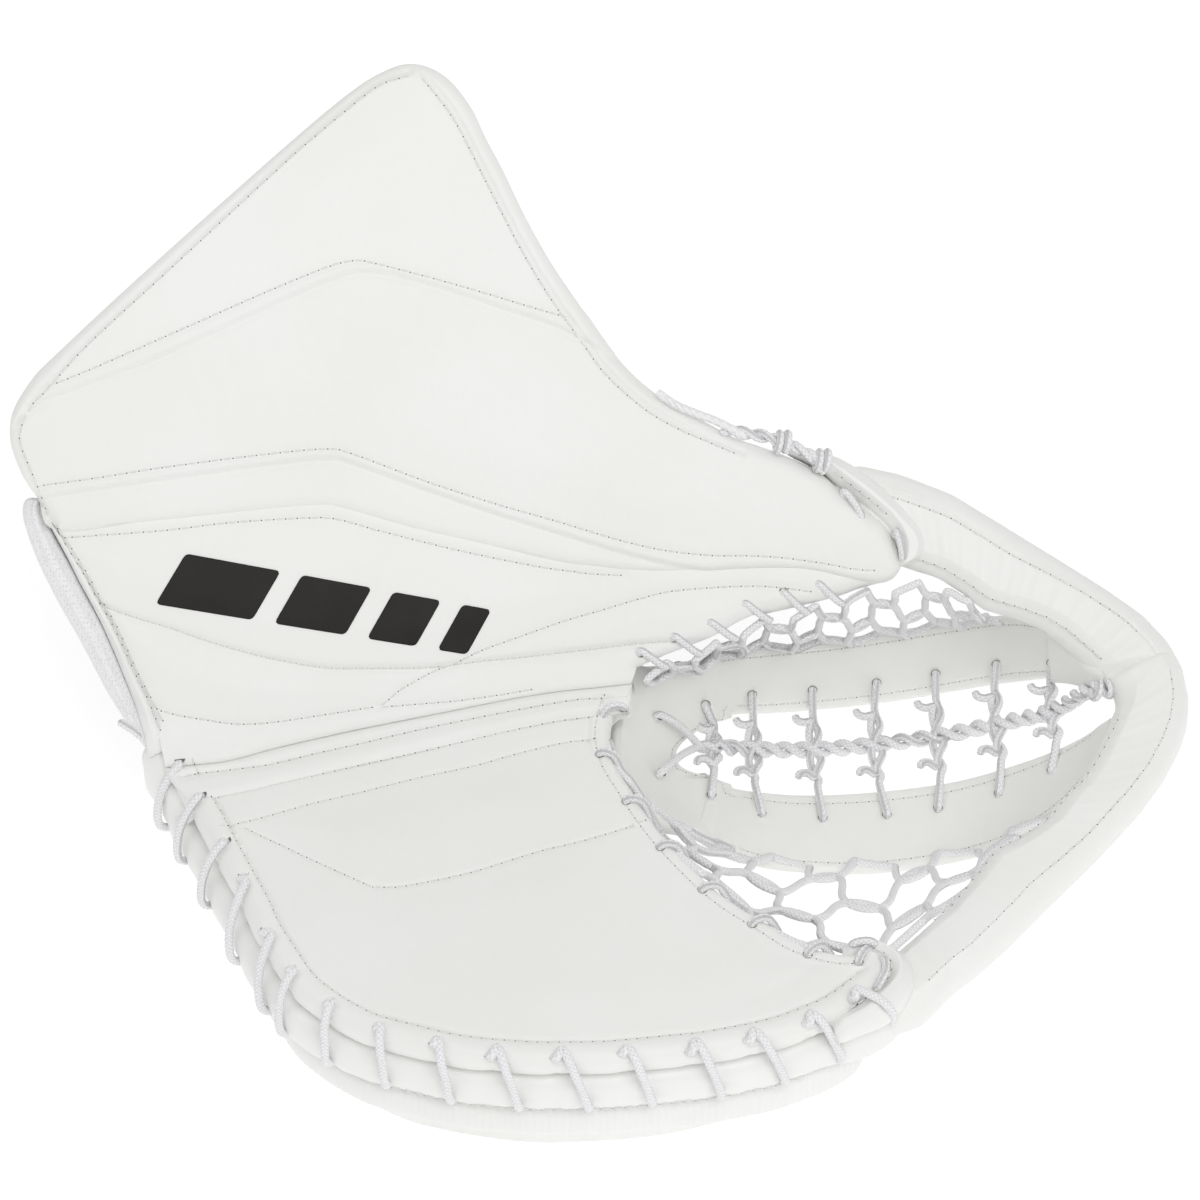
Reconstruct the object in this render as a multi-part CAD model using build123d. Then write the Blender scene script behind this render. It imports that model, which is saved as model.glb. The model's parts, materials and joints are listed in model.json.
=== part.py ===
from build123d import *
import math
import os

os.makedirs("parts", exist_ok=True)

# ---------------------------------------------------------------- driving dimensions (mm, +Z up)
PALM_Z = 76.00            # height of the palm skin
CUFF_ANGLE = 42.0        # rise of the cuff and thumb plane behind the fold, degrees
BEND_A = (-162.45, -34.05)     # two points of the bend line on the palm skin
BEND_B = (223.20, 21.73)
SKIN = 3.0               # leather panels
BOARD = 4.0              # polyethylene stiffener
FOAM = 9.0               # foam under the board
LINING = 2.0             # knitted lining
LACE_R = 1.6             # skate-lace radius
ROLL_UP = 10.0           # height of the upper palm roll
ROLL_LOW = 19.0          # height of the lower palm roll
BAND_SKIN = 2.4
BAND_CORE = 11.0
STRAP_T = 5.0            # T straps, two leather layers over a stiffener
BACK_RIM_Z = 37.0        # height of the dished back pad's rim
BACK_BASE_SCALE = 0.80   # base outline of the back pad against its rim outline
GAP = 0.6                # clearance between moving bodies
STALL_X = ((-108.00, -95.75), (-84.00, -125.75), (-60.00, -133.75), (-36.00, -134.75))
STALL_BACK_Y = -60.75
THUMB_BOX = ((-31.00, 59.25, 77.0), (57.00, 93.25, 109.0))
THUMB_WALL = 1.6
FOLD_IN = -0.5           # palm plates stop this far in front of the bend line

# outlines in plan (x, y), and strap edges in space (x, y, z)
G = {
    "board": [
        (-202.1, 29.1), (-209, 37.4), (-213.8, 42.3), (-217.8, 48.9), (-219.3, 54.1), (-218.6, 59.7), (-215.6, 64.9), (-209.8, 71.6), (-202.1,
        77.9), (-180.9, 94.4), (-153, 115.5), (-124.6, 136.6), (-103.5, 151.8), (-90.5, 160.3), (-82, 164.6), (-73.8, 167.3), (-65.3, 167.1),
        (-57.1, 163.8), (-49.2, 156.8), (-44, 149), (-37.3, 140), (-29.1, 127.7), (-19.4, 115.5), (-8.5, 104.2), (0.1, 95.2), (8.8, 87.6), (18.5,
        81.8), (26, 78.7), (38.5, 74.5), (49.8, 70.7), (59.9, 68.8), (70.5, 66.4), (81.1, 63), (89.8, 57.7), (97.7, 53.4), (105.6, 48.7), (109.4,
        43.8), (111.6, 38.8), (110.5, 35.8), (107.8, 34), (102.9, 33.3), (97.3, 33.4), (91.6, 34.1), (79.9, 35.8), (68.6, 36), (51.2, 34.8), (32,
        32.7), (12.5, 31.5), (-1.7, 31.7), (-16, 32.2), (-39.5, 34.8), (-67.8, 37.9), (-96.4, 42.3), (-106, 42.5), (-131.6, 39.3), (-166.9, 34.3)],
    "edge_seam": [
        (-67.5, 165.1), (-58.9, 157.8), (-52.6, 150.9), (-42.9, 137.2), (-32.6, 122.8), (-24.6, 112.7), (-16, 103.3), (-6.8, 94.6), (0.1, 87.9),
        (8.8, 82), (18.5, 77), (29.2, 73.3), (38.6, 70.9), (53, 67.2)],
    "left_seam": [
        (-72, 165.2), (-81.3, 162.6), (-89.8, 158.1), (-110.5, 143.8), (-124.6, 133.3), (-164.1, 102.9), (-181, 90.1), (-195, 79), (-206.1, 68.7),
        (-212.7, 63.1), (-216, 57.4), (-216.7, 52.6), (-213.8, 46.5), (-210.4, 40.6), (-205.6, 31.6), (-200.4, 26.8), (-191.5, 16.6), (-186.7,
        10.2), (-180.9, 3), (-174, -8.1), (-167.2, -17.7), (-162.4, -24.3)],
    "chev1": [
        (-214.9, 59.4), (-211.8, 62), (-204.7, 65.6), (-195, 69), (-166.9, 78.8), (-138.7, 90.3), (-110.5, 101.9), (-96.3, 107.1), (-87.8, 108.4),
        (-75, 108), (-53.6, 104.6), (-32.2, 100.7), (-17.9, 98.1), (-6.4, 94.4)],
    "chev1_st": [
        (-206.2, 68.2), (-189.4, 74.4), (-154.3, 88.5), (-124.6, 100.4), (-103.4, 108.4), (-93.5, 111), (-87.8, 111.1), (-67.9, 108.7), (-46.5,
        105.6), (-25.1, 102.2), (-12.2, 100.4)],
    "chev2": [
        (-207.6, 37.9), (-186.4, 41.8), (-152.9, 47.7), (-116.1, 53.9), (-102, 55.5), (-96.3, 55.4), (-67.9, 49.5), (-39.4, 43.9), (-16, 39.9),
        (-1.7, 37.4), (17.4, 34.6), (32, 33.3)],
    "chev2_st": [
        (-210.4, 40.6), (-186.4, 44.7), (-162.7, 49.1), (-124.6, 55.3), (-103.4, 58.1), (-93.5, 57.4), (-67.9, 51.8), (-39.4, 46.6), (-17.9, 43.3),
        (-1.7, 40.6), (9.8, 38.9), (21.3, 37.7), (31.9, 37.3), (41.4, 37.3), (56.9, 38.2), (70.3, 38.2), (84.8, 37.2), (94.4, 36), (103.1, 35.7)],
    "board_low": [
        (-201.9, 29.1), (-166.9, 34.3), (-131.7, 39.2), (-106.2, 42.5), (-96.3, 42.4), (-67.9, 37.9), (-39.4, 34.8), (-16, 32.2), (-1.7, 31.7),
        (12.5, 31.5), (32, 32.7), (51.2, 34.8), (68.6, 36), (79.9, 35.8), (91.6, 34.1), (97.3, 33.4), (102.9, 33.3), (107.8, 34)],
    "row3_st": [
        (-200.6, 27.1), (-164.1, 31.5), (-138.7, 35.4), (-110.5, 38.5), (-99.1, 38.9), (-82.1, 36.5), (-53.6, 32.9), (-25.1, 30.2), (-10.7, 29.5),
        (-4.5, 29.3), (8.9, 29.6)],
    "lens_st": [
        (-185.1, 9.5), (-179.8, 8.2), (-170.4, 6.5), (-159.8, 4.8), (-149.2, 2.6), (-133.4, 0), (-117.5, -1.8), (-101.6, -2.7), (-85.6, -1.9),
        (-64.3, -0.6), (-44, 2.3), (-33.6, 3.5), (-16, 6), (-3.6, 7.8), (8.9, 9.8), (21.3, 11.4), (32, 12.3)],
    "heel_st": [
        (-167.2, -16.8), (-164, -18.5), (-155.5, -19.6), (-147.6, -20.1), (-136.5, -20.6), (-124.9, -19.7), (-106.8, -16.8), (-90.9, -14.1), (-83,
        -12.9)],
    "web_up_st": [
        (-83, -12.9), (-80.4, -11.2), (-75.4, -7.7), (-69.1, -4.6), (-62.8, -1.7), (-54.5, 1.2), (-45.1, 5.1), (-33.6, 8.9), (-16, 14.7), (-1.7,
        18.8), (12.7, 23), (24.1, 25.9), (37.6, 27.8), (51.1, 29.2), (62.6, 29.8), (74.2, 29.4), (81.8, 28.8)],
    "web_lo_st": [
        (-83, -13.2), (-70.1, -11.8), (-54.5, -10.2), (-38.3, -7.8), (-23.4, -5.1)],
    "crease": [
        (-156.6, -34.4), (-139.6, -32), (-121, -26.9), (-96.1, -21.2), (-75.3, -17), (-54.4, -12.9), (-33.6, -8.7), (-15.9, -5.7), (-1.7, -3.8),
        (10.8, -2)],
    "row1_st": [
        (-155.4, -38.8), (-147.7, -37.2), (-124.9, -33.6), (-107.4, -29), (-89.8, -24.9), (-69, -20), (-41.9, -14.4), (-15.9, -9.3), (-6.4, -7.9),
        (1.2, -7.3)],
    "row2_st": [
        (-145.9, -49.3), (-130.6, -45.4), (-120.4, -42.2), (-93.7, -34.7), (-65.7, -27.7), (-36.6, -20.5), (-15.9, -15.9), (0.3, -13.5)],
    "row3b_st": [
        (-141.4, -63.2), (-124.8, -57.9), (-107.5, -51.4), (-90.1, -46.2), (-69.6, -40), (-47.9, -34.6), (-33.4, -29.8), (-15.9, -24.9), (-7.3,
        -23.5), (0.3, -23.6)],
    "v_st": [
        (-131.9, -62.2), (-127.1, -65.2), (-116.5, -71.2), (-101.2, -80.1), (-86.1, -88.4), (-80.5, -89.8), (-74.9, -89.9), (-65.7, -88), (-47.9,
        -83.2), (-24.8, -74.5), (-6.2, -68.9), (17.3, -60)],
    "soft_crease1": [
        (-83.6, -89.4), (-76.1, -103.4), (-70, -114.9), (-61.8, -125.5), (-52.5, -134.1), (-43.3, -139), (-29.7, -143.3)],
    "soft_crease2": [
        (76.6, -124.6), (66.4, -133.6), (57.1, -138.6), (39, -144.2), (25.5, -145.5)],
    "left_edge": [
        (-202.1, 29.1), (-198.8, 25), (-191.5, 16.6), (-186.7, 10.3), (-180.8, 2.9), (-174, -8), (-169.8, -14.2), (-165.3, -21.8)],
    "left_out": [
        (-209, 37.4), (-205.4, 31.2), (-198.8, 22.3), (-194.4, 15.9), (-188.1, 7.4), (-183.4, -0), (-178.6, -8.6), (-173.8, -17.8), (-171.2, -24.7)],
    "palm_edge": [
        (-165.2, -25.4), (-161.3, -32.5), (-155.5, -45), (-149.1, -56.8), (-143.7, -68.1), (-135.3, -85.3), (-129, -98.1), (-123.7, -110.8),
        (-116.6, -123.4), (-109.7, -134.7), (-101.2, -143.2), (-92.7, -149.6), (-82.7, -155.4), (-69.1, -159.9), (-51.1, -164.9), (-29.4, -167.5),
        (-15, -167.9), (2.8, -167.4), (22.5, -165.2), (38.6, -163), (61.1, -157.5), (77.6, -150.3), (85.8, -145.4), (95.2, -137.2), (100.3, -132.2),
        (101.9, -127.2), (100.4, -122.7)],
    "pocket_edge": [
        (100.4, -122.7), (95, -120.9), (85, -120.7), (77.7, -118.8), (68.5, -114.5), (58.6, -106.5), (46.9, -97.3), (37.8, -88), (27.8, -75.2),
        (21.3, -65.8), (15.4, -55.7), (9.3, -43.5), (4.2, -33), (2, -22.1), (3.5, -12.1), (6.5, -6.7), (11, -2)],
    "palm_holes": [
        (-157.6, -31.5), (-147.8, -48.5), (-137.5, -70), (-130.2, -85.9), (-120.9, -110.8), (-110.5, -128.5), (-96.7, -143.2), (-79.2, -153.2),
        (-59.4, -160.1), (-39.7, -165.1), (-17.1, -166), (6.2, -164.1), (30.2, -163.2), (50.4, -158.6), (71.2, -151.4), (87.8, -141.6)],
    "lace_ends": [
        (-165, -60.5), (-154.6, -79.4), (-141.8, -99.3), (-128.4, -124.5), (-117.7, -147), (-107.4, -153.9), (-93.1, -165.8), (-74.6, -175.1),
        (-52.4, -182.3), (-29.1, -185), (-5.3, -185.4), (16.6, -184.7), (40.5, -180.9), (63.3, -177.7), (84, -170.7), (102.2, -162.2)],
    "pocket_holes": [
        (12.9, 3.2), (3.8, -9.7), (1.9, -29.4), (12.6, -50.4), (24.6, -70.4), (39.2, -90.3), (55, -105.4), (74.7, -118.6), (91, -121.6)],
    "thumb_edge": [
        (12.9, 3.2), (21.5, 6.8), (32, 10.7), (42.2, 14.5), (51.2, 19.1), (59.9, 22.4), (70, 24.8), (79.9, 27.1), (88.8, 29.2), (97.6, 31.9),
        (104.4, 33.4)],
    "thumb_holes": [
        (32, 10.1), (51.2, 19.1), (70, 24.7), (88.8, 29.2)],
    "band_out_t": [
        (63, 69.9), (72.4, 69.3), (86.8, 68.4), (98.4, 68.4), (112.9, 65.6), (132.1, 59.5), (151.2, 50.3), (170.3, 40.6), (189.2, 30.6), (203.4,
        22.3), (212.7, 13.4), (217.9, 3.9)],
    "band_out_f": [
        (219.5, -8.3), (218.2, -19), (214.6, -28.8), (208, -41.1), (198.5, -54.6), (180.7, -75.8), (163.8, -94.5), (149.1, -110.8), (134.5, -126.1),
        (125, -134.6), (113.4, -148.8), (103, -157.4)],
    "band_in_t": [
        (116.5, 37.3), (127, 34.1), (135.7, 29.3), (143.2, 24), (155.5, 20.6), (164.1, 17.5), (171.4, 12.9), (180.4, 4.9), (187.1, -1.8), (191.4,
        -6.9)],
    "band_in_f": [
        (192.1, -12.1), (189.5, -17.9), (184, -28.4), (179, -38.1), (173.3, -46.3), (167.8, -51.7), (161.8, -60.4), (152, -67.7), (141.4, -73),
        (135.1, -82.1), (125.4, -94.7), (114.1, -104.2), (104.8, -111.5)],
    "band_seam1": [
        (108.3, 60.6), (116.7, 54.9), (128.2, 51.2), (141.6, 45.4), (160.7, 36.6), (179.5, 26.2), (193.7, 19.2), (205, 10.9)],
    "band_seam2": [
        (122.4, 38.3), (133.8, 34.9), (146.2, 29.3), (160.3, 22.5), (174.4, 15.3), (184.6, 8.6), (194.9, 3.2)],
    "head_seam": [
        (194.2, -23.7), (184, -34.5), (177.6, -41.6), (173.3, -46.3)],
    "thumb_loop": [
        (59.9, 69.4), (74.3, 69.4), (81.5, 68.1), (89.7, 66.8), (99.3, 62.8), (108.9, 57.2), (116.6, 51.5), (121.4, 47), (122.6, 43.2), (120.7,
        39.3), (115.6, 36.7), (110.5, 35.5)],
    "tip_loop": [
        (106.9, -141.6), (110.6, -135.1), (111.5, -127.6), (109.5, -120.6), (106.3, -116.9), (101.1, -113.6), (94, -112.1), (86.8, -112.9)],
    "cuff_ridges": [
        (-112.7, 90.7), (-101.6, 66.4)],
    "mesh_out": [
        (-216.6, 38), (-214, 30.3), (-209.3, 21.1), (-201.9, 10.4), (-193.5, -0.2), (-184, -13.2), (-176.6, -21.5), (-172.4, -25.7)],
    "band_root_t": [
        (61.1, 65.2), (74.3, 62.6), (87.9, 57.6), (99.2, 51.7), (106.8, 44.9), (111.6, 39.1)],
    "ts_in": [
        (43.3, 27.4, 30), (51.9, 36.4, 23), (65.9, 41.2, 18), (79.4, 44, 16), (99.6, 46.5, 16), (119.7, 48.2, 18), (139.4, 47.6, 24), (156.9, 43,
        34), (172.6, 30.8, 51), (181.9, 17.3, 66), (188.9, 1.7, 80)],
    "ts_out": [
        (33.7, 32.6, 56), (45.6, 44.5, 50), (61.4, 50.6, 46), (78.7, 53.6, 45), (98.7, 56.7, 45), (118.7, 59.1, 47), (138.2, 58, 53), (155.5, 53.1,
        62), (169.2, 37.5, 76), (180.2, 16.5, 86), (188.8, -0.7, 92)],
    "fs_in": [
        (42.9, 1.8, 28), (51.2, 2.6, 21), (64.9, 3.4, 17), (78.1, 3.6, 15.5), (97.9, 4.4, 15.5), (117.6, 5.2, 17.5), (137, 4.5, 23), (154.4, 2.7,
        33), (170.4, -2.7, 49), (182.1, -6.9, 64), (188.5, -10.4, 78)],
    "fs_out": [
        (36.9, -29.7, 34), (47.8, -29.8, 22), (62.2, -29.5, 13), (77.2, -29.5, 10), (96.8, -30.1, 9.5), (116.3, -29.7, 11.5), (135.5, -29.7, 17),
        (152.5, -31.2, 28), (168.5, -32.1, 46), (179.5, -29.2, 62), (188.6, -26.3, 80)],
    "tails": [
        (53.8, 69.2, 145.9), (44.7, 72.3, 150.3), (35.3, 74.2, 153.2), (26, 76.6, 156), (-171.5, -28.7, 88), (-174, -27.3, 89.9), (-177, -25.8, 91),
        (-180.1, -23.8, 91.5)],
    "mark": [[(-154.8, 25.7), (-120, 23.1), (-130.4, 9), (-165.8, 11.1)], [(-111.9, 22.5), (-86.3, 20.5), (-96.1, 6.9), (-122.1, 8.5)], [(-78.1, 19.8), (-60.6, 18.4), (-70, 5.1), (-87.8, 6.3)], [(-52.4, 17.7), (-41.9, 16.8), (-50.9, 3.7), (-61.6, 4.5)]],
}


# ---------------------------------------------------------------- frame helpers
ax, ay = BEND_B[0] - BEND_A[0], BEND_B[1] - BEND_A[1]
al = math.hypot(ax, ay)
ax, ay = ax / al, ay / al
CA, SA = math.cos(math.radians(CUFF_ANGLE)), math.sin(math.radians(CUFF_ANGLE))
BEND_PLANE = Plane(origin=(BEND_A[0], BEND_A[1], PALM_Z), x_dir=(ax, ay, 0),
                   z_dir=(SA * ay, -SA * ax, CA))


def sd(p):
    """Along the bend line, and horizontally behind it."""
    dx, dy = p[0] - BEND_A[0], p[1] - BEND_A[1]
    return dx * ax + dy * ay, -dx * ay + dy * ax


def xy(s, d):
    return BEND_A[0] + s * ax - d * ay, BEND_A[1] + s * ay + d * ax


def width_at(x):
    t1 = min(max((x - (-141.00)) / 140.0, 0), 1)
    t2 = min(max((x - (59.00)) / 140.0, 0), 1)
    return 6 + 10 * t1 * t1 * (3 - 2 * t1) + 38 * t2 * t2 * (3 - 2 * t2)


def rim_z(x, y):
    """Skin height: the palm level in front, the cuff slope behind, a raised corner at the T head."""
    d = sd((x, y))[1]
    w = width_at(x)
    return PALM_Z + SA / CA * (d + math.sqrt(d * d + w * w)) / 2


def clip(poly, keep_behind, at):
    """Keep the part of a plan polygon behind (or in front of) the line `at` from the bend."""
    sgn = 1 if keep_behind else -1
    out = []
    n = len(poly)
    for i in range(n):
        p, q = poly[i], poly[(i + 1) % n]
        dp_, dq = sgn * (sd(p)[1] - at), sgn * (sd(q)[1] - at)
        if dp_ >= 0:
            out.append(p)
        if dp_ * dq < 0:
            t = dp_ / (dp_ - dq)
            out.append((p[0] + (q[0] - p[0]) * t, p[1] + (q[1] - p[1]) * t))
    return out


def tidy(poly, tol=1.2):
    out = []
    for p in poly:
        if not out or math.hypot(p[0] - out[-1][0], p[1] - out[-1][1]) > tol:
            out.append(p)
    if math.hypot(out[0][0] - out[-1][0], out[0][1] - out[-1][1]) < tol:
        out.pop()
    return out


def shift_line(pts, dist):
    """Polyline moved sideways to its left by dist."""
    out = []
    n = len(pts)
    for i in range(n):
        a_, b_ = pts[max(i - 1, 0)], pts[min(i + 1, n - 1)]
        tx, ty = b_[0] - a_[0], b_[1] - a_[1]
        l_ = math.hypot(tx, ty)
        out.append((pts[i][0] - ty / l_ * dist, pts[i][1] + tx / l_ * dist))
    return out


def plate(poly, z0, z1):
    poly = tidy(poly)
    return extrude(make_face(Polyline(*[(p[0], p[1], z0) for p in poly], close=True)), amount=z1 - z0, dir=(0, 0, 1))


def on_cuff(poly, o0, o1):
    """Plan polygon laid on the cuff plane, between two offsets from it."""
    pts = []
    for p in tidy(poly):
        s, d = sd(p)
        pts.append((s, d / CA))
    f = make_face(Polyline(*[(p[0], p[1]) for p in pts], close=True))
    return BEND_PLANE * extrude(Pos(0, 0, o0) * f, amount=o1 - o0)


def inset(poly, k):
    """Plan polygon pulled in by k."""
    f = make_face(Polyline(*[(p[0], p[1]) for p in tidy(poly)], close=True))
    g = offset(f, amount=-k, kind=Kind.INTERSECTION)
    fs = sorted(g.faces(), key=lambda q: q.area)
    w = fs[-1].outer_wire()
    return [(v.X, v.Y) for v in [e @ 0 for e in w.order_edges()]]


def strip(secs, lo=0.0, hi=1.0):
    """Ruled solid through quads given as (inner_top, outer_top, outer_low, inner_low)."""
    wires = []
    for a_, b_, c_, d_ in secs:
        wires.append(Polyline(a_, b_, c_, d_, close=True))
    return Solid.make_loft([Wire(w.edges()) for w in wires], True)


def lace(pts, r=LACE_R, say=None):
    """Round tube on straight runs joined by tangent arcs."""
    pts = [Vector(*p) for p in pts]
    keep = [pts[0]]
    for i in range(1, len(pts) - 1):
        if (pts[i] - keep[-1]).get_angle(pts[i + 1] - pts[i]) > 2.0:
            keep.append(pts[i])
    keep.append(pts[-1])
    if len(keep) == 2:
        path = Wire([Edge.make_line(keep[0], keep[1])])
    else:
        radii = []
        for i in range(1, len(keep) - 1):
            u_, v_ = keep[i] - keep[i - 1], keep[i + 1] - keep[i]
            half = math.radians(u_.get_angle(v_)) / 2
            radii.append(0.45 * min(u_.length, v_.length) / math.tan(half))
        path = FilletPolyline(*keep, radius=radii)
        if say:
            print(say, "radii", [round(q, 1) for q in radii], "length", round(path.length, 1))
    body = sweep(Plane(origin=path @ 0, z_dir=path % 0) * Circle(r), path=path)
    if abs(body.volume / (math.pi * r * r * path.length) - 1) > 0.02:
        print("tube volume off", say, body.volume / (math.pi * r * r * path.length))
    return body


def resample(pts, n):
    """n points evenly spaced along a polyline."""
    acc = [0.0]
    for i in range(1, len(pts)):
        acc.append(acc[-1] + math.dist(pts[i], pts[i - 1]))
    out = []
    for k in range(n):
        t = acc[-1] * k / (n - 1)
        j = 1
        while j < len(acc) - 1 and acc[j] < t:
            j += 1
        f = (t - acc[j - 1]) / max(acc[j] - acc[j - 1], 1e-9)
        out.append(tuple(u + (v - u) * f for u, v in zip(pts[j - 1], pts[j])))
    return out


def many(solids):
    return Compound(children=[s for s in solids])


NODES = {}

# ---------------------------------------------------------------- palm side
palm_outline = list(G["palm_edge"]) + G["pocket_edge"][1:] + list(reversed(G["crease"]))
fold_back = [xy(186, 14.0), xy(-10, 14.0)]
palm_wide = G["palm_edge"] + G["pocket_edge"][1:15] + fold_back
palm_flat = tidy(clip(palm_outline, False, FOLD_IN))
seam = [G["palm_edge"][4]] + G["v_st"]
upper = G["palm_edge"][:5] + G["v_st"] + G["pocket_edge"][10:] + list(reversed(G["crease"]))
lower = G["palm_edge"][4:] + G["pocket_edge"][1:10] + list(reversed(G["v_st"]))
core_outline = clip(inset(palm_wide, 8.0), False, FOLD_IN)
core_face = make_face(Polyline(*core_outline, close=True))


def core_plate(z0, z1, k=0.0):
    f = core_face if k == 0 else make_face(Polyline(*inset(core_outline, k), close=True))
    return extrude(Pos(0, 0, z0) * f, amount=z1 - z0, dir=(0, 0, 1))


z = PALM_Z
skin_cut = extrude(Pos(0, 0, z - SKIN - 1) * core_face, amount=SKIN + 2, dir=(0, 0, 1))
up_f = plate(clip(upper, False, FOLD_IN), z - SKIN, z)
low_f = plate(clip(lower, False, FOLD_IN), z - SKIN, z)
NODES["palm_upper_panel"] = up_f & skin_cut
NODES["palm_finger_panel"] = low_f & skin_cut
NODES["palm_board"] = core_plate(z - SKIN - BOARD, z - SKIN)
NODES["palm_foam"] = core_plate(z - SKIN - BOARD - FOAM, z - SKIN - BOARD)
z_lin = z - SKIN - BOARD - FOAM
NODES["palm_lining"] = core_plate(z_lin - LINING, z_lin)

ring = plate(palm_flat, z - ROLL_UP, z + 1.5) - extrude(Pos(0, 0, z - ROLL_UP - 1) * core_face, amount=ROLL_UP + 4, dir=(0, 0, 1))
# split the ring: roll along the palm's outer edge, binding along the pocket
pk = G["pocket_edge"]
tipx = pk[0]
cutter_pts = [(pk[0][0] + 14, pk[0][1] - 2), (pk[0][0] - 14, pk[0][1] + 8)] + [(p[0] - 10, p[1] + 6) for p in pk[3:9]] + \
    [(pk[12][0] - 14, pk[12][1]), (pk[14][0] - 16, pk[14][1] + 10)]
heel_line = xy(0, -1.0)
bind_zone = [(pk[0][0] + 30, pk[0][1] + 1), (pk[0][0] - 16, pk[0][1] + 1)] + [(p[0] - 13, p[1] - 6) for p in pk[4:10]] + \
    [(pk[12][0] - 13, pk[12][1] - 4), (pk[14][0] - 13, pk[14][1] + 40), (pk[0][0] + 30, pk[14][1] + 40)]
zone = plate(bind_zone, z - 40, z + 40)
behind = plate([xy(12, -9.0), xy(500, -9.0), xy(500, 60), xy(12, 60)], z - 40, z + 40)
NODES["pocket_binding"] = ring & zone - behind
NODES["palm_edge_roll"] = ring - zone - behind

# lower roll, gusset wall and the dished back pad
edge = G["palm_edge"]
outer_low = shift_line(edge, -2.0)
inner_low = shift_line(edge, 7.4)
NODES["palm_lower_roll"] = plate(outer_low[1:-1] + list(reversed(inner_low[1:-1])), z - ROLL_UP - ROLL_LOW, z - ROLL_UP)

bx = [shift_line(edge, 3.0)[i] for i in range(1, len(edge) - 1, 2)]
wrist = [xy(186, -4), xy(182, 66), xy(60, 86), xy(12, 40)]
rim_outline = bx + [(pk[3][0] - 8, pk[3][1] + 4), (pk[7][0] - 10, pk[7][1] + 6), (pk[10][0] - 12, pk[10][1])] + wrist
cx = sum(p[0] for p in rim_outline) / len(rim_outline)
cy = sum(p[1] for p in rim_outline) / len(rim_outline)


def dish(k0, z0, k1, z1):
    """Ruled solid between two scaled copies of the back outline."""
    def w(k, zz):
        return Wire(Polyline(*[(cx + (p[0] - cx) * k, cy + (p[1] - cy) * k, zz) for p in rim_outline], close=True).edges())
    return Solid.make_loft([w(k0, z0), w(k1, z1)], True)


def kz(zz, wall=0.0):
    return BACK_BASE_SCALE + (1 - BACK_BASE_SCALE) * zz / BACK_RIM_Z - wall / 105.0


NODES["back_cover"] = dish(kz(0), 0, kz(BACK_RIM_Z), BACK_RIM_Z) - dish(kz(3, 3.2), 3, kz(BACK_RIM_Z + 2, 3.2), BACK_RIM_Z + 2)
NODES["back_foam"] = dish(kz(3, 3.6), 3, kz(BACK_RIM_Z, 3.6), BACK_RIM_Z) - dish(kz(13, 12.0), 13, kz(BACK_RIM_Z + 2, 12.0), BACK_RIM_Z + 2)
NODES["back_board"] = dish(kz(13, 12.6), 13, kz(16, 12.6), 16)
NODES["back_lining"] = dish(kz(16, 12.8), 16, kz(18, 12.8), 18)
NODES["back_piping"] = plate(shift_line(edge, -0.5)[2:-3] + list(reversed(shift_line(edge, 2.8)[2:-3])), BACK_RIM_Z - 6, z - ROLL_UP - ROLL_LOW - 0.2)
gus = [shift_line(edge, 10.0)[i] for i in range(2, len(edge) - 2)]
gus_in = [shift_line(edge, 12.5)[i] for i in range(2, len(edge) - 2)]
NODES["finger_gusset"] = plate(gus + list(reversed(gus_in)), BACK_RIM_Z + 0.3, z_lin - LINING)

# hand sleeve with finger stalls, open to the wrist
s_front = -118.0


def stall(s0, d0, s1, d1, w, z0, z1):
    """Open-backed finger stall along a plan line."""
    p, q = xy(s0, d0), xy(s1, d1)
    L = math.dist(p, q)
    pl = Plane(origin=(p[0], p[1], (z0 + z1) / 2), x_dir=(q[0] - p[0], q[1] - p[1], 0), z_dir=(0, 0, 1))
    b = Pos(L / 2, 0, 0) * Box(L, w, z1 - z0)
    c = Pos(L / 2 - 1.5, 0, 0) * Box(L, w - 2.4, z1 - z0 - 2.4)
    return pl * (b - c)


hz0, hz1 = 21.0, z_lin - LINING - 1.0
stalls = []
STALL_W, STALL_Z0, STALL_Z1, STALL_WALL = 22.0, 25.0, 51.0, 1.2
for x_, y_end in STALL_X:
    b_ = Box(STALL_W, STALL_BACK_Y - y_end, STALL_Z1 - STALL_Z0, align=(Align.CENTER, Align.MIN, Align.MIN))
    c_ = Box(STALL_W - 2 * STALL_WALL, STALL_BACK_Y - y_end, STALL_Z1 - STALL_Z0 - 2 * STALL_WALL, align=(Align.CENTER, Align.MIN, Align.MIN))
    stalls.append(Pos(x_, y_end, STALL_Z0) * b_ - Pos(x_, y_end + STALL_WALL, STALL_Z0 + STALL_WALL) * c_)
NODES["finger_stalls"] = many(stalls)

# ---------------------------------------------------------------- cuff and thumb side
BO = G["board"]
cuff_low = G["lens_st"]
n_b = len(BO)
i_tip = 44                                    # thumb tip on the board outline
board_poly = BO
top_panel = [BO[k] for k in range(6, 28)] + list(reversed(G["chev1"]))
# plan regions
chev1, chev2, blow = G["chev1"], G["chev2"], G["board_low"]


def above(line, y0=400.0):
    return [(line[0][0] - 60, line[0][1])] + list(line) + [(line[-1][0] + 120, line[-1][1] - 5), (line[-1][0] + 120, y0), (line[0][0] - 60, y0)]


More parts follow.
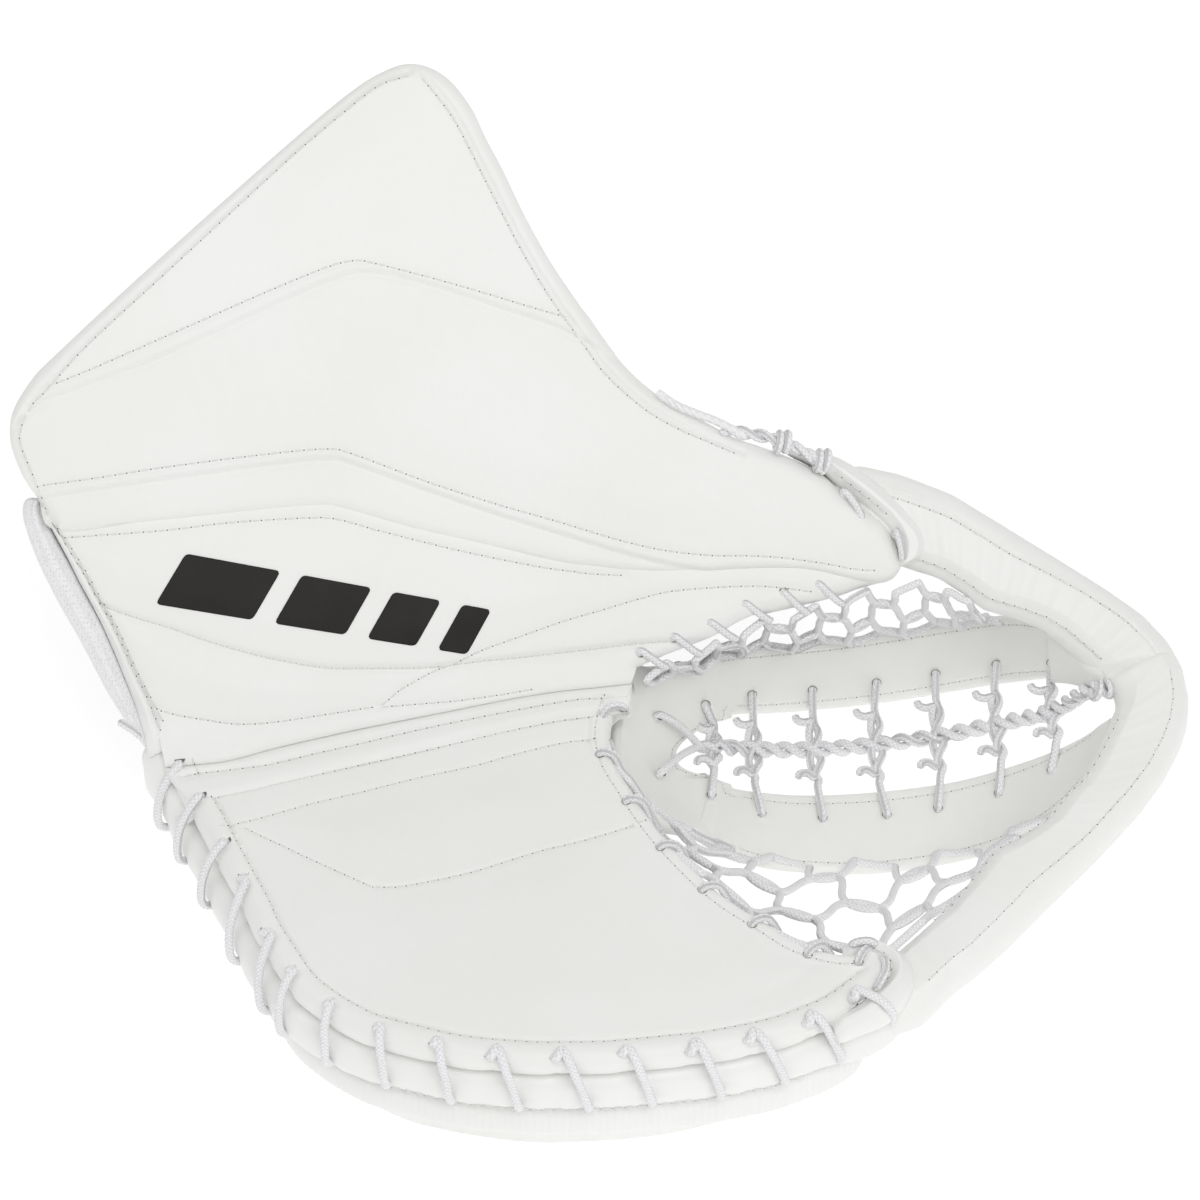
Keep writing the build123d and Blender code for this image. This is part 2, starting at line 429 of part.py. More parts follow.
board_face = on_cuff(board_poly, 0, SKIN)
top_zone = on_cuff(above(chev1), -1, SKIN + 1)
mid_zone = on_cuff(above(chev2 + [BO[45]]), -1, SKIN + 1)
NODES["cuff_top_panel"] = board_face & top_zone
NODES["cuff_mid_panel"] = (board_face - top_zone) & mid_zone
NODES["cuff_chevron_strip"] = board_face - mid_zone - top_zone
NODES["cuff_board"] = on_cuff(inset(board_poly, 2.0), -BOARD, 0)
NODES["cuff_foam"] = on_cuff(inset(board_poly, 4.0), -BOARD - FOAM, -BOARD)
NODES["cuff_lining"] = on_cuff(inset(board_poly, 3.0), -BOARD - FOAM - LINING, -BOARD - FOAM)

crease_back = [(p[0] - ay * 1.0, p[1] + ax * 1.0) for p in G["crease"]]
lens_poly = clip([G["left_edge"][0]] + list(blow) + [G["thumb_edge"][-1]] + list(reversed(G["thumb_edge"][:-1]))
                 + list(reversed(crease_back)) + list(reversed(G["left_edge"][1:])), True, 2.4)
lower_face = on_cuff(lens_poly, -SKIN - 1, 0) - on_cuff(board_poly, -SKIN - 2, 1)
lens_zone = on_cuff(above(G["lens_st"] + G["web_up_st"][7:]), -SKIN - 2, 1)
NODES["cuff_lens_panel"] = lower_face & lens_zone
NODES["thumb_web_panel"] = lower_face - lens_zone
NODES["cuff_lower_foam"] = on_cuff(inset(lens_poly, 4.0), -SKIN - 1 - FOAM, -SKIN - 1) - on_cuff(inset(board_poly, 1.0), -60, 1)
le, lo_ = G["left_edge"], G["left_out"]
NODES["cuff_side_binding"] = on_cuff(clip(list(le[:8]) + list(reversed(lo_)), True, 2.0), -9, 1.5) - on_cuff(lens_poly, -10, 3) - on_cuff(board_poly, -10, 4)
NODES["cuff_mesh_lining"] = on_cuff(clip(list(lo_[:]) + list(reversed(G["mesh_out"])), True, 2.0), -14, -2.0)
NODES["thumb_stall"] = None


def cp(p, off=0.0):
    """Plan point laid on the cuff plane at an offset."""
    s, d = sd(p)
    v = BEND_PLANE.from_local_coords(Vector(s, d / CA, off))
    return (v.X, v.Y, v.Z)


(tx0, ty0, tz0), (tx1, ty1, tz1) = THUMB_BOX
tb = Box(tx1 - tx0, ty1 - ty0, tz1 - tz0, align=(Align.MIN, Align.MIN, Align.MIN))
tc = Box(tx1 - tx0, ty1 - ty0 - 2 * THUMB_WALL, tz1 - tz0 - 2 * THUMB_WALL, align=(Align.MIN, Align.MIN, Align.MIN))
NODES["thumb_stall"] = Pos(tx0, ty0, tz0) * fillet(tb.edges().filter_by(Axis.X), 6.0) - Pos(tx0 - THUMB_WALL, ty0 + THUMB_WALL, tz0 + THUMB_WALL) * tc
# four slanted bars printed on the lens panel
NODES["cuff_mark"] = many([on_cuff(q_, 0.05, 0.5) for q_ in G["mark"]])

# ---------------------------------------------------------------- perimeter band and T pocket


def band_secs(inner, outer, n, drop0, drop1, k0=0.0, k1=1.0, sink=0.0, at_end=True):
    """Sections of the perimeter band; drop measured down from the rim skin. One end can sink under its neighbour."""
    ii, oo = resample(inner, n), resample(outer, n)
    secs = []
    d0_, d1_ = drop0, drop1
    for i_, (a_, b_) in enumerate(zip(ii, oo)):
        t_ = i_ / (n - 1) if at_end else 1 - i_ / (n - 1)
        t_ = max(0.0, (t_ - 0.55) / 0.45)
        drop0, drop1 = d0_ + sink * t_ * t_, d1_ + sink * t_ * t_
        pa = (a_[0] + (b_[0] - a_[0]) * k0, a_[1] + (b_[1] - a_[1]) * k0)
        pb = (a_[0] + (b_[0] - a_[0]) * k1, a_[1] + (b_[1] - a_[1]) * k1)
        za, zb = rim_z(*pa), rim_z(*pb)
        secs.append(((pa[0], pa[1], za - drop0), (pb[0], pb[1], zb - drop0), (pb[0], pb[1], zb - drop1), (pa[0], pa[1], za - drop1)))
    return secs


bt_in, bt_out = G["band_in_t"], G["band_out_t"]
bf_in, bf_out = G["band_in_f"], G["band_out_f"]
B1, B2, B3 = BAND_SKIN, BAND_SKIN + BAND_CORE, 2 * BAND_SKIN + BAND_CORE
t_in = [G["band_root_t"][k] for k in range(len(G["band_root_t"]))] + bt_in[:-2]
t_out = bt_out[:-1] + [tuple((u + v) / 2 for u, v in zip(bt_out[-2], bt_out[-1]))]
f_in = bf_in[2:]
f_out = bf_out[2:]
h_in = [tuple(u + (v - u) * 0.6 for u, v in zip(bt_in[-1], bf_in[0])), bf_in[0], bf_in[1], bf_in[2]]
h_out = [tuple(u + (v - u) * 0.35 for u, v in zip(bt_out[-1], bf_out[0])), bf_out[0], bf_out[1], bf_out[2]]


def cut_gap(secs, first, last):
    """Pull the end sections in along the band by the moving gap."""
    out = [list(s) for s in secs]

    def pull(a_, b_):
        return [tuple(u + (v - u) * GAP / max(math.dist(p, q), 1e-6) for u, v in zip(p, q)) for p, q in zip(a_, b_)]
    if first:
        out[0] = pull(out[0], out[1])
    if last:
        out[-1] = pull(out[-1], out[-2])
    return out


board_keep = on_cuff(board_poly, -BOARD - FOAM - LINING - 0.3, SKIN + 3)
palm_keep = NODES["palm_lower_roll"] + NODES["palm_edge_roll"] + NODES["finger_gusset"]
for nm, k0, k1, d_0, d_1 in (("skin", 0.0, 1.0, 0.0, B1), ("core", 0.0, 1.0, B1, B2), ("back", 0.0, 1.0, B2, B3)):
    NODES["band_thumb_" + nm] = strip(cut_gap(band_secs(t_in, t_out, 12, d_0, d_1, k0, k1, 11.0, False), False, True)) - board_keep
    NODES["band_finger_" + nm] = strip(cut_gap(band_secs(f_in, f_out, 11, d_0, d_1, k0, k1, 11.0), True, False)) - palm_keep
NODES["t_head"] = strip(cut_gap(band_secs(h_in, h_out, 4, 0.0, B3 - 1), True, True))

ts_i, ts_o, fs_i, fs_o = G["ts_in"], G["ts_out"], G["fs_in"], G["fs_out"]


def strap(inner, outer, t):
    secs = []
    for a_, b_ in zip(inner, outer):
        v = [b_[k] - a_[k] for k in range(3)]
        # normal of the strap, pointing away from the ball side
        n_ = (0, -v[2], v[1])
        l_ = math.hypot(n_[1], n_[2])
        sg = -1 if n_[2] > 0 else 1
        n_ = (0, sg * n_[1] / l_ * t, sg * n_[2] / l_ * t)
        secs.append((a_, b_, tuple(b_[k] + n_[k] for k in range(3)), tuple(a_[k] + n_[k] for k in range(3))))
    return secs


part_way = lambda a_, b_, f: tuple(u + (v - u) * f for u, v in zip(a_, b_))
ts_end = [part_way(ts_i[8], ts_i[9], 0.45)], [part_way(ts_o[8], ts_o[9], 0.2)]
ts = strap(ts_i[:9] + ts_end[0] + [ts_i[9]], ts_o[:9] + ts_end[1] + [ts_o[9]], STRAP_T)
fs = strap(fs_i, fs_o, STRAP_T)
NODES["t_strap_thumb"] = strip(ts[1:-1])
NODES["t_strap_finger"] = strip(fs[1:-1])
# T base: from the pocket edge down to the two straps
pe = G["pocket_edge"]
te = G["thumb_edge"]
top = [(te[1][0] + 2, te[1][1] - 6), (pe[15][0] + 6, pe[15][1] - 3), (pe[13][0] + 6, pe[13][1]), (pe[10][0] + 5, pe[10][1] + 1)]
sec0 = [(p[0], p[1], rim_z(*p) - (9.0 if i < 2 else 5.0)) for i, p in enumerate(top)]
sec1 = [ts_o[0], ts_i[0], fs_i[0], fs_o[0]]
sec2 = [ts_o[1], ts_i[1], fs_i[1], fs_o[1]]
sec2 = [tuple(u + (v - u) * 0.93 for u, v in zip(p, q)) for p, q in zip(sec1, sec2)]


def trough(sec, t):
    low = [(p[0] - 0.35 * t, p[1] + (0.55 * t if i == 0 else 0), p[2] - t * (0.75 if i == 0 else 1)) for i, p in enumerate(sec)]
    return Wire(Polyline(*(list(sec) + list(reversed(low))), close=True).edges())


def quad_strips(a_, b_, t):
    out = []
    for i in range(3):
        p = [a_[i], a_[i + 1], b_[i + 1], b_[i]]
        out.append(p)
    return out


def trough_solid(sa, sb, t):
    """Closed polyhedron between two four-point edge lines, thickened."""
    def low(sec):
        return [(p[0] - 0.3 * t, p[1] + (0.5 * t if i == 0 else 0), p[2] - t * (0.8 if i == 0 else 1)) for i, p in enumerate(sec)]
    la, lb = low(sa), low(sb)
    tris = []

    def q(a_, b_, c_, d_):
        tris.append((a_, b_, c_))
        tris.append((a_, c_, d_))
    for i in range(3):
        q(sa[i], sa[i + 1], sb[i + 1], sb[i])
        q(la[i + 1], la[i], lb[i], lb[i + 1])
        q(sa[i + 1], sa[i], la[i], la[i + 1])
        q(sb[i], sb[i + 1], lb[i + 1], lb[i])
    q(sa[0], sb[0], lb[0], la[0])
    q(sb[3], sa[3], la[3], lb[3])
    fs_ = [Face(Wire.make_polygon([Vector(*v) for v in t_], close=True)) for t_ in tris]
    return Solid(Shell(fs_))


NODES["t_base"] = trough_solid(sec0, sec1, 5.0)
NODES["t_base_yoke"] = trough_solid([tuple(u + (v - u) * 0.06 for u, v in zip(p, q)) for p, q in zip(sec1, sec2)], sec2, 5.0)
strip_poly = clip(list(G["crease"]) + [xy(sd(G["crease"][-1])[0], 1.0)], True, 1.0)
NODES["break_strip"] = on_cuff(tidy(strip_poly, 0.4), -SKIN - 1, 0)

# ---------------------------------------------------------------- wrist strap
wa = xy(150, 26)
wb = xy(76, 38)
wl = math.dist(wa, wb)
WP = Plane(origin=(wa[0], wa[1], 30.0), x_dir=(wb[0] - wa[0], wb[1] - wa[1], 0), z_dir=(0, 0, 1))
# local x runs from the anchor to the tab, local -y points away from the hand
NODES["strap_anchor"] = WP * (Pos(-6.5, 3, -1.4) * Box(12, 4, 20.6))
NODES["wrist_strap"] = WP * (Pos(wl / 2, -1.2, 4) * Box(wl, 2.4, 30))
NODES["strap_hook_patch"] = WP * (Pos(wl - 17, 0.8, 4) * Box(30, 1.6, 28))
NODES["strap_pull_tab"] = WP * (Pos(wl - 3, -3.4, 4) * Box(22, 2.0, 26))
NODES["strap_loop_patch"] = WP * (Pos(wl - 17, 2.9, 4) * Box(34, 1.6, 30))
NODES["strap_tab"] = WP * (Pos(wl - 17, 5.6, 3.6) * Box(38, 3.6, 30.8))

# wrist opening: the rim is cut down where the strap swings clear
sweep_r = wl + 14
opening = extrude(Circle(sweep_r), amount=40)
opening = WP * (Pos(0, 0, -12.3) * (opening & (Pos(-5, 0.9, 0) * Box(sweep_r + 10, sweep_r + 10, 80, align=(Align.MIN, Align.MAX, Align.CENTER)))))
for k in ("back_cover", "back_foam"):
    NODES[k] = NODES[k] - opening

# ---------------------------------------------------------------- laces
holes, ends = G["palm_holes"], G["lace_ends"]
loops = []
for h, e in zip(holes, ends):
    vx, vy = e[0] - h[0], e[1] - h[1]
    l_ = math.hypot(vx, vy)
    # outward step from the nearest rim direction
    k = min(range(len(edge)), key=lambda i: math.dist(edge[i], h))
    nb = shift_line(edge, -1.0)[k]
    ox, oy = nb[0] - edge[k][0], nb[1] - edge[k][1]
    dn = math.hypot(ox, oy)
    ox, oy = ox / dn, oy / dn
    dist_out = math.dist(edge[k], h)
    q1 = (h[0] + ox * dist_out * 0.6, h[1] + oy * dist_out * 0.6)
    q2 = (edge[k][0] + ox * 5.0 + (e[0] - h[0]) * 0.12, edge[k][1] + oy * 5.0)
    q2 = (edge[k][0] + ox * 7.0 + (e[0] - h[0]) * 0.12, edge[k][1] + oy * 7.0)
    lift_ = 3.3 if len(loops) else 1.9
    hx, hy = (h[0], h[1]) if len(loops) else (h[0] + 1.0, h[1] - 6.0)
    loops.append(lace([(hx, hy, z + lift_), (q1[0], q1[1], z + 5.2), (q2[0], q2[1], z - 5.0), (q2[0] - ox * 3.0, q2[1] - oy * 3.0, z - ROLL_UP - ROLL_LOW * 0.7)]))
NODES["palm_edge_lace"] = many(loops)

# T lacing: seven ties across the slot and one pair along it
rungs = []
for k in range(2, 9):
    a_, b_ = ts_i[k], fs_i[k]
    oa = [ts_i[k][j] + (ts_o[k][j] - ts_i[k][j]) * 0.35 for j in range(3)]
    ob = [fs_i[k][j] + (fs_o[k][j] - fs_i[k][j]) * 0.35 for j in range(3)]
    mid = [(a_[j] + b_[j]) / 2 for j in range(3)]
    rungs.append(lace([(oa[0], oa[1] - 2.6, oa[2] + 0.6), (mid[0], mid[1], mid[2] + 3.6), (ob[0], ob[1], ob[2] + 3.1)]))
NODES["t_center_lace"] = many(rungs)

# finger-side net: laces from the palm holes to the strap and band
ph = G["pocket_holes"]
net = []
tgt = [fs_o[2], fs_o[4], fs_o[5], fs_o[7], fs_o[8]]
src = ph[4:9]
for s_, t_ in zip(src, tgt):
    m = tuple(s_[j] * 0.5 + t_[j] * 0.5 for j in range(2))
    zs = z - 2.0
    g_ = 7.0 / math.dist(s_[:2], t_[:2])
    net.append(lace([(s_[0] + (t_[0] - s_[0]) * g_, s_[1] + (t_[1] - s_[1]) * g_, zs), (m[0], m[1], (zs + t_[2]) / 2 + 0.5), (t_[0], t_[1] - 2.5, t_[2] + 1.0)]))
bi = resample(bf_in[3:], 6)
for k, p in enumerate(bi[:-1]):
    q = ph[8 - (k // 2) if k < 2 else 8]
    o = fs_o[9 - k] if k < 3 else None
    if o is not None:
        g_ = 6.0 / math.dist(p[:2], o[:2])
        p = (p[0] + (o[0] - p[0]) * g_, p[1] + (o[1] - p[1]) * g_)
        net.append(lace([(p[0], p[1], rim_z(*p) - 6), ((p[0] + o[0]) / 2, (p[1] + o[1]) / 2 - 3, (rim_z(*p) + o[2]) / 2 - 6), (o[0], o[1] - 3.5, o[2] + 2.0)]))
NODES["finger_net"] = many(net)

# thumb-side net: laces from the thumb edge to the thumb strap
tn = []
th = resample(G["thumb_edge"][1:], 8)[:-1]
for k, p in enumerate(th):
    o = ts_o[1 + k]
    zp = rim_z(*p) - 7
    tn.append(lace([(p[0], p[1] - 4.5, zp), ((p[0] + o[0]) / 2, (p[1] + o[1]) / 2 - 2.0, (zp + o[2]) / 2), (o[0], o[1] - 2.0, o[2] + 2.4)]))
NODES["thumb_net"] = many(tn)

# thumb-tip lacing and the two lace tails
tl = G["thumb_loop"]
tt = []
for k in (2, 3, 4, 5):
    p = tl[k]
    w_ = G["board"][35 + k]
    tt.append(lace([(p[0], p[1], rim_z(*p) + 4.0), ((p[0] + w_[0]) / 2, (p[1] + w_[1]) / 2, rim_z(*p) + 7.5), (w_[0], w_[1], rim_z(*w_) + 6.0)]))
NODES["thumb_tip_lace"] = many(tt)
kn = G["tails"]
tail_end = (20.4, 79.6, kn[3][2] + rim_z(20.4, 79.6) - rim_z(kn[3][0], kn[3][1]))
NODES["thumb_lace_tail"] = lace([tuple(p) for p in kn[:4]] + [tail_end], say="thumb_lace_tail")
NODES["heel_lace_tail"] = lace([tuple(p) for p in kn[4:]], say="heel_lace_tail")

# thumb-tip guard: padded loop round the end of the thumb, and the finger-tip one
tlo = tl[:-1]
tin = [(p[0], p[1]) for p in resample(BO[32:41], len(tlo))]
NODES["thumb_tip_guard"] = strip([((b_[0], b_[1], rim_z(*b_) + 4.5), (a_[0], a_[1], rim_z(*a_) + 0.5), (a_[0], a_[1], rim_z(*a_) - 10), (b_[0], b_[1], rim_z(*b_) - 10))
                                  for a_, b_ in zip(tlo, [(b[0] + 0.04 * (a[0] - b[0]), b[1] + 0.04 * (a[1] - b[1])) for a, b in zip(tlo, tin)])])
NODES["thumb_tip_guard"] = NODES["thumb_tip_guard"] - on_cuff(board_poly, -30, 20)

stall_block = many([Pos(x_, y_, STALL_Z0 - 0.2) * Box(STALL_W + 0.4, STALL_BACK_Y - y_ + 0.4, 26.6, align=(Align.CENTER, Align.MIN, Align.MIN)) for x_, y_ in STALL_X])
for k in ("back_foam", "finger_gusset"):
    for b_ in stall_block.solids():
        NODES[k] = NODES[k] - b_
for k in ("band_thumb_skin", "band_thumb_core", "band_thumb_back"):
    NODES[k] = NODES[k] - NODES["thumb_tip_guard"]
for k, v in list(NODES.items()):
    if k.startswith("band") or k in ("back_foam", "finger_gusset", "thumb_tip_guard", "palm_edge_roll", "pocket_binding"):
        big = sorted(v.solids(), key=lambda q: -q.volume)
        NODES[k] = many([q for q in big if q.volume > 150]) if len(big) > 1 else big[0]

for name, shape in NODES.items():
    export_step(shape, "parts/%s.step" % name)
    bb = shape.bounding_box()
    print("%-22s %9.1f mm3 %s %s solids=%d valid=%s" % (name, shape.volume, tuple(round(v, 1) for v in bb.min), tuple(round(v, 1) for v in bb.max), len(shape.solids()), shape.is_valid))
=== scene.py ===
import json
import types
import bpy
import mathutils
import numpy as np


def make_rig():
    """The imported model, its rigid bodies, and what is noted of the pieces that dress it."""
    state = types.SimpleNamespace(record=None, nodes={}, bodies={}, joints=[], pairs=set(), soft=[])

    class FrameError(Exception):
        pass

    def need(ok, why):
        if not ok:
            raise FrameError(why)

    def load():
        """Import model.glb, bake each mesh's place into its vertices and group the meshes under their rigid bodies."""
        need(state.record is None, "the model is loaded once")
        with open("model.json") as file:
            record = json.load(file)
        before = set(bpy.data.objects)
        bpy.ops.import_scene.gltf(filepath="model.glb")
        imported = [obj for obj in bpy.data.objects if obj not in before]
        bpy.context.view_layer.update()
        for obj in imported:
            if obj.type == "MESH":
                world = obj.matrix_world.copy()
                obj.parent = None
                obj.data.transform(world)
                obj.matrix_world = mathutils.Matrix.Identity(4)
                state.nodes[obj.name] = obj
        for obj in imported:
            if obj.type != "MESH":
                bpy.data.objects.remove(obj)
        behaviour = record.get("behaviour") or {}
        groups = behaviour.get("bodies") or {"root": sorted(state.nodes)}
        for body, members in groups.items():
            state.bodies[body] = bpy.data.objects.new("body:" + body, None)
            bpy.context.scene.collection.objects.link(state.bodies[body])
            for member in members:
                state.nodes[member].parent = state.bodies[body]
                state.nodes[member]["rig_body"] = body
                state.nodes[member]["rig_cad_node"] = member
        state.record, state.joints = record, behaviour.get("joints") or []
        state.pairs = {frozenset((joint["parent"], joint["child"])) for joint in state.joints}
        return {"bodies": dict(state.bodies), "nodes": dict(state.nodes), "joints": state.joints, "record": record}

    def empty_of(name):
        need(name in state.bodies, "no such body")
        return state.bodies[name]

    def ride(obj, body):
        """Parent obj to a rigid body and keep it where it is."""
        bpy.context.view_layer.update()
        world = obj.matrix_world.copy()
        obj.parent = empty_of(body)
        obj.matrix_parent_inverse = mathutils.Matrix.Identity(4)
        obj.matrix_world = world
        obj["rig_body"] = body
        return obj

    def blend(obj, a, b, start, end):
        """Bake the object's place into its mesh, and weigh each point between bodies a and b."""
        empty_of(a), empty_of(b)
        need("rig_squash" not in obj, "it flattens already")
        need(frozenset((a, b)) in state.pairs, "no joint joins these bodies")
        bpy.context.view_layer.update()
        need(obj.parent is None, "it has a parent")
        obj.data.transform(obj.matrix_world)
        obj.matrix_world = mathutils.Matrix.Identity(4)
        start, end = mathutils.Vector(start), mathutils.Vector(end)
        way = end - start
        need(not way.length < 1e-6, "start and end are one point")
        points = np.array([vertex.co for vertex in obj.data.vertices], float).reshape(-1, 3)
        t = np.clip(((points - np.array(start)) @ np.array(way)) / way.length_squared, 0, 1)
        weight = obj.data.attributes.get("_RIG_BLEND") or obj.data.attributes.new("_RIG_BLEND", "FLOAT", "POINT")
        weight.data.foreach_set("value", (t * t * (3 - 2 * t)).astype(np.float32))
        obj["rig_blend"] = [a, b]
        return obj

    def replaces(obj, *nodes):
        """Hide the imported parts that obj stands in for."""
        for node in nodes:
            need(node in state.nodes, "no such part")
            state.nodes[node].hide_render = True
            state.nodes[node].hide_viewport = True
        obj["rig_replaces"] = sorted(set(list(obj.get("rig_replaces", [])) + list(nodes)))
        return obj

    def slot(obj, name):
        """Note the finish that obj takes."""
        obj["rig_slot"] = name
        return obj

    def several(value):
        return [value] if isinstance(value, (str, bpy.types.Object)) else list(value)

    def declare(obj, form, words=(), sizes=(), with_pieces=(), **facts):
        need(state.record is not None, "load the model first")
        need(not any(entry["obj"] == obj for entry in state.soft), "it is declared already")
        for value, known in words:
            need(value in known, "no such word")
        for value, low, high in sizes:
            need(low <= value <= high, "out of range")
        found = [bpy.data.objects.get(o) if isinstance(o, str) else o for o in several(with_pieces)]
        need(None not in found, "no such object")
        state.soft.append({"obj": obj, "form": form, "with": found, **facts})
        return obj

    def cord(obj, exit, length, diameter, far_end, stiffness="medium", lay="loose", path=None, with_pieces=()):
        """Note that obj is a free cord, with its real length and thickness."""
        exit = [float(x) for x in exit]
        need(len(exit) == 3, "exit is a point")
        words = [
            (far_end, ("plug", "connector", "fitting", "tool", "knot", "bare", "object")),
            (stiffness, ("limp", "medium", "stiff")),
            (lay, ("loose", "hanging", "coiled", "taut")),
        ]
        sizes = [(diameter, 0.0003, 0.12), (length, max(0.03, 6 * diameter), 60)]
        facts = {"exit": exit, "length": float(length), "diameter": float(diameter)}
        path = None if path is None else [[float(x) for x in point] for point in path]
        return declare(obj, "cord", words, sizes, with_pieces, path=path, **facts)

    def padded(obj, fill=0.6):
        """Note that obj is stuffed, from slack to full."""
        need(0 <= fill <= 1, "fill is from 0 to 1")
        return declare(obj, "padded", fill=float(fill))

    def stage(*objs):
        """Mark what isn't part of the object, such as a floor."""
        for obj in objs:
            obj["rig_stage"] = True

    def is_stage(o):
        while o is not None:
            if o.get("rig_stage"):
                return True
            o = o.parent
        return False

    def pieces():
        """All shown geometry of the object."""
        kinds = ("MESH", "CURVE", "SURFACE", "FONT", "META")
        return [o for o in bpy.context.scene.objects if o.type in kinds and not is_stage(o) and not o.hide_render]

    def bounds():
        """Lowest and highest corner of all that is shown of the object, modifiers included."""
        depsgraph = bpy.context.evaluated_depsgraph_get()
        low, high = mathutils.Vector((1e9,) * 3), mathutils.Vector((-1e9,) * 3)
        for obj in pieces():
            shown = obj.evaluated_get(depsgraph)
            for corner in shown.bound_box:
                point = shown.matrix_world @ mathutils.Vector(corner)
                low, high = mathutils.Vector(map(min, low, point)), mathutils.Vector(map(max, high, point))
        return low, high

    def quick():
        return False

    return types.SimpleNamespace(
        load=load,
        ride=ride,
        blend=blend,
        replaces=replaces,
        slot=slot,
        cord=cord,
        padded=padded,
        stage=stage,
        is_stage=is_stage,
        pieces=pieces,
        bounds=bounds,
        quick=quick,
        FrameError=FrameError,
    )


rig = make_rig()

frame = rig.load()
CAD_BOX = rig.bounds()

import bpy
import json
import math
import numpy as np
from mathutils import Vector
from mathutils.geometry import delaunay_2d_cdt

MM = 0.001
rng = np.random.default_rng(7)
PALM_Z = 76.0
BEND_A = np.array((-162.45, -34.05))
BEND_B = np.array((223.20, 21.73))
BDIR = (BEND_B - BEND_A) / np.linalg.norm(BEND_B - BEND_A)
TA = math.tan(math.radians(42.0))
SX = -1.00

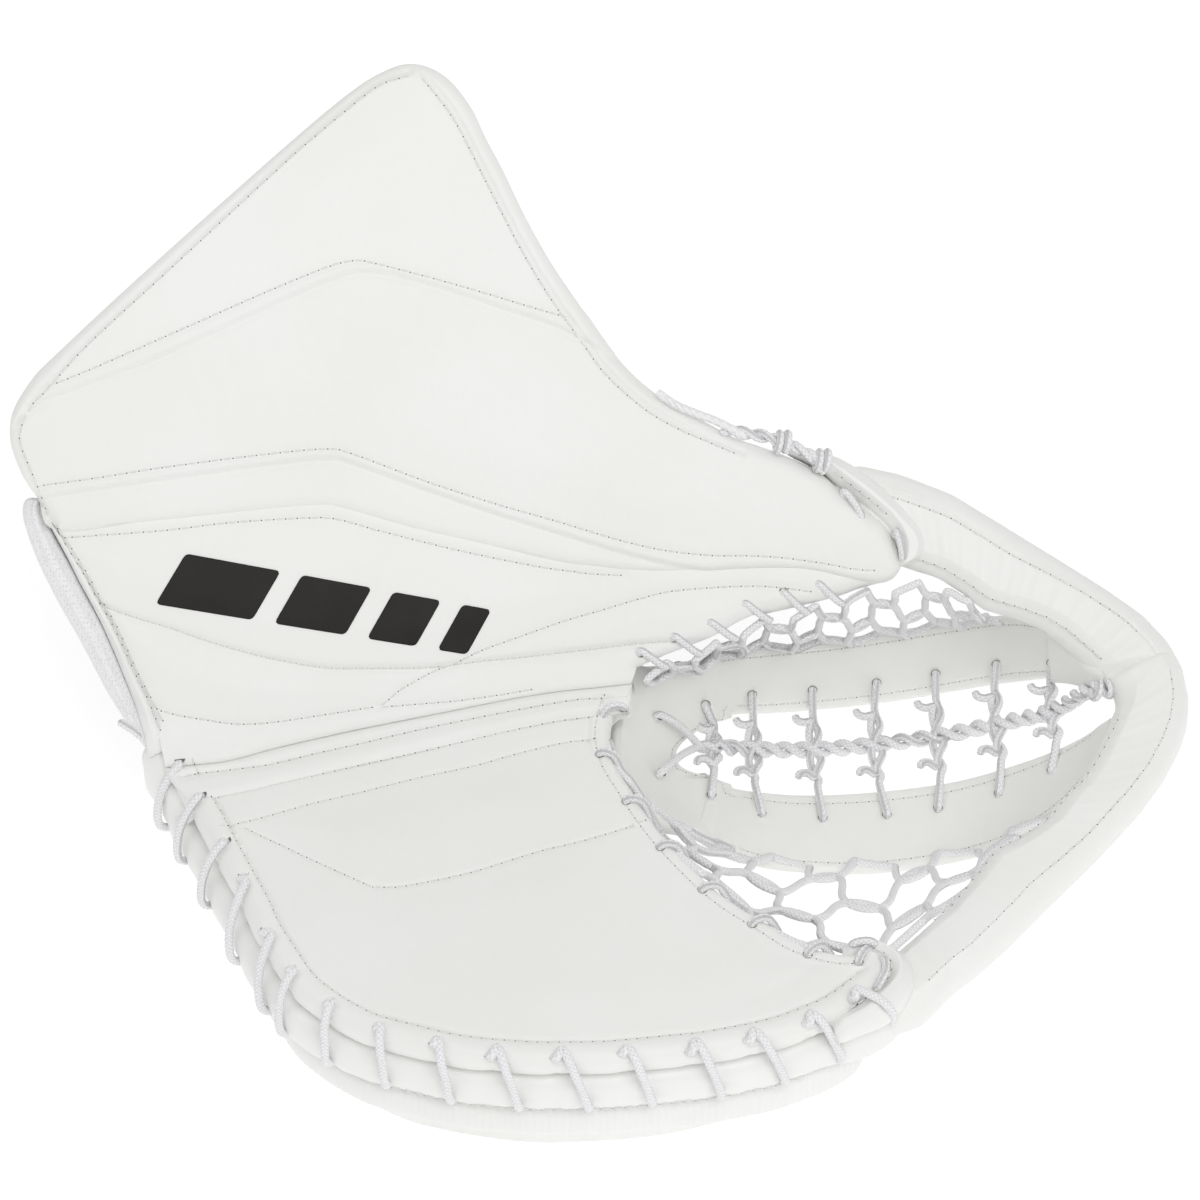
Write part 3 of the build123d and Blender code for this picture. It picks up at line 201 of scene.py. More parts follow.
# plan outlines (x, y) and strap edges (x, y, z), in millimetres, the same numbers as the solids
G = {
    "board": [
        (-202.1, 29.1), (-209, 37.4), (-213.8, 42.3), (-217.8, 48.9), (-219.3, 54.1), (-218.6, 59.7), (-215.6, 64.9), (-209.8, 71.6), (-202.1,
        77.9), (-180.9, 94.4), (-153, 115.5), (-124.6, 136.6), (-103.5, 151.8), (-90.5, 160.3), (-82, 164.6), (-73.8, 167.3), (-65.3, 167.1),
        (-57.1, 163.8), (-49.2, 156.8), (-44, 149), (-37.3, 140), (-29.1, 127.7), (-19.4, 115.5), (-8.5, 104.2), (0.1, 95.2), (8.8, 87.6), (18.5,
        81.8), (26, 78.7), (38.5, 74.5), (49.8, 70.7), (59.9, 68.8), (70.5, 66.4), (81.1, 63), (89.8, 57.7), (97.7, 53.4), (105.6, 48.7), (109.4,
        43.8), (111.6, 38.8), (110.5, 35.8), (107.8, 34), (102.9, 33.3), (97.3, 33.4), (91.6, 34.1), (79.9, 35.8), (68.6, 36), (51.2, 34.8), (32,
        32.7), (12.5, 31.5), (-1.7, 31.7), (-16, 32.2), (-39.5, 34.8), (-67.8, 37.9), (-96.4, 42.3), (-106, 42.5), (-131.6, 39.3), (-166.9, 34.3)],
    "edge_seam": [
        (-67.5, 165.1), (-58.9, 157.8), (-52.6, 150.9), (-42.9, 137.2), (-32.6, 122.8), (-24.6, 112.7), (-16, 103.3), (-6.8, 94.6), (0.1, 87.9),
        (8.8, 82), (18.5, 77), (29.2, 73.3), (38.6, 70.9), (53, 67.2)],
    "left_seam": [
        (-72, 165.2), (-81.3, 162.6), (-89.8, 158.1), (-110.5, 143.8), (-124.6, 133.3), (-164.1, 102.9), (-181, 90.1), (-195, 79), (-206.1, 68.7),
        (-212.7, 63.1), (-216, 57.4), (-216.7, 52.6), (-213.8, 46.5), (-210.4, 40.6), (-205.6, 31.6), (-200.4, 26.8), (-191.5, 16.6), (-186.7,
        10.2), (-180.9, 3), (-174, -8.1), (-167.2, -17.7), (-162.4, -24.3)],
    "chev1": [
        (-214.9, 59.4), (-211.8, 62), (-204.7, 65.6), (-195, 69), (-166.9, 78.8), (-138.7, 90.3), (-110.5, 101.9), (-96.3, 107.1), (-87.8, 108.4),
        (-75, 108), (-53.6, 104.6), (-32.2, 100.7), (-17.9, 98.1), (-6.4, 94.4)],
    "chev1_st": [
        (-206.2, 68.2), (-189.4, 74.4), (-154.3, 88.5), (-124.6, 100.4), (-103.4, 108.4), (-93.5, 111), (-87.8, 111.1), (-67.9, 108.7), (-46.5,
        105.6), (-25.1, 102.2), (-12.2, 100.4)],
    "chev2": [
        (-207.6, 37.9), (-186.4, 41.8), (-152.9, 47.7), (-116.1, 53.9), (-102, 55.5), (-96.3, 55.4), (-67.9, 49.5), (-39.4, 43.9), (-16, 39.9),
        (-1.7, 37.4), (17.4, 34.6), (32, 33.3)],
    "chev2_st": [
        (-210.4, 40.6), (-186.4, 44.7), (-162.7, 49.1), (-124.6, 55.3), (-103.4, 58.1), (-93.5, 57.4), (-67.9, 51.8), (-39.4, 46.6), (-17.9, 43.3),
        (-1.7, 40.6), (9.8, 38.9), (21.3, 37.7), (31.9, 37.3), (41.4, 37.3), (56.9, 38.2), (70.3, 38.2), (84.8, 37.2), (94.4, 36), (103.1, 35.7)],
    "board_low": [
        (-201.9, 29.1), (-166.9, 34.3), (-131.7, 39.2), (-106.2, 42.5), (-96.3, 42.4), (-67.9, 37.9), (-39.4, 34.8), (-16, 32.2), (-1.7, 31.7),
        (12.5, 31.5), (32, 32.7), (51.2, 34.8), (68.6, 36), (79.9, 35.8), (91.6, 34.1), (97.3, 33.4), (102.9, 33.3), (107.8, 34)],
    "row3_st": [
        (-200.6, 27.1), (-164.1, 31.5), (-138.7, 35.4), (-110.5, 38.5), (-99.1, 38.9), (-82.1, 36.5), (-53.6, 32.9), (-25.1, 30.2), (-10.7, 29.5),
        (-4.5, 29.3), (8.9, 29.6)],
    "lens_st": [
        (-185.1, 9.5), (-179.8, 8.2), (-170.4, 6.5), (-159.8, 4.8), (-149.2, 2.6), (-133.4, 0), (-117.5, -1.8), (-101.6, -2.7), (-85.6, -1.9),
        (-64.3, -0.6), (-44, 2.3), (-33.6, 3.5), (-16, 6), (-3.6, 7.8), (8.9, 9.8), (21.3, 11.4), (32, 12.3)],
    "heel_st": [
        (-167.2, -16.8), (-164, -18.5), (-155.5, -19.6), (-147.6, -20.1), (-136.5, -20.6), (-124.9, -19.7), (-106.8, -16.8), (-90.9, -14.1), (-83,
        -12.9)],
    "web_up_st": [
        (-83, -12.9), (-80.4, -11.2), (-75.4, -7.7), (-69.1, -4.6), (-62.8, -1.7), (-54.5, 1.2), (-45.1, 5.1), (-33.6, 8.9), (-16, 14.7), (-1.7,
        18.8), (12.7, 23), (24.1, 25.9), (37.6, 27.8), (51.1, 29.2), (62.6, 29.8), (74.2, 29.4), (81.8, 28.8)],
    "web_lo_st": [
        (-83, -13.2), (-70.1, -11.8), (-54.5, -10.2), (-38.3, -7.8), (-23.4, -5.1)],
    "crease": [
        (-156.6, -34.4), (-139.6, -32), (-121, -26.9), (-96.1, -21.2), (-75.3, -17), (-54.4, -12.9), (-33.6, -8.7), (-15.9, -5.7), (-1.7, -3.8),
        (10.8, -2)],
    "row1_st": [
        (-155.4, -38.8), (-147.7, -37.2), (-124.9, -33.6), (-107.4, -29), (-89.8, -24.9), (-69, -20), (-41.9, -14.4), (-15.9, -9.3), (-6.4, -7.9),
        (1.2, -7.3)],
    "row2_st": [
        (-145.9, -49.3), (-130.6, -45.4), (-120.4, -42.2), (-93.7, -34.7), (-65.7, -27.7), (-36.6, -20.5), (-15.9, -15.9), (0.3, -13.5)],
    "row3b_st": [
        (-141.4, -63.2), (-124.8, -57.9), (-107.5, -51.4), (-90.1, -46.2), (-69.6, -40), (-47.9, -34.6), (-33.4, -29.8), (-15.9, -24.9), (-7.3,
        -23.5), (0.3, -23.6)],
    "v_st": [
        (-131.9, -62.2), (-127.1, -65.2), (-116.5, -71.2), (-101.2, -80.1), (-86.1, -88.4), (-80.5, -89.8), (-74.9, -89.9), (-65.7, -88), (-47.9,
        -83.2), (-24.8, -74.5), (-6.2, -68.9), (17.3, -60)],
    "soft_crease1": [
        (-83.6, -89.4), (-76.1, -103.4), (-70, -114.9), (-61.8, -125.5), (-52.5, -134.1), (-43.3, -139), (-29.7, -143.3)],
    "soft_crease2": [
        (76.6, -124.6), (66.4, -133.6), (57.1, -138.6), (39, -144.2), (25.5, -145.5)],
    "left_edge": [
        (-202.1, 29.1), (-198.8, 25), (-191.5, 16.6), (-186.7, 10.3), (-180.8, 2.9), (-174, -8), (-169.8, -14.2), (-165.3, -21.8)],
    "left_out": [
        (-209, 37.4), (-205.4, 31.2), (-198.8, 22.3), (-194.4, 15.9), (-188.1, 7.4), (-183.4, -0), (-178.6, -8.6), (-173.8, -17.8), (-171.2, -24.7)],
    "palm_edge": [
        (-165.2, -25.4), (-161.3, -32.5), (-155.5, -45), (-149.1, -56.8), (-143.7, -68.1), (-135.3, -85.3), (-129, -98.1), (-123.7, -110.8),
        (-116.6, -123.4), (-109.7, -134.7), (-101.2, -143.2), (-92.7, -149.6), (-82.7, -155.4), (-69.1, -159.9), (-51.1, -164.9), (-29.4, -167.5),
        (-15, -167.9), (2.8, -167.4), (22.5, -165.2), (38.6, -163), (61.1, -157.5), (77.6, -150.3), (85.8, -145.4), (95.2, -137.2), (100.3, -132.2),
        (101.9, -127.2), (100.4, -122.7)],
    "pocket_edge": [
        (100.4, -122.7), (95, -120.9), (85, -120.7), (77.7, -118.8), (68.5, -114.5), (58.6, -106.5), (46.9, -97.3), (37.8, -88), (27.8, -75.2),
        (21.3, -65.8), (15.4, -55.7), (9.3, -43.5), (4.2, -33), (2, -22.1), (3.5, -12.1), (6.5, -6.7), (11, -2)],
    "palm_holes": [
        (-157.6, -31.5), (-147.8, -48.5), (-137.5, -70), (-130.2, -85.9), (-120.9, -110.8), (-110.5, -128.5), (-96.7, -143.2), (-79.2, -153.2),
        (-59.4, -160.1), (-39.7, -165.1), (-17.1, -166), (6.2, -164.1), (30.2, -163.2), (50.4, -158.6), (71.2, -151.4), (87.8, -141.6)],
    "lace_ends": [
        (-165, -60.5), (-154.6, -79.4), (-141.8, -99.3), (-128.4, -124.5), (-117.7, -147), (-107.4, -153.9), (-93.1, -165.8), (-74.6, -175.1),
        (-52.4, -182.3), (-29.1, -185), (-5.3, -185.4), (16.6, -184.7), (40.5, -180.9), (63.3, -177.7), (84, -170.7), (102.2, -162.2)],
    "pocket_holes": [
        (12.9, 3.2), (3.8, -9.7), (1.9, -29.4), (12.6, -50.4), (24.6, -70.4), (39.2, -90.3), (55, -105.4), (74.7, -118.6), (91, -121.6)],
    "thumb_edge": [
        (12.9, 3.2), (21.5, 6.8), (32, 10.7), (42.2, 14.5), (51.2, 19.1), (59.9, 22.4), (70, 24.8), (79.9, 27.1), (88.8, 29.2), (97.6, 31.9),
        (104.4, 33.4)],
    "thumb_holes": [
        (32, 10.1), (51.2, 19.1), (70, 24.7), (88.8, 29.2)],
    "band_out_t": [
        (63, 69.9), (72.4, 69.3), (86.8, 68.4), (98.4, 68.4), (112.9, 65.6), (132.1, 59.5), (151.2, 50.3), (170.3, 40.6), (189.2, 30.6), (203.4,
        22.3), (212.7, 13.4), (217.9, 3.9)],
    "band_out_f": [
        (219.5, -8.3), (218.2, -19), (214.6, -28.8), (208, -41.1), (198.5, -54.6), (180.7, -75.8), (163.8, -94.5), (149.1, -110.8), (134.5, -126.1),
        (125, -134.6), (113.4, -148.8), (103, -157.4)],
    "band_in_t": [
        (116.5, 37.3), (127, 34.1), (135.7, 29.3), (143.2, 24), (155.5, 20.6), (164.1, 17.5), (171.4, 12.9), (180.4, 4.9), (187.1, -1.8), (191.4,
        -6.9)],
    "band_in_f": [
        (192.1, -12.1), (189.5, -17.9), (184, -28.4), (179, -38.1), (173.3, -46.3), (167.8, -51.7), (161.8, -60.4), (152, -67.7), (141.4, -73),
        (135.1, -82.1), (125.4, -94.7), (114.1, -104.2), (104.8, -111.5)],
    "band_seam1": [
        (108.3, 60.6), (116.7, 54.9), (128.2, 51.2), (141.6, 45.4), (160.7, 36.6), (179.5, 26.2), (193.7, 19.2), (205, 10.9)],
    "band_seam2": [
        (122.4, 38.3), (133.8, 34.9), (146.2, 29.3), (160.3, 22.5), (174.4, 15.3), (184.6, 8.6), (194.9, 3.2)],
    "head_seam": [
        (194.2, -23.7), (184, -34.5), (177.6, -41.6), (173.3, -46.3)],
    "thumb_loop": [
        (59.9, 69.4), (74.3, 69.4), (81.5, 68.1), (89.7, 66.8), (99.3, 62.8), (108.9, 57.2), (116.6, 51.5), (121.4, 47), (122.6, 43.2), (120.7,
        39.3), (115.6, 36.7), (110.5, 35.5)],
    "tip_loop": [
        (106.9, -141.6), (110.6, -135.1), (111.5, -127.6), (109.5, -120.6), (106.3, -116.9), (101.1, -113.6), (94, -112.1), (86.8, -112.9)],
    "cuff_ridges": [
        (-112.7, 90.7), (-101.6, 66.4)],
    "mesh_out": [
        (-216.6, 38), (-214, 30.3), (-209.3, 21.1), (-201.9, 10.4), (-193.5, -0.2), (-184, -13.2), (-176.6, -21.5), (-172.4, -25.7)],
    "band_root_t": [
        (61.1, 65.2), (74.3, 62.6), (87.9, 57.6), (99.2, 51.7), (106.8, 44.9), (111.6, 39.1)],
    "ts_in": [
        (43.3, 27.4, 30), (51.9, 36.4, 23), (65.9, 41.2, 18), (79.4, 44, 16), (99.6, 46.5, 16), (119.7, 48.2, 18), (139.4, 47.6, 24), (156.9, 43,
        34), (172.6, 30.8, 51), (181.9, 17.3, 66), (188.9, 1.7, 80)],
    "ts_out": [
        (33.7, 32.6, 56), (45.6, 44.5, 50), (61.4, 50.6, 46), (78.7, 53.6, 45), (98.7, 56.7, 45), (118.7, 59.1, 47), (138.2, 58, 53), (155.5, 53.1,
        62), (169.2, 37.5, 76), (180.2, 16.5, 86), (188.8, -0.7, 92)],
    "fs_in": [
        (42.9, 1.8, 28), (51.2, 2.6, 21), (64.9, 3.4, 17), (78.1, 3.6, 15.5), (97.9, 4.4, 15.5), (117.6, 5.2, 17.5), (137, 4.5, 23), (154.4, 2.7,
        33), (170.4, -2.7, 49), (182.1, -6.9, 64), (188.5, -10.4, 78)],
    "fs_out": [
        (36.9, -29.7, 34), (47.8, -29.8, 22), (62.2, -29.5, 13), (77.2, -29.5, 10), (96.8, -30.1, 9.5), (116.3, -29.7, 11.5), (135.5, -29.7, 17),
        (152.5, -31.2, 28), (168.5, -32.1, 46), (179.5, -29.2, 62), (188.6, -26.3, 80)],
    "tails": [
        (53.8, 69.2, 145.9), (44.7, 72.3, 150.3), (35.3, 74.2, 153.2), (26, 76.6, 156), (-171.5, -28.7, 88), (-174, -27.3, 89.9), (-177, -25.8, 91),
        (-180.1, -23.8, 91.5)],
    "mark": [[(-154.8, 25.7), (-120, 23.1), (-130.4, 9), (-165.8, 11.1)], [(-111.9, 22.5), (-86.3, 20.5), (-96.1, 6.9), (-122.1, 8.5)], [(-78.1, 19.8), (-60.6, 18.4), (-70, 5.1), (-87.8, 6.3)], [(-52.4, 17.7), (-41.9, 16.8), (-50.9, 3.7), (-61.6, 4.5)]],
}


# ================================================================ surface
def smooth(t):
    t = np.clip(t, 0, 1)
    return t * t * (3 - 2 * t)


def behind(x, y):
    return -(x - BEND_A[0]) * BDIR[1] + (y - BEND_A[1]) * BDIR[0]


def width_at(x):
    return 6 + 10 * smooth((x - (SX - 140.0)) / 140.0) + 38 * smooth((x - (SX + 60.0)) / 140.0)


def rim(x, y):
    d = behind(x, y)
    w = width_at(x)
    return PALM_Z + TA * (d + np.sqrt(d * d + w * w)) / 2


def rim_normal(x, y):
    e = 0.5
    gx = (rim(x + e, y) - rim(x - e, y)) / (2 * e)
    gy = (rim(x, y + e) - rim(x, y - e)) / (2 * e)
    n = np.stack([-gx, -gy, np.ones_like(gx)], -1)
    return n / np.linalg.norm(n, axis=-1, keepdims=True)


def on_rim(p, off=0.0):
    """Plan points laid on the surface, raised along its normal."""
    p = np.atleast_2d(np.asarray(p, float))[:, :2]
    n = rim_normal(p[:, 0], p[:, 1])
    base = np.stack([p[:, 0], p[:, 1], rim(p[:, 0], p[:, 1])], -1)
    return base + n * np.reshape(off, (-1, 1)) if np.ndim(off) else base + n * off


# ================================================================ curves
def spline(pts, step=1.0, closed=False, tension=0.5):
    """Evenly spaced points on a Catmull-Rom curve through pts."""
    p = np.asarray(pts, float)
    if closed:
        q = np.vstack([p[-1], p, p[0], p[1]])
    else:
        q = np.vstack([2 * p[0] - p[1], p, 2 * p[-1] - p[-2]])
    out = []
    for i in range(1, len(q) - 2):
        p0, p1, p2, p3 = q[i - 1:i + 3]
        n = max(int(np.linalg.norm(p2 - p1) / 0.7), 4)
        t = np.linspace(0, 1, n, endpoint=False)[:, None]
        out.append(0.5 * (2 * p1 + (p2 - p0) * t + (2 * p0 - 5 * p1 + 4 * p2 - p3) * t ** 2 + (3 * p1 - p0 - 3 * p2 + p3) * t ** 3))
    c = np.vstack(out + ([] if closed else [q[-2][None]]))
    return even(c, step, closed)


def even(c, step=1.0, closed=False, n=None):
    c = np.asarray(c, float)
    if closed:
        c = np.vstack([c, c[:1]])
    s = np.concatenate([[0], np.cumsum(np.linalg.norm(np.diff(c, axis=0), axis=1))])
    if n is None:
        n = max(int(round(s[-1] / step)), 2) + (0 if closed else 1)
    t = np.linspace(0, s[-1], n + 1)[:-1] if closed else np.linspace(0, s[-1], n)
    return np.stack([np.interp(t, s, c[:, k]) for k in range(c.shape[1])], -1)


def length(c):
    return float(np.linalg.norm(np.diff(c, axis=0), axis=1).sum())


def seg_dist(P, line):
    """Distance, signed by side (positive to the left), and position along, of plan points from a polyline."""
    A, B = line[:-1, :2], line[1:, :2]
    best = np.full(len(P), 1e9)
    sgn = np.ones(len(P))
    cum = np.concatenate([[0], np.cumsum(np.linalg.norm(B - A, axis=1))])
    pos = np.zeros(len(P))
    for i in range(len(A)):
        d = B[i] - A[i]
        L2 = max(d @ d, 1e-9)
        w = P - A[i]
        t = np.clip((w @ d) / L2, 0, 1)
        r = w - t[:, None] * d
        dist = np.hypot(r[:, 0], r[:, 1])
        m = dist < best
        best[m] = dist[m]
        cr = d[0] * w[:, 1] - d[1] * w[:, 0]
        sgn[m] = np.sign(cr[m])
        pos[m] = cum[i] + t[m] * math.sqrt(L2)
    return best, sgn, pos, cum[-1]


def inside(P, poly):
    x, y = P[:, 0], P[:, 1]
    res = np.zeros(len(P), bool)
    n = len(poly)
    for i in range(n):
        x0, y0 = poly[i][:2]
        x1, y1 = poly[(i + 1) % n][:2]
        c = ((y0 > y) != (y1 > y))
        xi = (x1 - x0) * (y - y0) / ((y1 - y0) if y1 != y0 else 1e-9) + x0
        res ^= c & (x < xi)
    return res


def side_of(pts, dist):
    """Curve moved to its left by dist."""
    p = np.asarray(pts, float)
    t = np.gradient(p[:, :2], axis=0)
    t /= np.linalg.norm(t, axis=1, keepdims=True) + 1e-9
    return p[:, :2] + np.stack([-t[:, 1], t[:, 0]], -1) * dist


LINES = {k: spline(v, 2.0) for k, v in G.items() if k not in ("mark", "tails", "palm_holes", "lace_ends", "pocket_holes", "thumb_holes")
         and len(v) > 2 and len(v[0]) == 2}

# ================================================================ meshes
NEW = []


def build(name, co, faces, body=None, slot_name=None, mat=None, smooth_=True, uv=None):
    me = bpy.data.meshes.new(name)
    me.from_pydata((np.asarray(co) * MM).tolist(), [], faces if isinstance(faces, list) else faces.tolist())
    me.validate()
    if smooth_:
        me.polygons.foreach_set("use_smooth", [True] * len(me.polygons))
    if uv is not None:
        layer = me.uv_layers.new(name="UVMap")
        idx = np.empty(len(me.loops), int)
        me.loops.foreach_get("vertex_index", idx)
        layer.data.foreach_set("uv", np.asarray(uv, float)[idx].ravel())
    me.update()
    o = bpy.data.objects.new(name, me)
    bpy.context.scene.collection.objects.link(o)
    if mat is not None:
        me.materials.append(mat)
    if slot_name:
        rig.slot(o, slot_name)
    if body:
        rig.ride(o, body)
    NEW.append(o)
    return o


def merge(parts):
    """Several (co, faces[, uv]) into one."""
    co, fa, uv, k = [], [], [], 0
    for p in parts:
        co.append(np.asarray(p[0]))
        f = p[1]
        fa += [tuple(i + k for i in q) for q in f]
        if len(p) > 2:
            uv.append(p[2])
        k += len(p[0])
    return (np.vstack(co), fa, np.vstack(uv)) if uv else (np.vstack(co), fa)


def grid_faces(nu, nv, closed_v=False, flip=False):
    f = []
    for i in range(nu - 1):
        for j in range(nv if closed_v else nv - 1):
            a, b = i * nv + j, i * nv + (j + 1) % nv
            c, d = (i + 1) * nv + (j + 1) % nv, (i + 1) * nv + j
            f.append((a, d, c, b) if flip else (a, b, c, d))
    return f


def tube(path, r=1.55, around=10, step=0.8, flat=1.0, caps=True, normal_hint=None, smooth_path=True):
    """Lace following a 3-D path. The u coordinate runs in millimetres along it."""
    c = spline(path, step) if smooth_path and len(path) > 2 else even(path, step)
    t = np.gradient(c, axis=0)
    t /= np.linalg.norm(t, axis=1, keepdims=True) + 1e-12
    ref = np.array([0.0, 0.0, 1.0]) if normal_hint is None else np.asarray(normal_hint, float)
    nrm = np.zeros_like(c)
    v = ref - t[0] * (ref @ t[0])
    if np.linalg.norm(v) < 1e-3:
        v = np.array([1.0, 0, 0]) - t[0] * t[0][0]
    v /= np.linalg.norm(v)
    for i in range(len(c)):
        v = v - t[i] * (v @ t[i])
        v /= np.linalg.norm(v) + 1e-12
        nrm[i] = v
    bi = np.cross(t, nrm)
    s = np.concatenate([[0], np.cumsum(np.linalg.norm(np.diff(c, axis=0), axis=1))])
    ang = np.linspace(0, 2 * np.pi, around, endpoint=False)
    rr = np.full(len(c), r)
    ends = np.minimum(s, s[-1] - s)
    if caps:
        rr = r * np.sqrt(np.clip(1 - (1 - np.clip(ends / (0.8 * r), 0, 1)) ** 2, 0.02, 1))
    co = c[:, None] + (nrm[:, None] * (np.cos(ang)[None, :, None] * flat) + bi[:, None] * np.sin(ang)[None, :, None]) * rr[:, None, None]
    uv = np.stack([np.repeat(s[:, None], around, 1), np.repeat(ang[None] / (2 * np.pi) * 6, len(c), 0)], -1)
    fa = grid_faces(len(c), around, True, flip=True)
    fa += [tuple(range(around)), tuple((len(c) - 1) * around + k for k in reversed(range(around)))]
    return co.reshape(-1, 3), fa, uv.reshape(-1, 2)


STITCH = {}


def stitch(kind, pts3, nrm, pitch=4.3, gap=1.2, r=0.34, holes=True, jitter=0.12):
    """Row of thread stitches, with dark discs painted as the shade in their needle holes, on a surface curve with
    normals.
    """
    c = np.asarray(pts3, float)
    s = np.concatenate([[0], np.cumsum(np.linalg.norm(np.diff(c, axis=0), axis=1))])
    n = int(s[-1] / pitch)
    get = lambda q: np.array([np.interp(q, s, c[:, k]) for k in range(3)])
    gn = lambda q: np.array([np.interp(q, s, nrm[:, k]) for k in range(3)])
    th, ho = STITCH.setdefault(kind, ([], []))
    for i in range(n):
        a_ = i * pitch + gap / 2 + rng.uniform(-jitter, jitter)
        b_ = (i + 1) * pitch - gap / 2 + rng.uniform(-jitter, jitter)
        p, q = get(a_), get(b_)
        m_, nn = get((a_ + b_) / 2), gn((a_ + b_) / 2)
        nn /= np.linalg.norm(nn)
        d = (q - p) / (np.linalg.norm(q - p) + 1e-9)
        side = np.cross(nn, d)
        L = np.linalg.norm(q - p)
        rows = []
        for t, dz, k in ((0.0, -0.42, 0.35), (0.12, -0.06, 0.85), (0.5, 0.12, 1.0), (0.88, -0.06, 0.85), (1.0, -0.42, 0.35)):
            cen = p + d * L * t + nn * dz
            for j in range(6):
                an = math.pi * 2 * j / 6
                rows.append(cen + (side * math.cos(an) + nn * math.sin(an)) * r * k)
        fa = grid_faces(5, 6, True)
        th.append((np.array(rows), fa))
        if holes:
            # dark disc at the needle hole: painted shade standing in for the hole's depth
            hc = q + d * gap * 0.5 * rng.uniform(0.8, 1.2)
            ring = [hc + nn * 0.05 + (d * math.cos(a2) * 0.34 + side * math.sin(a2) * 0.26) for a2 in np.linspace(0, 2 * math.pi, 7)[:-1]]
            ho.append((np.array(ring + [hc + nn * 0.09]), [(k, (k + 1) % 6, 6) for k in range(6)]))


def surf_row(kind, line, h, pitch=4.3, **kw):
    """Stitch row along a plan line, on the skin whose height over the rim is h(points)."""
    c = even(np.asarray(line)[:, :2], 1.0)
    off = h(c)
    pts = on_rim(c, off)
    stitch(kind, pts, rim_normal(c[:, 0], c[:, 1]), pitch, **kw)


def panel(name, poly, hfun, lines=(), grid=1.6, offs=(-1.6, -0.8, -0.3, 0.3, 0.8, 1.6), edge_step=1.2, skirt=None, under=None, edge_rows=(0.35, 0.9, 1.8, 3.0, 4.5)):
    """Dense skin over a plan polygon. skirt is a list of (out, down) rings, each a number or one value per edge point."""
    b = even(np.asarray(poly)[:, :2], edge_step, True)
    area = 0.5 * np.sum(b[:, 0] * np.roll(b[:, 1], -1) - np.roll(b[:, 0], -1) * b[:, 1])
    if area < 0:
        b = b[::-1].copy()
    feats = []
    ring = np.vstack([b, b[:1]])
    for k in edge_rows:
        q = side_of(ring, k)[:-1]
        m = inside(q, b)
        q = q[m]
        dd = seg_dist(q, ring)[0]
        feats.append(q[dd > k * 0.85])
    for ln in lines:
        for o_ in offs:
            q = side_of(even(ln, 1.1), o_)
            feats.append(q)
    F = np.vstack(feats) if feats else np.zeros((0, 2))
    F = F[inside(F, b)]
    x0, y0 = b.min(0)
    x1, y1 = b.max(0)
    gx, gy = np.meshgrid(np.arange(x0, x1, grid), np.arange(y0, y1, grid * 0.86))
    gx = gx + (np.arange(gx.shape[0]) % 2)[:, None] * grid / 2
    Q = np.stack([gx.ravel(), gy.ravel()], -1)
    Q = Q[inside(Q, b)]
    # thin out: hash cells so that points stay apart
    cell = 0.42
    seen = set()
    keep = []
    allp = np.vstack([b, F])
    for i, (u, v) in enumerate(allp):
        key = (int(round(u / cell)), int(round(v / cell)))
        if i < len(b) or key not in seen:
            keep.append(i)
            seen.add(key)
    allp = allp[keep]
    coarse = set((int(math.floor(u / (grid * 0.55))), int(math.floor(v / (grid * 0.55)))) for u, v in allp)
    Q = np.array([q for q in Q if (int(math.floor(q[0] / (grid * 0.55))), int(math.floor(q[1] / (grid * 0.55)))) not in coarse]).reshape(-1, 2)
    V = np.vstack([allp, Q])
    nb = len(b)
    # drop feature points hugging the boundary
    dd = seg_dist(V[nb:], ring)[0]
    V = np.vstack([b, V[nb:][dd > 0.2]])
    res = delaunay_2d_cdt([Vector(p) for p in V], [(i, (i + 1) % nb) for i in range(nb)], [], 1, 1e-6)
    P = np.array([tuple(p) for p in res[0]])
    faces = [tuple(f) for f in res[2]]
    co = on_rim(P, hfun(P))
    # keep the winding up
    f0 = np.array(faces)
    cr = np.cross(P[f0[:, 1]] - P[f0[:, 0]], P[f0[:, 2]] - P[f0[:, 0]])
    faces = [f if c > 0 else f[::-1] for f, c in zip(faces, cr)]
    if skirt:
        # boundary vertices in order
        orig = {}
        for k, src in enumerate(res[3]):
            for s_ in src:
                if s_ < nb:
                    orig[s_] = k
        order = [orig[i] for i in range(nb)]
        base = b
        h0 = hfun(base)
        t = np.roll(base, -1, 0) - np.roll(base, 1, 0)
        t /= np.linalg.norm(t, axis=1, keepdims=True)
        outw = np.stack([t[:, 1], -t[:, 0]], -1)
        nr = rim_normal(base[:, 0], base[:, 1])
        o3 = np.concatenate([outw, np.zeros((nb, 1))], 1)
        o3 = o3 - nr * np.sum(o3 * nr, 1, keepdims=True)
        o3 /= np.linalg.norm(o3, axis=1, keepdims=True)
        core = on_rim(base, h0)
        prev = order
        n0 = len(co)
        extra = []
        for (ow, dn) in skirt:
            ow = np.broadcast_to(np.asarray(ow, float), (nb,))
            dn = np.broadcast_to(np.asarray(dn, float), (nb,))
            extra.append(core + o3 * ow[:, None] - nr * dn[:, None])
            cur = [n0 + i for i in range(nb)]
            n0 += nb
            for i in range(nb):
                j = (i + 1) % nb
                faces.append((prev[i], cur[i], cur[j], prev[j]))
            prev = cur
        co = np.vstack([co] + extra)
    return co, faces, b


# ================================================================ materials
def nodes_of(m):
    m.use_nodes = True
    nt = m.node_tree
    return nt, nt.nodes, nt.links, nt.nodes["Principled BSDF"]


def mapped(nt, scale, src="Object"):
    tc = nt.nodes.new("ShaderNodeTexCoord")
    mp = nt.nodes.new("ShaderNodeMapping")
    mp.inputs["Scale"].default_value = scale
    nt.links.new(tc.outputs[src], mp.inputs["Vector"])
    return mp.outputs["Vector"]


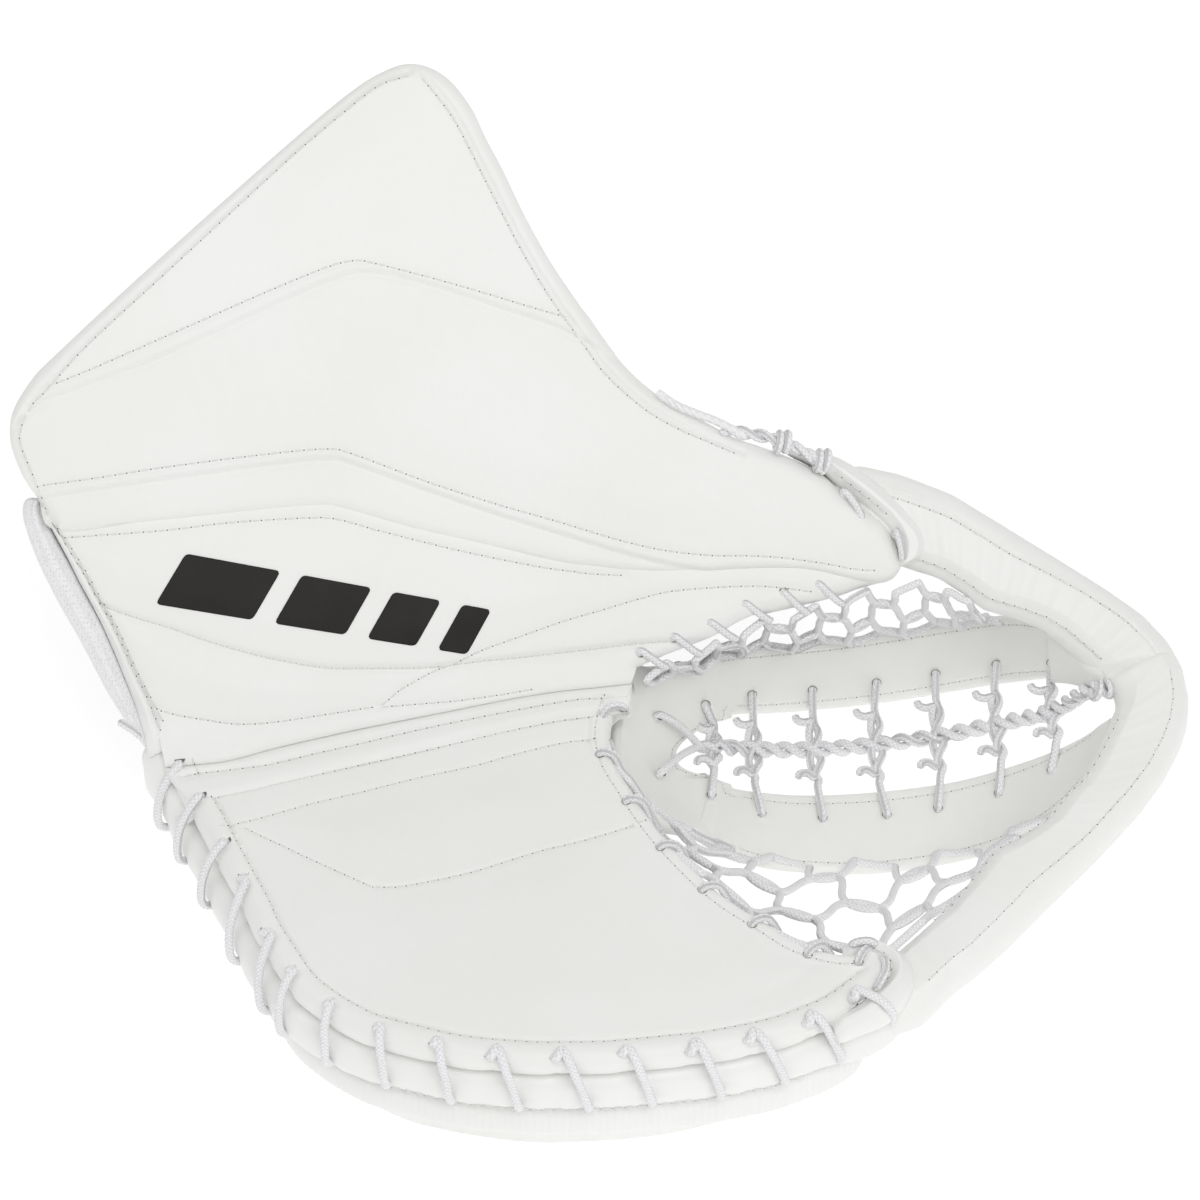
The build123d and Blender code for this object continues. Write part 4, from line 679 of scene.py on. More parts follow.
def math_node(nt, op, a, b=None, c=None):
    n = nt.nodes.new("ShaderNodeMath")
    n.operation = op
    for i, v in enumerate((a, b, c)):
        if v is None:
            continue
        if isinstance(v, (int, float)):
            n.inputs[i].default_value = v
        else:
            nt.links.new(v, n.inputs[i])
    return n.outputs[0]


def leather(name, col, rough=0.44, grain=0.10, fine=1500.0, wrinkle=0.10, tint=0.015):
    m = bpy.data.materials.new(name)
    nt, N, L, bs = nodes_of(m)
    v = mapped(nt, (1, 1, 1))
    big = N.new("ShaderNodeTexNoise")
    big.inputs["Scale"].default_value = 14.0
    big.inputs["Detail"].default_value = 3.0
    L.new(v, big.inputs["Vector"])
    ramp = N.new("ShaderNodeValToRGB")
    ramp.color_ramp.elements[0].position = 0.35
    ramp.color_ramp.elements[1].position = 0.68
    ramp.color_ramp.elements[0].color = (col[0] - tint, col[1] - tint, col[2] - tint * 1.5, 1)
    ramp.color_ramp.elements[1].color = (col[0] + tint * 0.6, col[1] + tint * 0.6, col[2] + tint * 0.6, 1)
    L.new(big.outputs["Fac"], ramp.inputs["Fac"])
    L.new(ramp.outputs["Color"], bs.inputs["Base Color"])
    vo = N.new("ShaderNodeTexVoronoi")
    vo.feature = "DISTANCE_TO_EDGE"
    vo.inputs["Scale"].default_value = fine
    L.new(v, vo.inputs["Vector"])
    peb = N.new("ShaderNodeMapRange")
    peb.inputs["From Max"].default_value = 0.25
    L.new(vo.outputs["Distance"], peb.inputs["Value"])
    no = N.new("ShaderNodeTexNoise")
    no.inputs["Scale"].default_value = 260.0
    no.inputs["Detail"].default_value = 5.0
    L.new(v, no.inputs["Vector"])
    soft = N.new("ShaderNodeTexNoise")
    soft.inputs["Scale"].default_value = 46.0
    soft.inputs["Detail"].default_value = 2.0
    L.new(v, soft.inputs["Vector"])
    b1 = N.new("ShaderNodeBump")
    b1.inputs["Strength"].default_value = grain
    b1.inputs["Distance"].default_value = 0.00025
    L.new(peb.outputs["Result"], b1.inputs["Height"])
    b2 = N.new("ShaderNodeBump")
    b2.inputs["Strength"].default_value = wrinkle
    b2.inputs["Distance"].default_value = 0.0006
    L.new(no.outputs["Fac"], b2.inputs["Height"])
    L.new(b1.outputs["Normal"], b2.inputs["Normal"])
    b3 = N.new("ShaderNodeBump")
    b3.inputs["Strength"].default_value = 0.12
    b3.inputs["Distance"].default_value = 0.003
    L.new(soft.outputs["Fac"], b3.inputs["Height"])
    L.new(b2.outputs["Normal"], b3.inputs["Normal"])
    L.new(b3.outputs["Normal"], bs.inputs["Normal"])
    rr = N.new("ShaderNodeMapRange")
    rr.inputs["To Min"].default_value = rough - 0.07
    rr.inputs["To Max"].default_value = rough + 0.09
    L.new(no.outputs["Fac"], rr.inputs["Value"])
    L.new(rr.outputs["Result"], bs.inputs["Roughness"])
    bs.inputs["Specular IOR Level"].default_value = 0.42
    bs.inputs["Subsurface Weight"].default_value = 0.0
    return m


def braid(name, col, rough=0.62):
    """Braided lace: two crossing sets of strands in the tube's own u, v."""
    m = bpy.data.materials.new(name)
    nt, N, L, bs = nodes_of(m)
    uv = N.new("ShaderNodeUVMap")
    uv.uv_map = "UVMap"
    sp = N.new("ShaderNodeSeparateXYZ")
    L.new(uv.outputs["UV"], sp.inputs[0])
    u, v = sp.outputs["X"], sp.outputs["Y"]
    uu = math_node(nt, "MULTIPLY", u, 1.0 / 1.6)
    a = math_node(nt, "ADD", uu, v)
    b = math_node(nt, "SUBTRACT", uu, v)
    sa = math_node(nt, "ABSOLUTE", math_node(nt, "SINE", math_node(nt, "MULTIPLY", a, math.pi)))
    sb = math_node(nt, "ABSOLUTE", math_node(nt, "SINE", math_node(nt, "MULTIPLY", b, math.pi)))
    hgt = math_node(nt, "MAXIMUM", math_node(nt, "MULTIPLY", sa, 1.0), sb)
    low = math_node(nt, "MINIMUM", sa, sb)
    hh = math_node(nt, "ADD", math_node(nt, "MULTIPLY", hgt, 0.45), math_node(nt, "MULTIPLY", low, 0.55))
    # painted shade: the darker stop colours the low grooves between the braid's strands, from the same height that
    # drives the bump
    ramp = N.new("ShaderNodeValToRGB")
    ramp.color_ramp.elements[0].position = 0.12
    ramp.color_ramp.elements[1].position = 0.62
    ramp.color_ramp.elements[0].color = (col[0] * 0.86, col[1] * 0.86, col[2] * 0.88, 1)
    ramp.color_ramp.elements[1].color = (*col, 1)
    L.new(hh, ramp.inputs["Fac"])
    L.new(ramp.outputs["Color"], bs.inputs["Base Color"])
    fine = N.new("ShaderNodeTexNoise")
    fine.inputs["Scale"].default_value = 1800.0
    L.new(mapped(nt, (1, 1, 1)), fine.inputs["Vector"])
    mix = math_node(nt, "ADD", hh, math_node(nt, "MULTIPLY", fine.outputs["Fac"], 0.25))
    bp = N.new("ShaderNodeBump")
    bp.inputs["Strength"].default_value = 0.75
    bp.inputs["Distance"].default_value = 0.00045
    L.new(mix, bp.inputs["Height"])
    L.new(bp.outputs["Normal"], bs.inputs["Normal"])
    bs.inputs["Roughness"].default_value = rough
    bs.inputs["Specular IOR Level"].default_value = 0.3
    bs.inputs["Sheen Weight"].default_value = 0.15
    return m


def weave(name, col, scale=900.0, dark=0.72, rough=0.8, strength=0.6, sheen=0.2):
    m = bpy.data.materials.new(name)
    nt, N, L, bs = nodes_of(m)
    v = mapped(nt, (scale, scale, scale))
    sp = N.new("ShaderNodeSeparateXYZ")
    L.new(v, sp.inputs[0])
    x, y, z = sp.outputs
    p = math_node(nt, "ADD", x, math_node(nt, "MULTIPLY", z, 0.73))
    q = math_node(nt, "ADD", y, math_node(nt, "MULTIPLY", z, -0.69))
    s1 = math_node(nt, "SINE", math_node(nt, "MULTIPLY", p, math.pi))
    s2 = math_node(nt, "SINE", math_node(nt, "MULTIPLY", q, math.pi))
    h = math_node(nt, "MULTIPLY_ADD", math_node(nt, "MULTIPLY", s1, s2), 0.5, 0.5)
    # painted shade: the darker stop falls in the low troughs of the weave, from the same height that drives the bump
    ramp = N.new("ShaderNodeValToRGB")
    ramp.color_ramp.elements[0].position = 0.2
    ramp.color_ramp.elements[1].position = 0.75
    ramp.color_ramp.elements[0].color = (col[0] * dark, col[1] * dark, col[2] * dark, 1)
    ramp.color_ramp.elements[1].color = (*col, 1)
    L.new(h, ramp.inputs["Fac"])
    L.new(ramp.outputs["Color"], bs.inputs["Base Color"])
    no = N.new("ShaderNodeTexNoise")
    no.inputs["Scale"].default_value = 420.0
    L.new(mapped(nt, (1, 1, 1)), no.inputs["Vector"])
    hh = math_node(nt, "ADD", h, math_node(nt, "MULTIPLY", no.outputs["Fac"], 0.5))
    bp = N.new("ShaderNodeBump")
    bp.inputs["Strength"].default_value = strength
    bp.inputs["Distance"].default_value = 0.0005
    L.new(hh, bp.inputs["Height"])
    L.new(bp.outputs["Normal"], bs.inputs["Normal"])
    bs.inputs["Roughness"].default_value = rough
    bs.inputs["Specular IOR Level"].default_value = 0.25
    bs.inputs["Sheen Weight"].default_value = sheen
    return m


def knit(name, col, scale=780.0, dark=0.80):
    """Fine open mesh: round cells, the same in every direction."""
    m = bpy.data.materials.new(name)
    nt, N, L, bs = nodes_of(m)
    vo = N.new("ShaderNodeTexVoronoi")
    vo.inputs["Scale"].default_value = scale
    vo.inputs["Randomness"].default_value = 0.35
    L.new(mapped(nt, (1, 1, 1)), vo.inputs["Vector"])
    # painted shade: the darker stop sits in the dimpled cell centres, from the same distance that drives the bump
    ramp = N.new("ShaderNodeValToRGB")
    ramp.color_ramp.elements[0].position = 0.10
    ramp.color_ramp.elements[1].position = 0.42
    ramp.color_ramp.elements[0].color = (col[0] * dark, col[1] * dark, col[2] * dark, 1)
    ramp.color_ramp.elements[1].color = (*col, 1)
    L.new(vo.outputs["Distance"], ramp.inputs["Fac"])
    L.new(ramp.outputs["Color"], bs.inputs["Base Color"])
    bp = N.new("ShaderNodeBump")
    bp.inputs["Strength"].default_value = 0.45
    bp.inputs["Distance"].default_value = 0.0004
    L.new(vo.outputs["Distance"], bp.inputs["Height"])
    L.new(bp.outputs["Normal"], bs.inputs["Normal"])
    bs.inputs["Roughness"].default_value = 0.8
    bs.inputs["Specular IOR Level"].default_value = 0.2
    return m


def plain(name, col, rough=0.6, noise=200.0, bump=0.1):
    m = bpy.data.materials.new(name)
    nt, N, L, bs = nodes_of(m)
    no = N.new("ShaderNodeTexNoise")
    no.inputs["Scale"].default_value = noise
    no.inputs["Detail"].default_value = 4.0
    L.new(mapped(nt, (1, 1, 1)), no.inputs["Vector"])
    ramp = N.new("ShaderNodeValToRGB")
    ramp.color_ramp.elements[0].color = (col[0] * 0.92, col[1] * 0.92, col[2] * 0.92, 1)
    ramp.color_ramp.elements[1].color = (*col, 1)
    L.new(no.outputs["Fac"], ramp.inputs["Fac"])
    L.new(ramp.outputs["Color"], bs.inputs["Base Color"])
    bp = N.new("ShaderNodeBump")
    bp.inputs["Strength"].default_value = bump
    bp.inputs["Distance"].default_value = 0.0004
    L.new(no.outputs["Fac"], bp.inputs["Height"])
    L.new(bp.outputs["Normal"], bs.inputs["Normal"])
    bs.inputs["Roughness"].default_value = rough
    return m


WHITE = (0.895, 0.895, 0.878)
M_LEA = leather("leather_white", WHITE, 0.44, 0.10)
M_BIND = leather("leather_binding", (0.905, 0.905, 0.893), 0.40, 0.08, wrinkle=0.22)
M_POCK = leather("leather_pocket", (0.915, 0.912, 0.888), 0.47, 0.10, wrinkle=0.12)
M_BAND = leather("leather_band", (0.91, 0.91, 0.893), 0.42, 0.14, wrinkle=0.14)
M_LACE = braid("lace_braid", (0.945, 0.945, 0.955))
M_LACE3 = weave("lace_braid_free", (0.945, 0.945, 0.955), 900.0, 0.88, 0.62, 0.6)
M_THREAD = plain("stitch_thread", (0.83, 0.83, 0.81), 0.7, 900, 0.3)
# painted shade: the dark colour of the discs laid at needle holes and punched holes, standing in for the shade inside
# them
M_HOLE_SHADE = plain("hole_shade", (0.17, 0.165, 0.15), 0.9)
# painted shade: near-black colour meant for the shade inside punched holes; this material is not used
M_EYE_SHADE = plain("punched_hole_shade", (0.055, 0.05, 0.047), 0.9)
M_MESH = knit("nylon_mesh", (0.90, 0.90, 0.91))
M_DARK = weave("lining_knit", (0.045, 0.045, 0.05), 500.0, 0.5, 0.9, 0.8, 0.05)
M_WEB = weave("strap_webbing", (0.62, 0.62, 0.63), 480.0, 0.6, 0.7, 1.0)
M_HOOK = weave("hook_and_loop", (0.60, 0.60, 0.61), 900.0, 0.45, 0.95, 1.0)
M_FOAM = plain("foam_core", (0.72, 0.72, 0.70), 0.9, 900, 0.5)
M_BOARD = plain("board_sheet", (0.75, 0.75, 0.73), 0.45, 60, 0.05)

# the black bars: satin black with a faint warm fade
M_MARK = bpy.data.materials.new("mark_print")
_nt, _N, _L, _bs = nodes_of(M_MARK)
_g = _N.new("ShaderNodeTexNoise")
_g.inputs["Scale"].default_value = 60.0
_L.new(mapped(_nt, (1, 1, 1)), _g.inputs["Vector"])
_r = _N.new("ShaderNodeValToRGB")
_r.color_ramp.elements[0].color = (0.004, 0.0035, 0.003, 1)
_r.color_ramp.elements[1].color = (0.018, 0.015, 0.013, 1)
_L.new(_g.outputs["Fac"], _r.inputs["Fac"])
_L.new(_r.outputs["Color"], _bs.inputs["Base Color"])
_bs.inputs["Roughness"].default_value = 0.55
_bs.inputs["Specular IOR Level"].default_value = 0.3
_b = _N.new("ShaderNodeBump")
_b.inputs["Strength"].default_value = 0.15
_b.inputs["Distance"].default_value = 0.0004
_g2 = _N.new("ShaderNodeTexNoise")
_g2.inputs["Scale"].default_value = 700.0
_L.new(mapped(_nt, (1, 1, 1)), _g2.inputs["Vector"])
_L.new(_g2.outputs["Fac"], _b.inputs["Height"])
_L.new(_b.outputs["Normal"], _bs.inputs["Normal"])

SLOT_MAT = {"leather_white": M_LEA, "leather_binding": M_BIND, "leather_pocket": M_POCK, "lace": M_LACE, "mesh_fabric": M_MESH,
            "lining_dark": M_DARK, "foam": M_FOAM, "board": M_BOARD, "webbing": M_WEB, "hook_and_loop": M_HOOK, "print_black": M_MARK}
for sp_ in frame["record"]["subparts"]:
    ob = frame["nodes"].get(sp_["node"])
    if ob is not None:
        mt = SLOT_MAT.get(sp_["material_slot"])
        if mt is not None:
            ob.data.materials.clear()
            ob.data.materials.append(mt)

# ================================================================ camera and light
CAM_E = math.radians(48.0)
F = np.array([0, math.cos(CAM_E), -math.sin(CAM_E)])
TGT = np.array([-1.00, 37.25, 90.0])
cam = bpy.data.cameras.new("camera")
cam.lens = 36.0 * 1600.0 / 456.0
cam.sensor_width = 36.0
cam.clip_start = 0.05
camo = bpy.data.objects.new("camera", cam)
camo.location = Vector((TGT - F * 1600.0) * MM)
camo.rotation_euler = (math.radians(90.0 - 48.0), 0, 0)
bpy.context.scene.collection.objects.link(camo)
bpy.context.scene.camera = camo
cam.dof.use_dof = False


def area(name, loc, size, power, target=(0, 0, 0.08), color=(1, 1, 1)):
    l = bpy.data.lights.new(name, "AREA")
    l.shape = "SQUARE"
    l.size = size
    l.energy = power
    l.color = color
    o = bpy.data.objects.new(name, l)
    o.location = loc
    o.rotation_euler = (Vector(target) - Vector(loc)).to_track_quat("-Z", "Y").to_euler()
    bpy.context.scene.collection.objects.link(o)
    return o


area("key", (-0.70, -0.10, 1.05), 0.55, 0.9)
area("fill", (0.95, -0.55, 0.75), 0.9, 0.9)
area("front", (0.30, -0.85, 1.60), 1.0, 9.3)
area("rim", (0.15, 1.05, 0.75), 0.8, 0.8)
w = bpy.data.worlds.new("world")
bpy.context.scene.world = w
w.use_nodes = True
w.node_tree.nodes["Background"].inputs["Color"].default_value = (1, 1, 1, 1)
w.node_tree.nodes["Background"].inputs["Strength"].default_value = 0.54
bpy.context.scene.view_settings.view_transform = "Standard"
bpy.context.scene.view_settings.exposure = 0.0

fm = bpy.data.materials.new("floor_white")
_nt, _N, _L, _bs = nodes_of(fm)
_bs.inputs["Base Color"].default_value = (0.50, 0.50, 0.50, 1)
_bs.inputs["Emission Color"].default_value = (1, 1, 1, 1)
_bs.inputs["Emission Strength"].default_value = 0.70
_bs.inputs["Roughness"].default_value = 0.9
_bs.inputs["Specular IOR Level"].default_value = 0.1
_n = _N.new("ShaderNodeTexNoise")
_n.inputs["Scale"].default_value = 30.0
_L.new(mapped(_nt, (1, 1, 1)), _n.inputs["Vector"])
_b = _N.new("ShaderNodeBump")
_b.inputs["Strength"].default_value = 0.02
_L.new(_n.outputs["Fac"], _b.inputs["Height"])
_L.new(_b.outputs["Normal"], _bs.inputs["Normal"])
me = bpy.data.meshes.new("floor")
S_ = 6.0
me.from_pydata([(-S_, -S_, 0), (S_, -S_, 0), (S_, S_, 0), (-S_, S_, 0)], [], [(0, 1, 2, 3)])
me.materials.append(fm)
floor = bpy.data.objects.new("floor", me)
bpy.context.scene.collection.objects.link(floor)
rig.stage(floor)

# ================================================================ cuff board
def gauss(d, w):
    return np.exp(-(d / w) ** 2)


def sway(P, amp=0.35, seed=0.0):
    x, y = P[:, 0], P[:, 1]
    return amp * (np.sin(x / 23.0 + seed) * np.cos(y / 31.0 + 1.3 * seed) + 0.5 * np.sin(x / 11.0 - y / 15.0 + seed))


def extend(line, a=60.0, b=60.0):
    p = np.asarray(line, float)[:, :2]
    u = (p[0] - p[1]) / np.linalg.norm(p[0] - p[1])
    v = (p[-1] - p[-2]) / np.linalg.norm(p[-1] - p[-2])
    return np.vstack([p[0] + u * a, p, p[-1] + v * b])


def round_drop(d, R):
    """How far a rounded edge falls at distance d inside it, without the last steep bit."""
    q = np.clip(R - d, 0, R)
    return R - np.sqrt(np.clip(R * R - q * q, (0.30 * R) ** 2, None))


BOARD_POLY = spline(G["board"], 1.6, closed=True)
CH1, CH2 = extend(LINES["chev1"]), extend(LINES["chev2"], 60, 90)
C1S, C2S = LINES["chev1_st"], LINES["chev2_st"]
ES, LS = LINES["edge_seam"], LINES["left_seam"]
top_edge = spline(G["board"][0:38], 2.0)
low_edge = spline(G["board"][38:] + G["board"][:1], 2.0)
RIDGES = [np.array([(-112.7 + 9.0 * k, 92.5 - 1.2 * abs(k)), (-101.6 + 9.0 * k, 66.4 + 0.6 * k)]) for k in range(-8, 3)]


def h_board(P):
    d2, s2, _, _ = seg_dist(P, CH2)
    d1, s1, _, _ = seg_dist(P, CH1)
    up2 = smooth((s2 * d2 + 0.4) / 1.3)
    up1 = smooth((s1 * d1 + 0.4) / 1.3)
    h = 2.7 + 1.4 * up2 + 1.3 * up1
    h -= 0.55 * gauss(s2 * d2 + 0.5, 0.8) + 0.50 * gauss(s1 * d1 + 0.5, 0.8)
    ds1 = seg_dist(P, C1S)[0]
    ds2 = seg_dist(P, C2S)[0]
    h -= 0.38 * gauss(ds1, 1.0) + 0.38 * gauss(ds2, 1.0)
    de = seg_dist(P, ES)[0]
    dl = seg_dist(P, LS)[0]
    h -= 0.85 * gauss(de, 0.9) + 0.75 * gauss(dl, 0.8)
    dt = seg_dist(P, top_edge)[0]
    dlo = seg_dist(P, low_edge)[0]
    near = np.minimum.reduce([ds1, ds2, d1, d2, de, dl, dt, dlo])
    h += 0.9 * smooth(near / 16.0) * (1 - 0.4 * up1)
    h += sway(P, 0.30)
    for r_ in RIDGES:
        dd, _, pos, L = seg_dist(P, r_)
        h += 0.10 * gauss(dd, 1.3)
    h -= np.where(dt < dlo, round_drop(dt, 4.2), round_drop(dlo, 1.9))
    return h


def edge_pick(b, first, second):
    """1 where an edge point is nearer the first line than the second."""
    return (seg_dist(b, first)[0] < seg_dist(b, second)[0]).astype(float)


def smear(w, n=4):
    for _ in range(n):
        w = (np.roll(w, 1) + w + np.roll(w, -1)) / 3
    return w


def rounded_skirt(b, w_top, R, drop, thin):
    """Rings for a rolled edge: full depth where w_top is 1, a folded leather edge where 0."""
    w = smear(w_top)
    rings = []
    for t in (0.25, 0.6, 0.95, 1.0, 1.0, 1.0, 0.9, 0.55, 0.0):
        pass
    prof = [(0.35, 0.8), (0.75, 2.2), (0.95, 4.2), (1.0, 7.0), (0.95, drop * 0.6), (0.8, drop * 0.8), (0.35, drop * 0.93), (-0.8, drop), (-3.0, drop + 0.3)]
    for o_, d_ in prof:
        f = d_ / (drop + 0.3)
        rings.append((o_ * R * w + (-0.2 - 1.5 * f) * (1 - w) * (f > 0.3), d_ * w + min(d_, 1.0 + thin * f) * (1 - w)))
    return rings


b0 = even(BOARD_POLY, 1.2, True)
wt = edge_pick(b0, top_edge, low_edge)
co, fa, _b = panel("cuff_board_skin", BOARD_POLY, h_board, [LINES["chev1"], LINES["chev2"], C1S, C2S, ES, LS], grid=1.7 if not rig.quick() else 2.6,
                   skirt=rounded_skirt(b0, wt, 1.1, 16.0, 3.0))
cuff = build("cuff_board_skin", co, fa, "thumb_side", "leather_white", M_LEA)
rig.replaces(cuff, "cuff_top_panel", "cuff_mid_panel", "cuff_chevron_strip", "cuff_board", "cuff_foam")
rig.padded(cuff, 0.8)
T_ = ("thumb_side", "cuff")
surf_row(T_, C1S, lambda c: h_board(c) + 0.05, 4.4)
surf_row(T_, C2S, lambda c: h_board(c) + 0.05, 4.4)
surf_row(T_, side_of(ES, -1.4), lambda c: h_board(c) + 0.05, 4.6)
surf_row(T_, side_of(LS, 1.2), lambda c: h_board(c) + 0.05, 4.8)

# quilted lining under the board
INNER = np.array([p for p in side_of(np.vstack([b0[::-1] if 0.5 * np.sum(b0[:, 0] * np.roll(b0[:, 1], -1) - np.roll(b0[:, 0], -1) * b0[:, 1]) < 0 else b0])[::3], 3.2)])
INNER = INNER[inside(INNER, b0)]


def h_lining(P):
    q = np.abs(np.sin((P[:, 0] + P[:, 1]) / 22.0 * math.pi)) ** 0.5 * np.abs(np.sin((P[:, 0] - P[:, 1]) / 22.0 * math.pi)) ** 0.5
    return -15.6 - 1.6 * q


co, fa, _b = panel("cuff_lining_quilt", INNER, h_lining, [], grid=3.4, edge_step=3.0, edge_rows=(1.5,))
lin = build("cuff_lining_quilt", co, fa, "thumb_side", "lining_dark", M_DARK)
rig.replaces(lin, "cuff_lining")

# ================================================================ lower cuff: lens panel and thumb web
left_in = spline(G["left_edge"], 1.5)
BL = spline(G["board_low"], 1.5)
TE = spline(G["thumb_edge"], 1.5)
CREX5 = [tuple(np.array(G["crease"][0]) + (np.array(G["crease"][0]) - np.array(G["crease"][1])) * 0.33)] + list(G["crease"])
CRB = side_of(spline(CREX5, 1.5), 0.0)
tuck = side_of(BL, 3.4)
LOW_POLY = np.vstack([left_in[0:1] + (1.0, 3.0), tuck[2:-3], TE[::-1], CRB[::-1], left_in[::-1][1:-1]])
LEN, HEEL, WU, WL, R3 = LINES["lens_st"], LINES["heel_st"], LINES["web_up_st"], LINES["web_lo_st"], LINES["row3_st"]
LENX = extend(LEN, 25, 60)
CRX = extend(LINES["crease"], 10, 10)
left_line = np.vstack([left_in])


def h_low(P):
    dl, sl, _, _ = seg_dist(P, LENX)
    up = smooth((sl * dl + 0.3) / 1.1)
    h = 0.2 + 1.0 * up - 0.40 * gauss(sl * dl + 0.4, 0.8)
    near = dl
    for ln, g_, w_ in ((LEN, 0.36, 1.0), (HEEL, 0.42, 1.0), (WU, 0.42, 1.0), (WL, 0.36, 1.0), (R3, 0.38, 1.0)):
        d = seg_dist(P, ln)[0]
        h -= g_ * gauss(d, w_)
        near = np.minimum(near, d)
    dc = seg_dist(P, CRX)[0]
    dte = seg_dist(P, TE)[0]
    dle = seg_dist(P, left_line)[0]
    dbl = seg_dist(P, BL)[0]
    near = np.minimum.reduce([near, dc, dte, dle, dbl])
    h += 1.0 * smooth(near / 13.0)
    h += sway(P, 0.22, 2.0)
    h -= round_drop(dte, 3.2) + round_drop(dc, 1.6) * 0.9 + round_drop(dle, 1.5)
    return h


bl_ = even(LOW_POLY, 1.2, True)
w_te = smear((seg_dist(bl_, TE)[0] < 1.2).astype(float), 3)
w_in = smear((seg_dist(bl_, CRX)[0] < 1.2).astype(float), 2)
rings = []
for o_, d_ in ((0.4, 0.9), (0.9, 2.6), (1.1, 5.0), (1.0, 8.0), (0.6, 11.0), (-0.5, 13.2), (-3.0, 14.0)):
    rings.append((o_ * w_te - 0.3 * d_ * (1 - w_te) * 0.25, np.where(w_te > 0.3, d_ * w_te + 1.0 * (1 - w_te), min(d_, 5.0))))
co, fa, _b = panel("cuff_lower_skin", LOW_POLY, h_low, [LEN, HEEL, WU, WL, R3], grid=1.7 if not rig.quick() else 2.6, skirt=rings)
low = build("cuff_lower_skin", co, fa, "thumb_side", "leather_white", M_LEA)
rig.replaces(low, "cuff_lens_panel", "thumb_web_panel", "cuff_lower_foam")
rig.padded(low, 0.7)
for ln in (LEN, HEEL, WU, WL, R3):
    surf_row(T_, ln, lambda c: h_low(c) + 0.05, 4.4)

# underside of the lower cuff
inn = side_of(bl_[::-1] if 0.5 * np.sum(bl_[:, 0] * np.roll(bl_[:, 1], -1) - np.roll(bl_[:, 0], -1) * bl_[:, 1]) < 0 else bl_, 2.6)
inn = even(inn[inside(inn, bl_)], 3.0, True)
co, fa, _b = panel("cuff_lower_lining", inn, lambda P: -13.2 + 0.0 * P[:, 0], [], grid=4.0, edge_step=3.0, edge_rows=(1.5,))
build("cuff_lower_lining", co, fa, "thumb_side", "lining_dark", M_DARK)

# four slanted bars on the lens panel: thin applique with a rounded edge
mk = []
for q_ in G["mark"]:
    ring_ = []
    n_ = len(q_)
    for i_ in range(n_):
        p0_, p1_, p2_ = np.array(q_[i_ - 1]), np.array(q_[i_]), np.array(q_[(i_ + 1) % n_])
        u_, v_ = (p0_ - p1_) / np.linalg.norm(p0_ - p1_), (p2_ - p1_) / np.linalg.norm(p2_ - p1_)
        for t_ in np.linspace(0, 1, 5):
            ring_.append((1 - t_) ** 2 * (p1_ + u_ * 1.5) + 2 * t_ * (1 - t_) * p1_ + t_ ** 2 * (p1_ + v_ * 1.5))
    c_, f_, _ = panel("m", np.array(ring_), lambda P: h_low(P) + 0.30, [], grid=1.5, edge_step=0.9, edge_rows=(0.4,), skirt=[(0.12, 0.12), (0.12, 0.55)])
    mk.append((c_, f_))
co, fa = merge(mk)
mark = build("cuff_mark_bars", co, fa, "thumb_side", "print_black", M_MARK)
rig.replaces(mark, "cuff_mark")


# ================================================================ swept edges
def sweep(path2, prof, zf=None, n=None, step=1.6, wob=None, closed=False):
    """Profile (out, z) rings swept along a plan path. prof is an (m, 2) array or a function of the arc length returning one."""
    c = even(path2, step, closed)
    t = np.gradient(c, axis=0) if not closed else (np.roll(c, -1, 0) - np.roll(c, 1, 0))
    t /= np.linalg.norm(t, axis=1, keepdims=True) + 1e-9
    out = np.stack([t[:, 1], -t[:, 0]], -1)
    s = np.concatenate([[0], np.cumsum(np.linalg.norm(np.diff(c, axis=0), axis=1))])
    rows = []
    for i in range(len(c)):
        pr = prof(s[i], s[-1], c[i]) if callable(prof) else prof
        rows.append(np.concatenate([c[i][None] + out[i][None] * pr[:, :1], pr[:, 1:2]], 1))
    co = np.array(rows)
    m = co.shape[1]
    fa = grid_faces(len(c), m, True)
    fa += [tuple(range(m))[::-1], tuple((len(c) - 1) * m + k for k in range(m))]
    return co.reshape(-1, 3), fa, c, out, s


PE = spline(G["palm_edge"], 1.2)
if np.cross(PE[10] - PE[0], np.array([0.0, 30.0]) - PE[0]) < 0:
    pass
# the palm edge runs with the glove's inside on its left
EDGE_OUT = side_of(PE, -1.0) - PE
LACE_S = []
pe_cum = np.concatenate([[0], np.cumsum(np.linalg.norm(np.diff(PE, axis=0), axis=1))])


def edge_at(s, off):
    s = np.clip(s, 0, pe_cum[-1])
    p = np.array([np.interp(s, pe_cum, PE[:, k]) for k in range(2)])
    o = np.array([np.interp(s, pe_cum, EDGE_OUT[:, k]) for k in range(2)])
    o /= np.linalg.norm(o)
    return p + o * off


def full_at(s):
    return 1 - smooth((s - 95.0) / 70.0)


